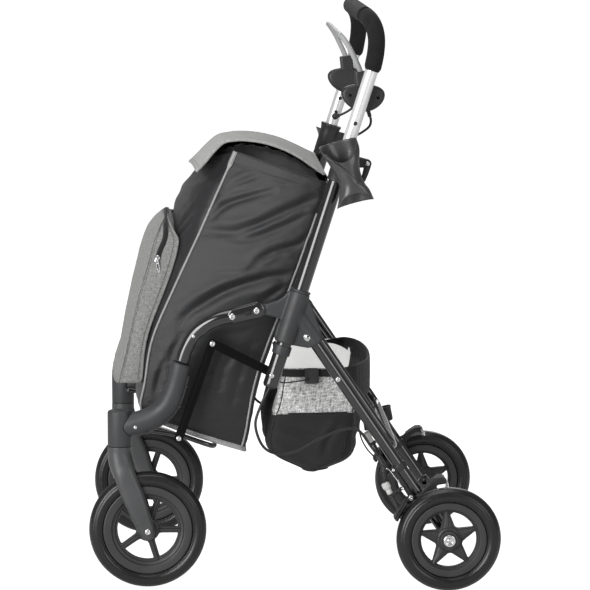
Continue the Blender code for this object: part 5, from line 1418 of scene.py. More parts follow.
def inside(p, loop):
    x, y = p
    a, c = loop, np.roll(loop, -1, 0)
    hit = (a[:, 1] > y) != (c[:, 1] > y)
    with np.errstate(divide="ignore", invalid="ignore"):
        cross = (c[:, 0] - a[:, 0]) * (y - a[:, 1]) / (c[:, 1] - a[:, 1]) + a[:, 0]
    return bool(np.sum(hit & (x < cross)) % 2)


def opening(kind, k):
    if kind == "front":
        r_in, r_out, a0, a1 = 0.0200, 0.0516, -1.0 + k * 72, -1.0 + (k + 1) * 72
        d_in, d_out = math.degrees(math.asin(0.0056 / r_in)), math.degrees(math.asin(0.0052 / r_out))
        pts = [(r_in, a0 + d_in), (r_out, a0 + d_out)]
        pts += [(r_out, a0 + d_out + t * (a1 - a0 - 2 * d_out)) for t in np.linspace(0.08, 0.92, 13)]
        pts += [(r_out, a1 - d_out), (r_in, a1 - d_in)]
    else:
        r_in, r_out, a0, a1 = 0.0240, 0.0470, 22.4 + k * 72, 22.4 + (k + 1) * 72
        d_out = math.degrees(math.asin(0.0040 / r_out))
        mid = (a0 + a1) / 2
        pts = [(r_in, mid - 6), (r_out, a0 + d_out)]
        pts += [(r_out, a0 + d_out + t * (a1 - a0 - 2 * d_out)) for t in np.linspace(0.1, 0.9, 11)]
        pts += [(r_out, a1 - d_out), (r_in, mid + 6)]
    return rounded_outline([(r * math.cos(math.radians(a)), r * math.sin(math.radians(a))) for r, a in pts], 0.0062, 9)


def web_plate(batch, centre, holes, r_in, r_out, h, edge=0.0010):
    """A plate with rounded openings between two circles, h to each side of the wheel's middle."""
    c = np.asarray(centre, float)
    ring = lambda r, n: np.stack([r * np.cos(np.arange(n) * 2 * np.pi / n), r * np.sin(np.arange(n) * 2 * np.pi / n)], 1)
    loops = [ring(r_out, 120), ring(r_in, 40)] + [grown(q, edge) for q in holes]
    pts, edges = [], []
    for loop in loops:
        base = len(pts)
        pts += [Vector((float(a), float(b_))) for a, b_ in loop]
        edges += [(base + i, base + (i + 1) % len(loop)) for i in range(len(loop))]
    v2, _, tri, _, _, _ = geometry.delaunay_2d_cdt(pts, edges, [], 0, 1e-7)
    keep = []
    for f in tri:
        m = np.mean([v2[i] for i in f], axis=0)
        r = np.hypot(*m)
        if r_in < r < r_out and not any(inside(m, q) for q in loops[2:]):
            keep.append(f)
    for side in (1, -1):
        verts = [(c[0] + h * side, c[1] + p.x, c[2] + p.y) for p in v2]
        batch.add(verts, [tuple(f) if side > 0 else tuple(reversed(f)) for f in keep])
    for hole in holes:
        area = np.sum(hole[:, 0] * np.roll(hole[:, 1], -1) - hole[:, 1] * np.roll(hole[:, 0], -1))
        q = hole if area > 0 else hole[::-1]
        rows = [(edge, h), (edge * 0.35, h - edge * 0.2), (0.0, h - edge * 0.8), (0.0, -h + edge * 0.8), (edge * 0.35, -h + edge * 0.2), (edge, -h)]
        P = np.array([[(c[0] + x, c[1] + y, c[2] + z) for y, z in grown(q, d)] for d, x in rows])
        batch.add(P.reshape(-1, 3), [tuple(f[::-1]) for f in grid_faces(len(rows), len(q), True)])


def ring_data(half_profile, centre, steps=144):
    """A closed half profile of (radius, height), mirrored, turned about X."""
    whole = list(half_profile) + [(r, -h) for r, h in reversed(half_profile)]
    whole = whole + [whole[0]]
    return turn_data([(r, h) for r, h in whole], centre, (1, 0, 0), steps)


def rib(batch, centre, angle, r0, r1, w0, w1, h0, h1, crown=0.0):
    """A raised rib along a spoke, on both faces: half widths w0 to w1, heights h0 at its foot and h1 on top."""
    c = np.asarray(centre, float)
    d = np.array([0, math.cos(angle), math.sin(angle)])
    n = np.array([0, -math.sin(angle), math.cos(angle)])
    for side in (1, -1):
        x = np.array([side, 0, 0])
        rows = []
        for r in np.linspace(r0, r1, 6):
            f = (r - r0) / (r1 - r0)
            w = w0 + (w1 - w0) * f
            rows.append([c + d * r + n * w * k + x * h for k, h in
                         ((-1, h0), (-0.86, h0 + (h1 - h0) * 0.75), (-0.62, h1), (0, h1 + crown), (0.62, h1), (0.86, h0 + (h1 - h0) * 0.75), (1, h0))])
        P = np.array(rows)
        batch.add(P.reshape(-1, 3), [tuple(f) for f in grid_faces(6, 7, flip=side < 0)])


WHEELS = {
    "front": dict(x=0.226, y=-0.250, z=0.100, R=0.100, seam=0.0762),
    "rear": dict(x=0.277, y=0.260, z=0.089, R=0.089, seam=0.0645),
}
for kind, w in WHEELS.items():
    t = w["R"] - w["seam"]
    sm = w["seam"]
    tyre_half = [
        (sm - 0.0004, 0.0085), (sm + 0.0003, 0.0109), (sm + 0.0015, 0.0122), (sm + 0.0022, 0.0128), (sm + 0.0026, 0.0124), (sm + 0.0031, 0.0131),
        (sm + 0.0050, 0.0145), (sm + 0.0078, 0.0156), (sm + 0.0105, 0.0159), (sm + 0.0130, 0.0154), (sm + 0.0136, 0.0147), (sm + 0.0141, 0.0145),
        (sm + 0.0147, 0.0146), (sm + 0.0170, 0.0136), (sm + 0.0193, 0.0117), (sm + 0.0203, 0.0105), (sm + 0.0206, 0.0096), (sm + 0.0212, 0.0093),
        (sm + t - 0.0018, 0.0070), (sm + t - 0.0008, 0.0048), (sm + t - 0.0002, 0.0026), (sm + t, 0.0009),
    ]
    if kind == "front":
        ring = [(0.0758, 0.0100), (0.0758, 0.0110), (0.0752, 0.0119), (0.0740, 0.0124), (0.0724, 0.0123), (0.0640, 0.0119), (0.0624, 0.0115),
                (0.0615, 0.0106), (0.0609, 0.0086), (0.0600, 0.0077), (0.0572, 0.0072), (0.0560, 0.0066), (0.0552, 0.0050), (0.0548, 0.0030)]
        hub = [(0.0205, 0.0036), (0.0198, 0.0058), (0.0184, 0.0068), (0.0152, 0.0078), (0.0143, 0.0092), (0.0138, 0.0158), (0.0128, 0.0170), (0.0053, 0.0172)]
        h, web = 0.0040, (0.0120, 0.0575)
    else:
        ring = [(0.0641, 0.0100), (0.0641, 0.0110), (0.0636, 0.0119), (0.0626, 0.0124), (0.0612, 0.0123), (0.0540, 0.0119), (0.0527, 0.0115),
                (0.0519, 0.0106), (0.0514, 0.0086), (0.0506, 0.0077), (0.0494, 0.0071), (0.0487, 0.0062), (0.0483, 0.0044), (0.0481, 0.0030)]
        hub = [(0.0215, 0.0036), (0.0208, 0.0064), (0.0196, 0.0076), (0.0170, 0.0084), (0.0163, 0.0098), (0.0159, 0.0152), (0.0150, 0.0166), (0.0134, 0.0170),
               (0.0122, 0.0170), (0.0118, 0.0160), (0.0053, 0.0158)]
        h, web = 0.0042, (0.0130, 0.0500)
    holes = [opening(kind, k) for k in range(5)]
    for side, s in SIDES:
        c = np.array([w["x"] * s, w["y"], w["z"]])
        batch = Batch()
        batch.add(*ring_data(tyre_half, c, 160))
        o = batch.done(f"{kind}_wheel_tyre_{side}", RUBBER, f"{kind}_wheel_{side}", "rubber")
        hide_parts(f"{kind}_tyre_{side}")
        batch = Batch()
        batch.add(*ring_data(ring, c, 144))
        batch.add(*ring_data(hub, c, 64))
        web_plate(batch, c, holes, web[0], web[1], h)
        for k in range(5):
            if kind == "front":
                rib(batch, c, math.radians(-1.0 + 72 * k), 0.0150, 0.0600, 0.0021, 0.0019, h - 0.0003, 0.0068)
            else:
                rib(batch, c, math.radians(22.4 + 72 * k), 0.0150, 0.0490, 0.0098, 0.0028, h - 0.0002, 0.0058, 0.0016)
                rib(batch, c, math.radians(22.4 + 72 * k), 0.0150, 0.0500, 0.0016, 0.0010, h, 0.0078, 0.0002)
        o = batch.done(f"{kind}_wheel_rim_{side}", RIM_PLASTIC, f"{kind}_wheel_{side}", "rim")
        o.data.set_sharp_from_angle(angle=math.radians(40))
        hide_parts(f"{kind}_rim_{side}")

# the rear axles' chrome caps and the nuts on the inside
for side, s in SIDES:
    batch = Batch()
    c = (0.277 * s, 0.260, 0.089)
    batch.add(*turn_data([(0.0050, -0.0227), (0.0050, 0.0158), (0.0096, 0.0162), (0.0104, 0.0172), (0.0104, 0.0190), (0.0098, 0.0199), (0.0086, 0.0202),
                          (0.0058, 0.0201), (0.0052, 0.0196), (0.0049, 0.0184), (0.0034, 0.0180), (0.0030, 0.0192), (0.0002, 0.0194)], c, (s, 0, 0), 40))
    batch.add(*turn_data([(0.0052, -0.0228), (0.0068, -0.0226), (0.0070, -0.0200), (0.0054, -0.0196)], c, (s, 0, 0), 6))
    o = batch.done(f"rear_axle_cap_{side}", CHROME, "rear_legs", "chrome")
    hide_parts(f"rear_axle_{side}")

# ------------------------------------------------------------------ frame castings and forks
FRAME_X, LEG_X = 0.250, 0.2435
LEG_PIVOT = np.array([0.0265, 0.4335])
LEG_D, LEG_N = np.array([0.5611, -0.8278]), np.array([0.8278, 0.5611])


def on_axis(z, x=FRAME_X):
    return (x, 0.0110 + 0.320 * (z - 0.5145), z)


def leg(a, b, x=LEG_X):
    p = LEG_PIVOT + LEG_D * a + LEG_N * b
    return (x, float(p[0]), float(p[1]))


def flip_x(points, s):
    return np.asarray(points, float) * np.array([s, 1, 1])


FORK = (
    (-0.297, 0.2436, 0.0198, 0.0198, 2.0), (-0.297, 0.2428, 0.0203, 0.0203, 2.0), (-0.297, 0.2320, 0.0203, 0.0205, 2.0),
    (-0.2945, 0.2160, 0.0225, 0.0212, 2.3), (-0.2890, 0.2000, 0.0262, 0.0210, 2.8), (-0.2820, 0.1790, 0.0270, 0.0208, 3.4),
    (-0.2700, 0.1480, 0.0270, 0.0200, 3.8), (-0.2588, 0.1190, 0.0268, 0.0170, 3.8), (-0.2515, 0.1000, 0.0265, 0.0150, 3.6),
    (-0.2482, 0.0890, 0.0258, 0.0110, 3.0), (-0.2472, 0.0860, 0.0250, 0.0078, 2.7), (-0.2470, 0.0850, 0.0238, 0.0050, 2.6),
)
fork_rows = spline(FORK, np.linspace(0, len(FORK) - 1, 78))
for side, s in SIDES:
    rings = []
    for i, (y, z, hx, hy, e) in enumerate(fork_rows):
        y0, z0 = fork_rows[max(i - 1, 0)][:2]
        y1, z1 = fork_rows[min(i + 1, len(fork_rows) - 1)][:2]
        d = np.array([y1 - y0, z1 - z0])
        d /= np.linalg.norm(d)
        if i < 8:
            d = np.array([0.0, -1.0])
        t = 2 * np.pi * np.arange(56) / 56
        fx = np.sign(np.cos(t)) * np.abs(np.cos(t)) ** (2 / e) * hx
        fy = np.sign(np.sin(t)) * np.abs(np.sin(t)) ** (2 / e) * hy
        rings.append(np.stack([0.226 * s + fx, y - d[1] * fy, z + d[0] * fy], 1))
    P = np.array(rings)
    faces = [tuple(f) for f in grid_faces(len(P), 56, True)] + [tuple(range(56))[::-1], tuple((len(P) - 1) * 56 + k for k in range(56))]
    o = build(f"caster_fork_shell_{side}", P.reshape(-1, 3), faces, FORK_PLASTIC, None)
    bm = bmesh.new()
    bm.from_mesh(o.data)
    bmesh.ops.recalc_face_normals(bm, faces=bm.faces)
    bm.to_mesh(o.data)
    bm.free()
    cv, cf, _ = turn_data([(0.1065, -0.0185), (0.1065, 0.0185)], (0.226 * s, -0.250, 0.100), (1, 0, 0), 128)
    cutter = build("wheel_room", cv, cf + [tuple(range(128))[::-1], tuple(128 + k for k in range(128))], FORK_PLASTIC, None)
    bm = bmesh.new()
    bm.from_mesh(cutter.data)
    bmesh.ops.recalc_face_normals(bm, faces=bm.faces)
    bm.to_mesh(cutter.data)
    bm.free()
    m = o.modifiers.new("room", "BOOLEAN")
    m.operation, m.solver, m.object = "DIFFERENCE", "EXACT", cutter
    bpy.context.view_layer.update()
    done = bpy.data.meshes.new_from_object(o.evaluated_get(bpy.context.evaluated_depsgraph_get()))
    o.modifiers.clear()
    o.data = done
    bpy.data.objects.remove(cutter, do_unlink=True)
    o.data.shade_smooth()
    o.data.set_sharp_from_angle(angle=math.radians(40))
    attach(o, f"caster_{side}")
    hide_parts(f"caster_fork_{side}")
    # axle: bolt head outside, nut inside, and the axle between the blades
    batch = Batch()
    batch.add(*turn_data([(0.0050, -0.0190), (0.0050, 0.0190)], (0.226 * s, -0.250, 0.100), (s, 0, 0), 24))
    bolt(batch, np.array([0.226 * s + 0.0266 * s, -0.250, 0.100]), (s, 0, 0), 0.0056, 28, 0.0030)
    bolt(batch, np.array([0.226 * s - 0.0266 * s, -0.250, 0.100]), (-s, 0, 0), 0.0056, 6, 0.0034, False)
    for x in (0.0178, -0.0178):
        batch.add(*turn_data([(0.0052, -0.0006), (0.0078, -0.0005), (0.0078, 0.0005), (0.0052, 0.0006)], (0.226 * s + x, -0.250, 0.100), (1, 0, 0), 24))
    o = batch.done(f"caster_axle_{side}", CHROME, f"caster_{side}", "chrome")
    o.data.set_sharp_from_angle(angle=math.radians(32))
    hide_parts(f"front_axle_{side}")

ELBOW = (
    (0.2386, -0.1914, 0.3882, 0.0163), (0.2372, -0.1952, 0.3740, 0.0166), (0.2355, -0.2002, 0.3540, 0.0168),
    (0.2335, -0.2075, 0.3320, 0.0178), (0.2315, -0.2185, 0.3120, 0.0186), (0.2295, -0.2350, 0.2975, 0.0190),
    (0.2278, -0.2550, 0.2875, 0.0196), (0.2265, -0.2760, 0.2810, 0.0198), (0.2260, -0.2960, 0.2760, 0.0186),
)
for side, s in SIDES:
    rows = spline(ELBOW, np.linspace(0, len(ELBOW) - 1, 90))
    path_, rad = rows[:, :3] * np.array([s, 1, 1]), rows[:, 3].copy()
    rad[0] *= 0.90
    rad[1] *= 0.975
    batch = Batch()
    batch.sweep(path_, rad, 44)
    # collar lip where the tube goes in, then the steering head with its rounded top and lower ring
    batch.sweep(path_[:2] + (path_[0] - path_[1]) * 0.30, [0.0140, 0.0140], 32)
    batch.add(*turn_data([(0.0002, 0.0614), (0.0150, 0.0614), (0.0176, 0.0611), (0.0193, 0.0600), (0.0201, 0.0582), (0.0203, 0.0560), (0.0203, 0.0016),
                          (0.0200, 0.0006), (0.0192, 0.0001), (0.0002, 0.0001)], (0.226 * s, -0.297, 0.2442), (0, 0, 1), 64))
    # the split rib under the elbow
    low = []
    for k in range(14, 78, 2):
        t = path_[min(k + 1, 89)] - path_[k - 1]
        t /= np.linalg.norm(t)
        down = np.cross(t, [s * 1.0, 0, 0])
        down = down if down[2] < 0 else -down
        low.append(path_[k] + down * (rad[k] + 0.0003) + np.array([0.0050 * s, 0, 0]))
    batch.sweep(np.array(low), 0.0016, 8)
    for k in (4, 12, 20, 27):
        c = low[k]
        plate_between(batch, np.array(c), np.array([0, 0.86, -0.5]), np.array([s, 0, 0.0]), np.array([0, -0.5, -0.86]),
                      [(-0.0032, -0.003), (0.0032, -0.003), (0.0032, 0.003), (-0.0032, 0.003)], 0.0024)
    o = batch.done(f"front_elbow_shell_{side}", PLASTIC, "front_frame", "plastic")
    o.data.set_sharp_from_angle(angle=math.radians(50))
    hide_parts(f"front_elbow_{side}")

# front tubes: a smooth bent tube, the flattened end with its window, and the hinge pin
TUBE_PATH = [(0.2500, -0.0800, 0.4755), (0.2500, -0.1035, 0.4700), (0.2490, -0.1290, 0.4640), (0.2465, -0.1519, 0.4525),
             (0.2435, -0.1713, 0.4350), (0.2405, -0.1842, 0.4110), (0.2388, -0.1912, 0.3890)]
for side, s in SIDES:
    batch = Batch()
    batch.sweep(even_path(flip_x(TUBE_PATH, s), 0.004), 0.0118, 36)
    o = batch.done(f"front_tube_bend_{side}", BLACK_TUBE, "front_frame", "black_tube")
    # the two cheeks of the clevis
    cheeks = Batch()
    a, c2 = np.array([-0.0637, 0.4795]), np.array([-0.1020, 0.4703])
    d = (c2 - a) / np.linalg.norm(c2 - a)
    w = np.array([-d[1], d[0]])
    outline = []
    for k in range(17):
        t = math.pi / 2 + math.pi * k / 16
        outline.append(a + (-d * -math.cos(t) * 1.0 + w * math.sin(t)) * 0.0120)
    for k in range(17):
        t = -math.pi / 2 + math.pi * k / 16
        outline.append(c2 + (d * math.cos(t) + w * math.sin(t)) * 0.0113)
    outline = [(q[0], q[1]) for q in outline]
    for x0, sign in ((0.0066, 1), (-0.0066, -1)):
        ol = np.array(outline)
        plate_between(cheeks, np.array([0.250 * s + x0, 0.0, 0.0]), np.array([0, 1.0, 0]), np.array([0, 0, 1.0]), np.array([sign * 1.0, 0, 0]), ol, 0.0054)
    o2 = cheeks.done(f"front_clevis_{side}", BLACK_TUBE, "front_frame", "black_tube")
    o2.data.set_sharp_from_angle(angle=math.radians(50))
    # the window is not cut: a thin plate painted near-black stands in as painted shade inside it
    window = Batch()
    wc = np.array([0.250 * s + 0.01205 * s, -0.0790, 0.4755])
    plate_between(window, wc, np.array([0, d[0], d[1]]), np.array([0, w[0], w[1]]), np.array([s * 1.0, 0, 0]),
                  [(-0.0050, -0.0036), (0.0050, -0.0036), (0.0050, 0.0036), (-0.0050, 0.0036)], 0.0002)
    window.done(f"front_clevis_window_{side}", SHADOW, "front_frame", "black_tube")
    pin = Batch()
    pin.add(*turn_data([(0.0040, -0.0118), (0.0040, 0.0118)], (0.250 * s, -0.0637, 0.4795), (s, 0, 0), 20))
    bolt(pin, np.array([0.250 * s + 0.0120 * s, -0.0650, 0.4792]), (s, 0, 0), 0.0058, 28)
    bolt(pin, np.array([0.250 * s - 0.0120 * s, -0.0650, 0.4792]), (-s, 0, 0), 0.0058, 6, 0.0036, False)
    bolt(pin, np.array([0.250 * s + 0.0112 * s, -0.1060, 0.4692]), (s, 0, 0), 0.0058, 28)
    bolt(pin, np.array([0.250 * s - 0.0112 * s, -0.1060, 0.4692]), (-s, 0, 0), 0.0056, 6, 0.0036, False)
    o3 = pin.done(f"front_hinge_bolts_{side}", CHROME, "front_frame", "chrome")
    o3.data.set_sharp_from_angle(angle=math.radians(32))
    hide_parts(f"front_tube_{side}")
    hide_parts(f"front_tube_{side}")

# ------------------------------------------------------------------ handle
BAR_PATH = [on_axis(0.888), (0.2500, 0.1350, 0.9110), (0.2480, 0.1365, 0.9330), (0.2400, 0.1335, 0.9520),
            (0.2240, 0.1272, 0.9650), (0.2000, 0.1220, 0.9705), (0.1700, 0.1200, 0.9720)]


def both_sides(points):
    p = np.asarray(points, float)
    return np.concatenate([p, p[::-1] * np.array([-1, 1, 1])])


low = np.array([on_axis(z) for z in np.linspace(0.560, 0.872, 14)])
bar = both_sides(np.concatenate([low, BAR_PATH]))
bar = even_path(bar, 0.005)
o = tube("push_bar_tube", bar, 0.0110, ALUMINIUM, "handle", 40)
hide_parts("push_bar")
grip_path = even_path(both_sides(np.concatenate([[on_axis(0.8815), on_axis(0.884)], BAR_PATH[:1], BAR_PATH[1:]])), 0.003)
n = len(grip_path)
rad = np.full(n, 0.0145)
endw = np.minimum(np.arange(n), np.arange(n)[::-1])
rad = rad - 0.0026 * np.exp(-(endw / 1.1) ** 2) + 0.00018 * np.array([noise.noise(Vector((k * 0.21, 0.5, 2.0))) for k in range(n)])
o = tube("handle_grip_foam", grip_path, rad, FOAM, "handle", 44)
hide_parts("handle_grip")

ARM = [(.2265, .1185, .8460), (.2265, .1112, .8776), (.2265, .1020, .8993), (.2245, .0922, .9190), (.2170, .0838, .9320), (.2000, .0797, .9372), (.1750, .0790, .9380)]
o = tube("brake_bar_loop", even_path(both_sides(ARM), 0.003), 0.0045, BAR_METAL, "brake_bar", 28)
for nme in ("brake_bar", "brake_bar_arm_left", "brake_bar_arm_right"):
    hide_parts(nme)

# adjustment holes, on the inner faces of the two tubes: shallow dimples painted near-black as painted shade for their
# insides
holes = Batch()
for side, s in SIDES:
    for z in (0.7760, 0.8010):
        c = np.array(on_axis(z, 0.250 * s)) + np.array([-s * 0.0109, 0, 0])
        holes.add(*turn_data([(0.0031, 0.0), (0.0033, 0.0004), (0.0029, 0.0005), (0.0002, 0.0002)], c, (-s, 0, 0), 20))
holes.done("push_bar_holes", SHADOW, "handle", "aluminium")

# brake housings
for side, s in SIDES:
    batch = Batch()
    K = 64
    t = 2 * np.pi * np.arange(K) / K
    leaf = np.stack([0.1155 + 0.0365 * np.cos(t) - 0.002 * np.sin(t), 0.8375 + 0.0232 * np.sin(t) + 0.003 * np.cos(2 * t)], 1)
    mid = leaf.mean(0)
    section = [(0.02, 0.0112), (0.40, 0.0111), (0.70, 0.0108), (0.84, 0.0104), (0.90, 0.0098), (0.955, 0.0086), (0.985, 0.0068), (0.998, 0.0046), (1.0, 0.0008),
               (0.982, 0.0004), (0.982, -0.0004), (1.0, -0.0008), (0.998, -0.0046), (0.985, -0.0068), (0.955, -0.0086), (0.90, -0.0098), (0.84, -0.0104),
               (0.70, -0.0108), (0.40, -0.0111), (0.02, -0.0112)]
    P = np.array([np.column_stack([np.full(K, (0.2265 + x) * s), mid[0] + (leaf[:, 0] - mid[0]) * k, mid[1] + (leaf[:, 1] - mid[1]) * k]) for k, x in section])
    batch.add(P.reshape(-1, 3), [tuple(f) for f in grid_faces(len(P), K, True, flip=s < 0)])
    # socket round the foot of the bar's arm
    rows = []
    turn_ = 0.10
    for h, g in ((-0.010, 1.0), (0.0, 1.0), (0.0100, 1.0), (0.0140, 1.0), (0.0150, 0.96), (0.0150, 0.76), (0.0130, 0.70), (-0.002, 0.70)):
        ring = []
        for a in np.linspace(0, 2 * np.pi, 40, endpoint=False):
            e = 0.42
            x = math.copysign(abs(math.cos(a)) ** e, math.cos(a)) * 0.0094 * g
            y = math.copysign(abs(math.sin(a)) ** e, math.sin(a)) * 0.0116 * (g if g > 0.9 else g * 1.08)
            ring.append((0.2265 * s + x, 0.1135 + y * math.cos(turn_) - h * math.sin(turn_), 0.8640 + y * math.sin(turn_) + h * math.cos(turn_)))
        rows.append(ring)
    P = np.array(rows)
    sleeve = Batch()
    sleeve.add(P.reshape(-1, 3), [tuple(f) for f in grid_faces(len(P), 40, True)])
    o = sleeve.done(f"brake_bar_sleeve_{side}", DARK_PLASTIC, "brake_bar", "plastic")
    o.data.set_sharp_from_angle(angle=math.radians(45))
    # block that holds the housing to the tube
    c = np.array(on_axis(0.8375, 0.250 * s))
    ax = np.array([0, 0.3048, 0.9524])
    block = even_path(np.array([c + ax * 0 + np.array([-s * 0.0090, 0, 0]), c + np.array([-s * 0.0160, 0, 0]), c + np.array([-s * 0.0225, -0.002, 0])]), 0.002)
    batch.sweep(block, 0.0085, 28, shape=(0.95, 1.45), guide=(0, 1, 0))
    # barrel adjuster with two knurled rings
    a, e_ = np.array([0.2265 * s, 0.1215, 0.8230]), np.array([0.2265 * s, 0.1256, 0.8080])
    ax2 = (e_ - a) / np.linalg.norm(e_ - a)
    prof = [(0.0036, -0.002), (0.0036, 0.0030)]
    for k in range(4):
        prof += [(0.0043, 0.0034 + k * 0.0016), (0.0043, 0.0042 + k * 0.0016), (0.0038, 0.0046 + k * 0.0016)]
    prof += [(0.0034, 0.0106), (0.0034, 0.0140), (0.0030, 0.0152), (0.0016, 0.0156)]
    batch.add(*turn_data(prof, a, ax2, 24))
    o = batch.done(f"brake_housing_shell_{side}", DARK_PLASTIC, "handle", "plastic")
    o.data.set_sharp_from_angle(angle=math.radians(45))
    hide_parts(f"brake_housing_{side}")
    screws = Batch()
    for y, z in ((0.0935, 0.8395), (0.1400, 0.8350)):
        bolt(screws, np.array([0.2370 * s, y, z]), (s, 0, 0), 0.0028, 20, 0.0010)
    bolt(screws, np.array([(0.2265 + 0.0094) * s, 0.1185, 0.8530]), (s, 0, 0), 0.0030, 20, 0.0014)
    screws.done(f"brake_housing_screws_{side}", STEEL, "handle", "flat_steel")

# upper brake cables, each ending in a round grommet on the main tube's collar
UPPER = [(.2265, .12572, .80765), (.2265, .1288, .7970), (.2275, .1262, .7865), (.2292, .1150, .7775), (.2318, .1035, .7715), (.2348, .0955, .7690), (.2368, .0925, .7682)]
for side, s in SIDES:
    p = even_path(flip_x(UPPER, s), 0.0022)
    o = tube(f"upper_brake_cable_{side}", p, 0.0021, CABLE, "handle", 14)
    line_length(p)
    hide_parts(f"upper_cable_{side}")
    g = Batch()
    e_ = p[-1]
    d = (p[-1] - p[-3]) / np.linalg.norm(p[-1] - p[-3])
    ball = [(max(0.0062 * math.sin(a), 0.0002), -0.0062 * math.cos(a)) for a in np.linspace(0, math.pi, 16)]
    g.add(*turn_data(ball, e_ - d * 0.0010, d, 24))
    g.add(*turn_data([(0.0022, -0.0100), (0.0032, -0.0096), (0.0040, -0.0050)], e_, d, 20))
    c0, c1 = np.array([0.2265 * s, 0.12572, 0.80765]), np.array([0.2265 * s, 0.1272, 0.8025])
    g.add(*turn_data([(0.0016, -0.0008), (0.0033, -0.0004), (0.0033, 0.0042), (0.0027, 0.0050), (0.0022, 0.0052)], c0, c1 - c0, 20))
    g.done(f"upper_cable_grommets_{side}", DARK_PLASTIC, "handle", "plastic")

# ------------------------------------------------------------------ stick holders
H_LEFT = ((0.0404, 0.7558, 0.1007, 0.7724, 0.0216), (0.0475, 0.7425, 0.1058, 0.7560, 0.0214), (0.0573, 0.7250, 0.1058, 0.7370, 0.0212),
          (0.0655, 0.7085, 0.1072, 0.7175, 0.0210), (0.0722, 0.6920, 0.1135, 0.6995, 0.0210), (0.0722, 0.6745, 0.1230, 0.6860, 0.0213),
          (0.0690, 0.6545, 0.1300, 0.6705, 0.0216))
H_RIGHT = ((0.0622, 0.7444, 0.1160, 0.7300, 0.0205), (0.0650, 0.7320, 0.1105, 0.7205, 0.0200), (0.0655, 0.7200, 0.1060, 0.7110, 0.0196),
           (0.0640, 0.7070, 0.1030, 0.6990, 0.0198))


def holder(name, table, s, notch_top, notch_low, lap_top, lap_low, replaced):
    """A rolled plastic sleeve: one flap laps over the other on its outer side."""
    R_, C_ = 56, 96
    rows = spline(table, np.linspace(0, len(table) - 1, R_))
    first, last_ = np.array(table[0]), np.array(table[-1])
    down = (last_[:2] + last_[2:4] - first[:2] - first[2:4])
    down /= np.linalg.norm(down)
    P = []
    for i, (y0, z0, y1, z1, deep) in enumerate(rows):
        f = i / (R_ - 1)
        a, b_ = np.array([y0, z0]), np.array([y1, z1])
        start = lap_top + (lap_low - lap_top) * f
        u = np.linspace(0, 1, C_)
        ang_ = start + 2 * np.pi * u * 1.075
        spiral = 1 + 0.100 * smoothstep(u, 0.74, 0.93) - 0.015 * (1 - smoothstep(u, 0.0, 0.12))
        cosv = np.cos(ang_)
        v = np.maximum(0.0, cosv) ** 1.5
        shift = v * (notch_top * (1 - f) ** 1.5 - notch_low * f ** 1.5)
        # the free edge of the upper flap curls outwards near both mouths
        curl = 0.0024 * smoothstep(u, 0.90, 1.0) * (smoothstep(f, 0.55, 1.0) + 0.8 * smoothstep(1 - f, 0.6, 1.0))
        yz = (a + b_) / 2 + (b_ - a)[None] / 2 * (np.sin(ang_) * spiral)[:, None] + down[None] * shift[:, None]
        x = s * (0.2900 + deep * cosv * spiral + curl)
        P.append(np.column_stack([x, yz]))
    P = np.array(P)
    P += grid_normals(P) * (0.0003 * bumps(P, (40, 40, 40), 5.0))[..., None]
    nn_ = grid_normals(P)
    out_ = np.sum((P - P.mean(1, keepdims=True)) * nn_) > 0
    o = sheet_grid(name, P, HOLSTER, "frame", flip=not out_, thick=0.0016)
    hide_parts(replaced)
    rim_ = Batch()
    for row in (0, R_ - 1):
        edge_ = P[row] - nn_[row] * (0.0008 if out_ else -0.0008)
        rim_.sweep(edge_, 0.0009, 8)
    rim_.sweep(P[:, -1] - nn_[:, -1] * (0.0008 if out_ else -0.0008), 0.0009, 8)
    rim_.done(name + "_rolled_edges", HOLSTER, "frame", "holster")
    return P


holder("stick_holder_sleeve_left", H_LEFT, 1, 0.0330, 0.0200, -1.05, 0.55, "stick_holder_left")
holder("stick_holder_sleeve_right", H_RIGHT, -1, 0.0120, 0.0080, -0.8, 0.3, "stick_holder_right")

# ------------------------------------------------------------------ frame tubes, castings and small parts
BRACE_LOW, BRACE_KNEE, BRACE_RAIL = (-0.0360, 0.3680), (-0.1389, 0.4196), (-0.1965, 0.2565)
LEVER_PIVOT = (0.1215, 0.7262)
LEG_LEN = 0.416
AXLE = np.array([0.260, 0.089])
MAIN_AXIS = np.array([0, 0.3048, 0.9524])
LEG_AXIS = np.array([0, 0.5611, -0.8278])


def pill(a, b_, ra, rb, n=18):
    """The outline round two circles in (y, z)."""
    a, b_ = np.asarray(a, float), np.asarray(b_, float)
    d = b_ - a
    base = math.atan2(d[1], d[0])
    tilt = math.acos(max(-1.0, min(1.0, (ra - rb) / np.linalg.norm(d))))
    out = [a + ra * np.array([math.cos(base + t), math.sin(base + t)]) for t in np.linspace(tilt, 2 * math.pi - tilt, n)]
    out += [b_ + rb * np.array([math.cos(base + t), math.sin(base + t)]) for t in np.linspace(-tilt, tilt, n)]
    return np.array(out)


def slab(batch, outline, x0, x1, edge=0.0008):
    """An outline of (y, z) carried from x0 to x1, with rounded edges."""
    q = np.asarray(outline, float)
    if np.sum(q[:, 0] * np.roll(q[:, 1], -1) - q[:, 1] * np.roll(q[:, 0], -1)) < 0:
        q = q[::-1]
    lo, hi = min(x0, x1), max(x0, x1)
    rows = [(1.6, 0.0), (1.0, 0.0), (0.5, 0.13), (0.13, 0.5), (0.0, 1.0)]
    prof = [(d * edge, lo + h * edge) for d, h in rows] + [(d * edge, hi - h * edge) for d, h in reversed(rows)]
    P = np.array([[(x, y, z) for y, z in grown(q, -d)] for d, x in prof])
    n = len(q)
    faces = [tuple(f) for f in grid_faces(len(prof), n, True)]
    faces += [tuple(range(n))[::-1], tuple((len(prof) - 1) * n + k for k in range(n))]
    batch.add(P.reshape(-1, 3), faces)


def polar(r, t):
    return AXLE + r * np.array([math.cos(t), math.sin(t)])


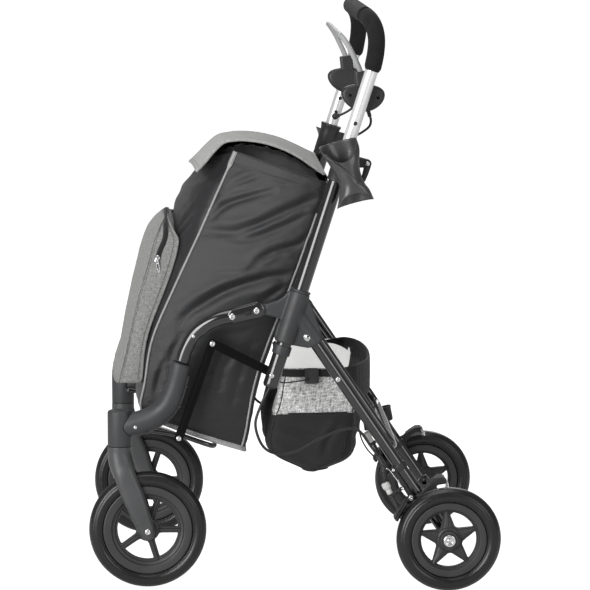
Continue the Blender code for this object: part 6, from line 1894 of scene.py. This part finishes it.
def coil(batch, line, r, wire, turns, sides=7):
    """A helical spring along a line."""
    line = even_path(line, 0.002)
    t_, a_, b__ = frames(line)
    n = int(turns * 18)
    f = np.linspace(0, len(line) - 1, n)
    idx = np.arange(len(line))
    get = lambda arr: np.stack([np.interp(f, idx, arr[:, k]) for k in range(3)], 1)
    ang = 2 * np.pi * turns * np.linspace(0, 1, n)
    pts = get(line) + r * (get(a_) * np.cos(ang)[:, None] + get(b__) * np.sin(ang)[:, None])
    batch.sweep(pts, wire, sides)


def rod(batch, a, b_, r, sides=24):
    """A straight pin with slightly rounded ends."""
    a, b_ = np.asarray(a, float), np.asarray(b_, float)
    L = np.linalg.norm(b_ - a)
    e = min(r * 0.35, L * 0.2)
    batch.add(*turn_data([(r * 0.02, 0.0), (r - e, 0.0), (r - e * 0.3, e * 0.3), (r, e), (r, L - e), (r - e * 0.3, L - e * 0.3), (r - e, L), (r * 0.02, L)], a, b_ - a, sides))


HUB_OUTLINE = [(-0.0090, 0.5130), (0.0060, 0.5134), (0.0215, 0.5080), (0.0265, 0.4920), (0.0340, 0.4700), (0.0475, 0.4350), (0.0468, 0.4290), (0.0400, 0.4225),
               (0.0280, 0.4150), (0.0215, 0.4142), (0.0090, 0.4165), (-0.0105, 0.4205), (-0.0350, 0.4285), (-0.0345, 0.4390), (-0.0300, 0.4530),
               (-0.0245, 0.4650), (-0.0430, 0.4690), (-0.0495, 0.4725), (-0.0505, 0.4805), (-0.0495, 0.4885), (-0.0430, 0.4915), (-0.0290, 0.4960), (-0.0200, 0.5020), (-0.0135, 0.5090)]
M0 = np.array([0.0110, 0.5145])
M_D = np.array([0.3048, 0.9524])
M_N = np.array([M_D[1], -M_D[0]])


def soft_max(a, b_, k):
    h = np.clip(0.5 + 0.5 * (a - b_) / k, 0, 1)
    return b_ * (1 - h) + a * h + k * h * (1 - h)


def hub_height(p, d_edge):
    """How far the casting's outer and inner faces stand out in X at (y, z)."""
    q = p - M0
    along, across = q @ M_D, q @ M_N
    main = np.sqrt(np.maximum(0.0169 ** 2 - across ** 2, 0))
    w = p - LEG_PIVOT
    la, lb = w @ LEG_D, w @ LEG_N - 0.0035
    fade = smoothstep(la, -0.072, -0.040)
    rr = 0.0150
    ridge = 0.2470 - 0.250 + np.sqrt(np.maximum(rr ** 2 - lb ** 2, 0)) * fade - 0.006 * (1 - fade)
    plate = np.full(len(p), 0.0062)
    boss = 0.0086 - np.maximum(0.0, np.linalg.norm(p - np.array([0.0219, 0.4340]), axis=1) - 0.0062) * 1.6
    out = soft_max(soft_max(main, plate, 0.0085), ridge, 0.0050)
    out = np.maximum(out, boss)
    e = 0.0036
    k = np.clip((e - d_edge) / e, 0, 1)
    roll = e * (1 - np.sqrt(np.maximum(1 - k ** 2, 0)))
    inner = soft_max(main - 0.0006, np.full(len(p), -0.0042), 0.0030)
    return 0.250 + out - roll, 0.250 - np.maximum(inner, -0.0042) + np.minimum(roll, 0.0016) * 0.5


hub_loop = rounded_outline(HUB_OUTLINE, 0.0045, 6)
step_ = 0.0016
gy, gz = np.meshgrid(np.arange(-0.055, 0.052, step_), np.arange(0.410, 0.518, step_), indexing="ij")
gy = gy + (np.arange(gy.shape[1]) % 2)[None] * step_ * 0.5
cand = np.stack([gy.ravel(), gz.ravel()], 1)


def edge_distance(p, loop):
    a, c = loop, np.roll(loop, -1, 0)
    best = np.full(len(p), 1e9)
    for k in range(len(loop)):
        d = c[k] - a[k]
        L = max(float(d @ d), 1e-12)
        t = np.clip(((p - a[k]) @ d) / L, 0, 1)
        best = np.minimum(best, np.linalg.norm(p - a[k] - t[:, None] * d, axis=1))
    return best


dense_loop = []
for k in range(len(hub_loop)):
    a, c = hub_loop[k], hub_loop[(k + 1) % len(hub_loop)]
    m_ = max(1, int(np.linalg.norm(c - a) / 0.0014))
    dense_loop += [a + (c - a) * i / m_ for i in range(m_)]
dense_loop = np.array(dense_loop)
if np.sum(dense_loop[:, 0] * np.roll(dense_loop[:, 1], -1) - dense_loop[:, 1] * np.roll(dense_loop[:, 0], -1)) < 0:
    dense_loop = dense_loop[::-1]
rings_ = [grown(dense_loop, -d) for d in (0.0003, 0.0010, 0.0019)]
keep_pts = [p for p, d in zip(cand, edge_distance(cand, dense_loop)) if d > 0.0026 and inside(p, dense_loop)]
flat_pts = np.concatenate([dense_loop, *rings_, np.array(keep_pts)])
n_loop = len(dense_loop)
_, _, hub_tri, _, _, _ = geometry.delaunay_2d_cdt([Vector((float(a), float(c))) for a, c in flat_pts], [(i, (i + 1) % n_loop) for i in range(n_loop)], [], 1, 0.0)
hub_tri = [tuple(f) for f in hub_tri]
hub_out, hub_in = hub_height(flat_pts, edge_distance(flat_pts, dense_loop))
hub_in = np.minimum(hub_in, hub_out - 0.0012)
for side, s in SIDES:
    batch = Batch()
    N_ = len(flat_pts)
    verts = [(x * s, y, z) for x, (y, z) in zip(hub_out, flat_pts)] + [(x * s, y, z) for x, (y, z) in zip(hub_in, flat_pts)]
    faces = []
    for f in hub_tri:
        up = (flat_pts[f[1]] - flat_pts[f[0]])
        vp = (flat_pts[f[2]] - flat_pts[f[0]])
        if up[0] * vp[1] - up[1] * vp[0] < 0:
            f = f[::-1]
        g = f if s > 0 else f[::-1]
        faces += [g, tuple(N_ + i for i in g[::-1])]
    for k in range(n_loop):
        q = (k, N_ + k, N_ + (k + 1) % n_loop, (k + 1) % n_loop)
        faces.append(q if s > 0 else q[::-1])
    batch.add(verts, faces)
    # a rolled lip at the sleeve's top end, and the ring below it
    top = np.array(on_axis(0.5118, 0.250 * s))
    batch.add(*turn_data([(0.0131, 0.0012), (0.0158, 0.0012), (0.0168, 0.0008), (0.0173, -0.0002), (0.0173, -0.0018), (0.0168, -0.0028), (0.0150, -0.0032)], top, MAIN_AXIS, 56))
    low_c = np.array(on_axis(0.4185, 0.250 * s))
    batch.add(*turn_data([(0.0131, -0.0158), (0.0146, -0.0158), (0.0152, -0.0153), (0.0155, -0.0144), (0.0155, -0.0010), (0.0150, 0.0004), (0.0131, 0.0006)], low_c, MAIN_AXIS, 56))
    end = np.array(leg(0.0140, 0.0030, 0.2470 * s))
    # tongue that carries the front tube's hinge
    slab(batch, pill((-0.0400, 0.4807), (-0.0637, 0.4795), 0.0100, 0.0090), 0.250 * s - 0.0055, 0.250 * s + 0.0055, 0.0012)
    o = batch.done(f"hub_casting_{side}", PLASTIC, "frame", "plastic")
    o.data.set_sharp_from_angle(angle=math.radians(58))
    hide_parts(f"hub_{side}")
    # main tube with its end plug
    batch = Batch()
    L = (0.7505 - 0.350) / 0.9524
    prof = [(0.0108, 0.0), (0.0122, 0.0), (0.0128, 0.0004), (0.0130, 0.0010)] + [(0.0130, h) for h in np.linspace(0.006, L - 0.006, 40)] + [
        (0.0130, L - 0.0008), (0.0127, L - 0.0002), (0.0121, L), (0.0118, L - 0.0004), (0.0117, L - 0.004), (0.0117, L - 0.060)]
    batch.add(*turn_data(prof, on_axis(0.350, 0.250 * s), MAIN_AXIS, 64))
    o = batch.done(f"main_tube_skin_{side}", BLACK_TUBE, "frame", "black_tube")
    o.data.set_sharp_from_angle(angle=math.radians(50))
    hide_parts(f"main_tube_{side}")
    plug = Batch()
    plug.add(*turn_data([(0.0032, -0.0030), (0.0090, -0.0030), (0.0109, -0.0024), (0.0118, -0.0012), (0.0119, 0.0002), (0.0100, 0.0004), (0.0032, 0.0010)], on_axis(0.350, 0.250 * s), MAIN_AXIS, 40))
    plug.add(*turn_data([(0.0024, -0.0052), (0.0031, -0.0050), (0.0036, -0.0040), (0.0036, -0.0026)], on_axis(0.350, 0.250 * s), MAIN_AXIS, 24))
    # spacer that carries the lower brace
    rod(plug, (0.2342 * s, *BRACE_LOW), (0.2400 * s, *BRACE_LOW), 0.0052)
    plug.done(f"main_tube_plug_{side}", DARK_PLASTIC, "frame", "plastic")
    # upper collar: clamp ears, flared mouth and the round boss beside it
    batch = Batch()
    L = (0.7531 - 0.6963) / 0.9524
    prof = [(0.0131, 0.0), (0.0152, 0.0), (0.0160, 0.0005), (0.0164, 0.0014), (0.0165, 0.0030), (0.0165, 0.0052), (0.0159, 0.0060), (0.0159, 0.0072), (0.0165, 0.0080),
            (0.0165, L - 0.0160), (0.0168, L - 0.0110), (0.0180, L - 0.0060), (0.0188, L - 0.0034), (0.0190, L - 0.0016), (0.0186, L - 0.0004), (0.0176, L), (0.0124, L),
            (0.0119, L - 0.0010), (0.0118, L - 0.010)]
    batch.add(*turn_data(prof, on_axis(0.6963, 0.250 * s), MAIN_AXIS, 64))
    for x0, x1 in ((-0.0072, -0.0032), (0.0032, 0.0072)):
        slab(batch, pill((0.0860, 0.7310), LEVER_PIVOT, 0.0115, 0.0068), 0.250 * s + x0 * s, 0.250 * s + x1 * s, 0.0010)
    slab(batch, pill((0.0860, 0.7310), LEVER_PIVOT, 0.0085, 0.0050), 0.250 * s - 0.0034, 0.250 * s + 0.0034, 0.0006)
    boss_c = np.array(on_axis(0.7150, 0.264 * s))
    batch.add(*turn_data([(0.0092, -0.004), (0.0092, 0.0004), (0.0086, 0.0020), (0.0080, 0.0032), (0.0072, 0.0040), (0.0058, 0.0042), (0.0052, 0.0036), (0.0002, 0.0036)], boss_c, (s, 0, 0), 36))
    o = batch.done(f"tube_collar_shell_{side}", DARK_PLASTIC, "frame", "plastic")
    o.data.set_sharp_from_angle(angle=math.radians(40))
    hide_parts(f"tube_collar_{side}")
    # quick release lever with its cam; its chrome pivot bolt is made with the other chrome bits
    batch = Batch()
    lever = [(0.1150, 0.7325), (0.1215, 0.7331), (0.1268, 0.7304), (0.1284, 0.7256), (0.1262, 0.7180), (0.1228, 0.7085), (0.1186, 0.6985), (0.1152, 0.6934), (0.1118, 0.6932), (0.1096, 0.6958),
             (0.1102, 0.7010), (0.1128, 0.7092), (0.1146, 0.7170), (0.1146, 0.7240)]
    slab(batch, rounded_outline(lever, 0.0030, 5), 0.2576 * s, 0.2540 * s, 0.0011)
    slab(batch, pill((0.1205, 0.7190), (0.1130, 0.6985), 0.0024, 0.0020), 0.2590 * s, 0.2568 * s, 0.0006)
    o = batch.done(f"height_lever_arm_{side}", DARK_PLASTIC, f"height_lever_{side}", "plastic")
    o.data.set_sharp_from_angle(angle=math.radians(40))
    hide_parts(f"height_lever_{side}")

# rear legs
LEG_BOLTS = {}
for side, s in SIDES:
    batch = Batch()
    a_, e_ = np.array(leg(0.0, 0.0, LEG_X * s)), np.array(leg(LEG_LEN, 0.0, LEG_X * s))
    L = LEG_LEN
    prof = [(0.0002, -0.0098), (0.0030, -0.0094), (0.0060, -0.0078), (0.0084, -0.0050), (0.0096, -0.0022), (0.0100, 0.0010)] + [(0.0100, h) for h in np.linspace(0.008, L - 0.004, 44)]
    batch.add(*turn_data(prof, a_, LEG_AXIS, 56))
    # flattened foot round the axle
    prof = [(0.0050, -0.0099), (0.0098, -0.0099), (0.0114, -0.0097), (0.0126, -0.0088), (0.0130, -0.0074), (0.0130, 0.0074), (0.0126, 0.0088), (0.0114, 0.0097), (0.0098, 0.0099), (0.0050, 0.0099)]
    batch.add(*turn_data(prof, (LEG_X * s, AXLE[0], AXLE[1]), (s, 0, 0), 48))
    o = batch.done(f"rear_leg_tube_{side}", BLACK_TUBE, "rear_legs", "black_tube")
    o.data.set_sharp_from_angle(angle=math.radians(50))
    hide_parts(f"rear_leg_{side}")
    bits = Batch()
    place = np.array(leg(0.0868, -0.0028, 0.2532 * s))
    bolt(bits, place, (s, 0, 0), 0.0046, 24, 0.0022)
    bolt(bits, np.array([0.2534 * s, AXLE[0] - 0.0, AXLE[1]]), (s, 0, 0), 0.0060, 6, 0.0040, False)
    rod(bits, np.array([0.2330 * s, *LEG_PIVOT]), np.array([0.2610 * s, *LEG_PIVOT]), 0.0040)
    o = bits.done(f"rear_leg_bolts_{side}", CHROME, "rear_legs", "chrome")
    o.data.set_sharp_from_angle(angle=math.radians(32))

CROSS = [leg(.016, .0092, .2230), leg(.060, .0092, .2230), leg(.120, .0092, .2230), leg(.190, .0092, .2230), leg(.215, .0092, .2230), leg(.2335, .0092, .2180), leg(.2420, .0092, .2020), leg(.2425, .0092, .1800), leg(.2425, .0092, .1200), leg(.2425, .0092, .0400)]
o = tube("rear_cross_tube_bent", even_path(both_sides(CROSS), 0.004), 0.0072, BLACK_TUBE, "rear_legs", 40)
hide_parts("rear_cross_tube")
ties = Batch()
for side, s in SIDES:
    for a in (0.045, 0.170):
        rod(ties, leg(a, 0.0045, 0.2236 * s), leg(a, 0.0012, 0.2352 * s), 0.0036)
    c = np.array(leg(0.0115, 0.0092, 0.2230 * s))
    ties.add(*turn_data([(0.0002, -0.0010), (0.0050, -0.0010), (0.0068, 0.0002), (0.0077, 0.0020), (0.0077, 0.0080), (0.0073, 0.0086)], c, LEG_AXIS, 32))
ties.done("rear_cross_tube_caps", DARK_PLASTIC, "rear_legs", "plastic")

# bag support rail with its studs and end lugs
RAIL = [(.1995, -.2900, .2706), (.1995, -.2500, .2662), (.1995, -.1965, .2572), (.1995, -.1650, .2467), (.1965, -.1450, .2393), (.1860, -.1370, .2360), (.1650, -.1350, .2349), (.1000, -.1350, .2341), (.0400, -.1350, .2339)]
o = tube("bag_support_rail_bent", even_path(both_sides(RAIL), 0.004), 0.0043, BLACK_TUBE, "front_frame", 28)
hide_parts("bag_support_rail")
lugs = Batch()
for side, s in SIDES:
    rod(lugs, (0.1985 * s, *BRACE_RAIL), (0.2264 * s, *BRACE_RAIL), 0.0040)
    slab(lugs, rounded_outline([(-0.2935, 0.2650), (-0.2785, 0.2640), (-0.2785, 0.2740), (-0.2935, 0.2750)], 0.003, 5), 0.1998 * s, 0.2052 * s, 0.0007)
lugs.done("bag_support_rail_lugs", DARK_PLASTIC, "front_frame", "plastic")

# folding braces: pressed steel strips with a raised rib, and their rivets
for side, s in SIDES:
    for name, a, b_, x0, x1, body, node_name in (("brace_rear", BRACE_LOW, BRACE_KNEE, 0.2310, 0.2338, f"brace_rear_{side}", f"brace_rear_{side}"),
                                                 ("brace_front", BRACE_RAIL, BRACE_KNEE, 0.2266, 0.2294, f"brace_front_{side}", f"brace_front_{side}")):
        batch = Batch()
        slab(batch, pill(a, b_, 0.0076, 0.0076), x0 * s, x1 * s, 0.0006)
        u = (np.array(b_) - np.array(a)) / np.linalg.norm(np.array(b_) - np.array(a))
        slab(batch, pill(np.array(a) + u * 0.017, np.array(b_) - u * 0.017, 0.0024, 0.0024), (x1 - 0.0008) * s, (x1 + 0.0006) * s, 0.0006)
        o = batch.done(f"{name}_strip_{side}", STEEL, body, "flat_steel")
        o.data.set_sharp_from_angle(angle=math.radians(40))
        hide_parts(node_name)

chrome_bits = (
    ("brace_knee_rivet", (0.2340, *BRACE_KNEE), 0.0052, "brace_rear_{}", 28),
    ("brace_low_bolt", (0.2626, -0.0395, 0.3690), 0.0046, "frame", 28),
    ("brace_rail_rivet", (0.2292, *BRACE_RAIL), 0.0048, "brace_front_{}", 28),
    ("hub_pivot_bolt", (0.2584, 0.0219, 0.4340), 0.0058, "frame", 28),
    ("front_tube_screw", (0.2553, -0.1712, 0.4354), 0.0030, "front_frame", 20),
    ("elbow_screw", (0.2462, -0.2700, 0.2790), 0.0032, "front_frame", 20),
    ("lever_pivot_bolt", (0.2574, *LEVER_PIVOT), 0.0040, "frame", 24),
)
for side, s in SIDES:
    for name, place, r, body, n_ in chrome_bits:
        batch = Batch()
        place = np.array(place) * np.array([s, 1, 1])
        bolt(batch, place, (s, 0, 0), r, n_, r * 0.5)
        if name == "brace_knee_rivet":
            rod(batch, place - np.array([0.0090 * s, 0, 0]), place - np.array([0.0004 * s, 0, 0]), 0.0040)
        if name == "hub_pivot_bolt":
            batch.add(*turn_data([(0.0056, -0.0006), (0.0074, -0.0004), (0.0075, 0.0004), (0.0070, 0.0008), (0.0056, 0.0008)], place, (s, 0, 0), 32))
        o = batch.done(f"{name}_{side}", CHROME, body.format(side), "chrome")
        o.data.set_sharp_from_angle(angle=math.radians(32))

# rear brakes
for side, s in SIDES:
    lg = lambda a, b_, x=0.2485: np.array(leg(a, b_, x * s))
    batch = Batch()
    X0, X1 = 0.2452 * s, 0.2508 * s
    slab(batch, rounded_outline([leg(.262, -.0080)[1:], leg(.2655, -.0148)[1:], leg(.334, -.0175)[1:], leg(.340, -.0080)[1:]], 0.002, 4), X0, X1, 0.0008)
    slab(batch, rounded_outline([leg(.2660, -.0110)[1:], leg(.2740, -.0320)[1:], leg(.2810, -.0330)[1:], leg(.2745, -.0110)[1:]], 0.002, 4), X0, X1, 0.0008)
    slab(batch, rounded_outline([leg(.3015, -.0120)[1:], leg(.3015, -.0445)[1:], leg(.3075, -.0450)[1:], leg(.3072, -.0120)[1:]], 0.002, 4), X0, X1, 0.0008)
    slab(batch, rounded_outline([leg(.3030, -.0280)[1:], leg(.3330, -.0262)[1:], leg(.3340, -.0310)[1:], leg(.3040, -.0330)[1:]], 0.002, 4), X0, X1, 0.0008)
    slab(batch, rounded_outline([leg(.3285, -.0090)[1:], leg(.3300, -.0310)[1:], leg(.3345, -.0305)[1:], leg(.3345, -.0090)[1:]], 0.002, 4), X0, X1, 0.0008)
    # half saddle on the tube
    batch.add(*turn_data([(0.0101, -0.0), (0.0112, 0.0002), (0.0116, 0.0010), (0.0116, 0.0110), (0.0112, 0.0118), (0.0101, 0.0120)], lg(0.2660, 0.0, LEG_X), LEG_AXIS, 44))
    batch.add(*turn_data([(0.0101, -0.0), (0.0112, 0.0002), (0.0116, 0.0010), (0.0116, 0.0090), (0.0112, 0.0098), (0.0101, 0.0100)], lg(0.3270, 0.0, LEG_X), LEG_AXIS, 44))
    # bowed guard in front of the cable
    bow = even_path([lg(.2500, -.0290), lg(.2560, -.0365), lg(.2640, -.0430), lg(.2740, -.0482), lg(.2903, -.0528), lg(.3064, -.0540), lg(.3219, -.0522), lg(.3380, -.0480), lg(.3450, -.0440)], 0.002)
    batch.sweep(bow, 0.0022, 20, shape=(2.1, 0.62), guide=(1, 0, 0))
    # cable stop, the barrel's socket and the stud that carries the shoe
    rod(batch, lg(.2600, -.0262), lg(.2780, -.0345), 0.0046)
    batch.add(*turn_data([(0.0030, 0.0), (0.0052, 0.0002), (0.0056, 0.0010), (0.0056, 0.0040), (0.0052, 0.0050), (0.0046, 0.0052)], lg(.2600, -.0262), lg(.2780, -.0345) - lg(.2600, -.0262), 30))
    rod(batch, lg(.3385, -.0420), lg(.3465, -.0430), 0.0048)
    rod(batch, lg(.325, -.0142, 0.2470), lg(.325, -.0142, 0.2562), 0.0044)
    rod(batch, lg(.2815, -.0370, 0.2485), lg(.3400, -.0420, 0.2485), 0.0022)
    o = batch.done(f"brake_bracket_plate_{side}", DARK_PLASTIC, "rear_legs", "plastic")
    o.data.set_sharp_from_angle(angle=math.radians(40))
    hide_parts(f"brake_bracket_{side}")
    # white adjuster in two steps, with a notched thumb ring
    batch = Batch()
    a, e_ = lg(.2795, -.0372), lg(.3020, -.0398)
    prof = [(0.0024, 0.0), (0.0056, 0.0002), (0.0062, 0.0008), (0.0062, 0.0112), (0.0058, 0.0120), (0.0046, 0.0124), (0.0046, 0.0132), (0.0050, 0.0138), (0.0050, 0.0208), (0.0046, 0.0216), (0.0024, 0.0218)]
    batch.add(*turn_data(prof, a, e_ - a, 32))
    ax_ = (e_ - a) / np.linalg.norm(e_ - a)
    side_ = np.cross(ax_, [1.0, 0, 0])
    for k in range(12):
        t = 2 * math.pi * k / 12
        c = a + ax_ * 0.0060 + (np.array([1.0, 0, 0]) * math.cos(t) + side_ * math.sin(t)) * 0.0061
        batch.sweep([c - ax_ * 0.0046, c - ax_ * 0.0040, c + ax_ * 0.0040, c + ax_ * 0.0046], [0.0003, 0.0009, 0.0009, 0.0003], 8)
    o = batch.done(f"brake_adjuster_{side}", WHITE_PLASTIC, "rear_legs", "plastic")
    o.data.set_sharp_from_angle(angle=math.radians(40))
    # springs and the bare wire between cable and clamp
    batch = Batch()
    coil(batch, [lg(.2340, -.0205), lg(.2450, -.0208), lg(.2560, -.0235), lg(.2615, -.0262)], 0.0041, 0.00075, 13)
    coil(batch, [lg(.3035, -.0400), lg(.3200, -.0408), lg(.3390, -.0420)], 0.0043, 0.00085, 12)
    o = batch.done(f"brake_springs_{side}", STEEL_WIRE, "rear_legs", "chrome")
    batch = Batch()
    batch.sweep(even_path([lg(.2640, -.0180, 0.2510), lg(.2850, -.0170, 0.2515), lg(.3055, -.0165, 0.2515)], 0.004), 0.0008, 8)
    batch.sweep(even_path([lg(.2600, -.0215, 0.2500), lg(.2630, -.0190, 0.2508), lg(.2660, -.0178, 0.2512)], 0.001), 0.0012, 8)
    rod(batch, lg(.3045, -.0168, 0.2500), lg(.3045, -.0168, 0.2540), 0.0026)
    bolt(batch, lg(.3045, -.0168, 0.2540), (s, 0, 0), 0.0026, 20, 0.0014)
    bolt(batch, lg(.2700, -.0125, 0.2506), (s, 0, 0), 0.0030, 20, 0.0016)
    bolt(batch, lg(.325, -.0142, 0.2592), (s, 0, 0), 0.0046, 28, 0.0024)
    o = batch.done(f"brake_wire_{side}", CHROME, "rear_legs", "chrome")
    # brake shoe: arm, stub and a block curved to the tyre
    toward = AXLE - np.array(leg(.3292, -.0409)[1:])
    toward /= np.linalg.norm(toward)
    pad_at = AXLE - toward * 0.0962
    t0 = math.atan2(-toward[1], -toward[0])
    batch = Batch()
    slab(batch, pill(leg(.325, -.0142)[1:], pad_at, 0.0064, 0.0044), 0.2552 * s, 0.2588 * s, 0.0009)
    slab(batch, pill(np.array(leg(.325, -.0142)[1:]) * 0.8 + pad_at * 0.2, pad_at, 0.0020, 0.0016), 0.2582 * s, 0.2600 * s, 0.0007)
    rod(batch, (0.2560 * s, *pad_at), (0.2650 * s, *pad_at), 0.0040)
    spread = np.linspace(-0.165, 0.165, 14)
    back_ = [polar(0.1004, t0 + t) for t in spread]
    fore = [polar(0.0972, t0 + t) for t in spread[::-1]]
    slab(batch, rounded_outline(back_ + fore, 0.0010, 3), 0.2612 * s, 0.2848 * s, 0.0009)
    o = batch.done(f"brake_shoe_arm_{side}", DARK_PLASTIC, f"brake_shoe_{side}", "plastic")
    o.data.set_sharp_from_angle(angle=math.radians(40))
    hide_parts(f"brake_shoe_{side}")
    batch = Batch()
    spread = np.linspace(-0.185, 0.185, 16)
    back_ = [polar(0.0974, t0 + t) for t in spread]
    fore = [polar(0.0922, t0 + t) for t in spread[::-1]]
    slab(batch, rounded_outline(back_ + fore, 0.0012, 3), 0.2616 * s, 0.2844 * s, 0.0010)
    o = batch.done(f"brake_shoe_pad_{side}", RUBBER, f"brake_shoe_{side}", "rubber")
    o.data.set_sharp_from_angle(angle=math.radians(40))
    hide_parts(f"brake_shoe_{side}")
    # tilting pedal: a curved fin with a turned tread
    fin = [(.2080, .1545), (.2140, .1632), (.2200, .1715), (.2260, .1785), (.2325, .1850), (.2380, .1885), (.2430, .1912), (.2510, .1922), (.2560, .1902), (.2585, .1850),
           (.2575, .1806), (.2520, .1795), (.2440, .1782), (.2360, .1725), (.2300, .1640), (.2240, .1545), (.2200, .1480), (.2180, .1380), (.2130, .1450)]
    batch = Batch()
    slab(batch, rounded_outline(fin, 0.0022, 4), 0.2540 * s, 0.2580 * s, 0.0012)
    tread = [(.2250, .1795), (.2310, .1842), (.2370, .1882), (.2430, .1914), (.2510, .1924), (.2552, .1912), (.2546, .1890), (.2500, .1894), (.2436, .1884), (.2380, .1858), (.2330, .1822), (.2262, .1770)]
    slab(batch, rounded_outline(tread, 0.0010, 3), 0.2310 * s, 0.2562 * s, 0.0010)
    for k in range(5):
        y0, z0 = 0.2420 + k * 0.0022, 0.1916 + (0.0004, 0.0007, 0.0009, 0.0009, 0.0006)[k]
        batch.sweep([(0.2330 * s, y0, z0), (0.2334 * s, y0, z0 + 0.0003), (0.2536 * s, y0, z0 + 0.0003), (0.2540 * s, y0, z0)], [0.0002, 0.0006, 0.0006, 0.0002], 8)
    o = batch.done(f"tilt_pedal_fin_{side}", DARK_PLASTIC, "rear_legs", "plastic")
    o.data.set_sharp_from_angle(angle=math.radians(40))
    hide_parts(f"tilt_pedal_{side}")
    batch = Batch()
    bolt(batch, np.array([0.2578 * s, 0.2165, 0.1560]), (s, 0, 0), 0.0034, 20, 0.0018)
    coil(batch, [(0.2500 * s, 0.2540, 0.1880), (0.2500 * s, 0.2575, 0.1800), (0.2500 * s, 0.2590, 0.1730)], 0.0030, 0.0006, 7)
    batch.done(f"tilt_pedal_spring_{side}", CHROME, "rear_legs", "chrome")

# cup for the foot of a walking stick, on the far leg
cup_a, cup_b = np.array([-0.2680, 0.1945, 0.1985]), np.array([-0.2680, 0.1872, 0.2255])
L = float(np.linalg.norm(cup_b - cup_a))
batch = Batch()
batch.add(*turn_data([(0.0002, 0.0), (0.0070, 0.0), (0.0088, 0.0006), (0.0096, 0.0020), (0.0102, 0.0070), (0.0114, L - 0.0040), (0.0118, L - 0.0034), (0.0121, L - 0.0020), (0.0121, L - 0.0006),
                      (0.0116, L), (0.0106, L), (0.0101, L - 0.0008), (0.0082, 0.0036), (0.0002, 0.0030)], cup_a, cup_b - cup_a, 48))
slab(batch, rounded_outline([(0.1770, 0.2055), (0.1900, 0.2055), (0.1900, 0.2185), (0.1770, 0.2185)], 0.003, 5), -0.2595, -0.2525, 0.0012)
o = batch.done("stick_foot_cup_shell", DARK_PLASTIC, "rear_legs", "plastic")
o.data.set_sharp_from_angle(angle=math.radians(40))
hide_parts("stick_foot_cup_right")

# lower brake cables: out of the main tube's foot and back to the brake
for side, s in SIDES:
    pts = [on_axis(.3560), on_axis(.3470), (.2500, -.0580, .3150), (.2485, -.0668, .2820), (.2480, -.0550, .2470), (.2480, -.0320, .2330), (.2480, .0010, .2370),
           (.2480, .0420, .2580), (.2480, .0810, .2735), (.2480, .1080, .2715), leg(.2150, -.0212, .2480), leg(.2360, -.0203, .2485), leg(.2500, -.0217, .2485), leg(.2620, -.0268, .2485)]
    p = even_path(flip_x(pts, s), 0.0040)
    o = tube(f"lower_brake_cable_{side}", p, 0.0024, CABLE, None, 14)
    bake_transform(o)
    line_length(p)
    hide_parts(f"brake_cable_{side}")

# dark snap button on each handle tube
buttons = Batch()
for side, s in SIDES:
    c = np.array(on_axis(0.7940, 0.250 * s)) + np.array([s * 0.0108, 0, 0])
    buttons.add(*turn_data([(0.0036, -0.0006), (0.0036, 0.0002), (0.0030, 0.0011), (0.0018, 0.0016), (0.0002, 0.0017)], c, (s, 0, 0), 24))
buttons.done("push_bar_buttons", DARK_PLASTIC, "handle", "plastic")
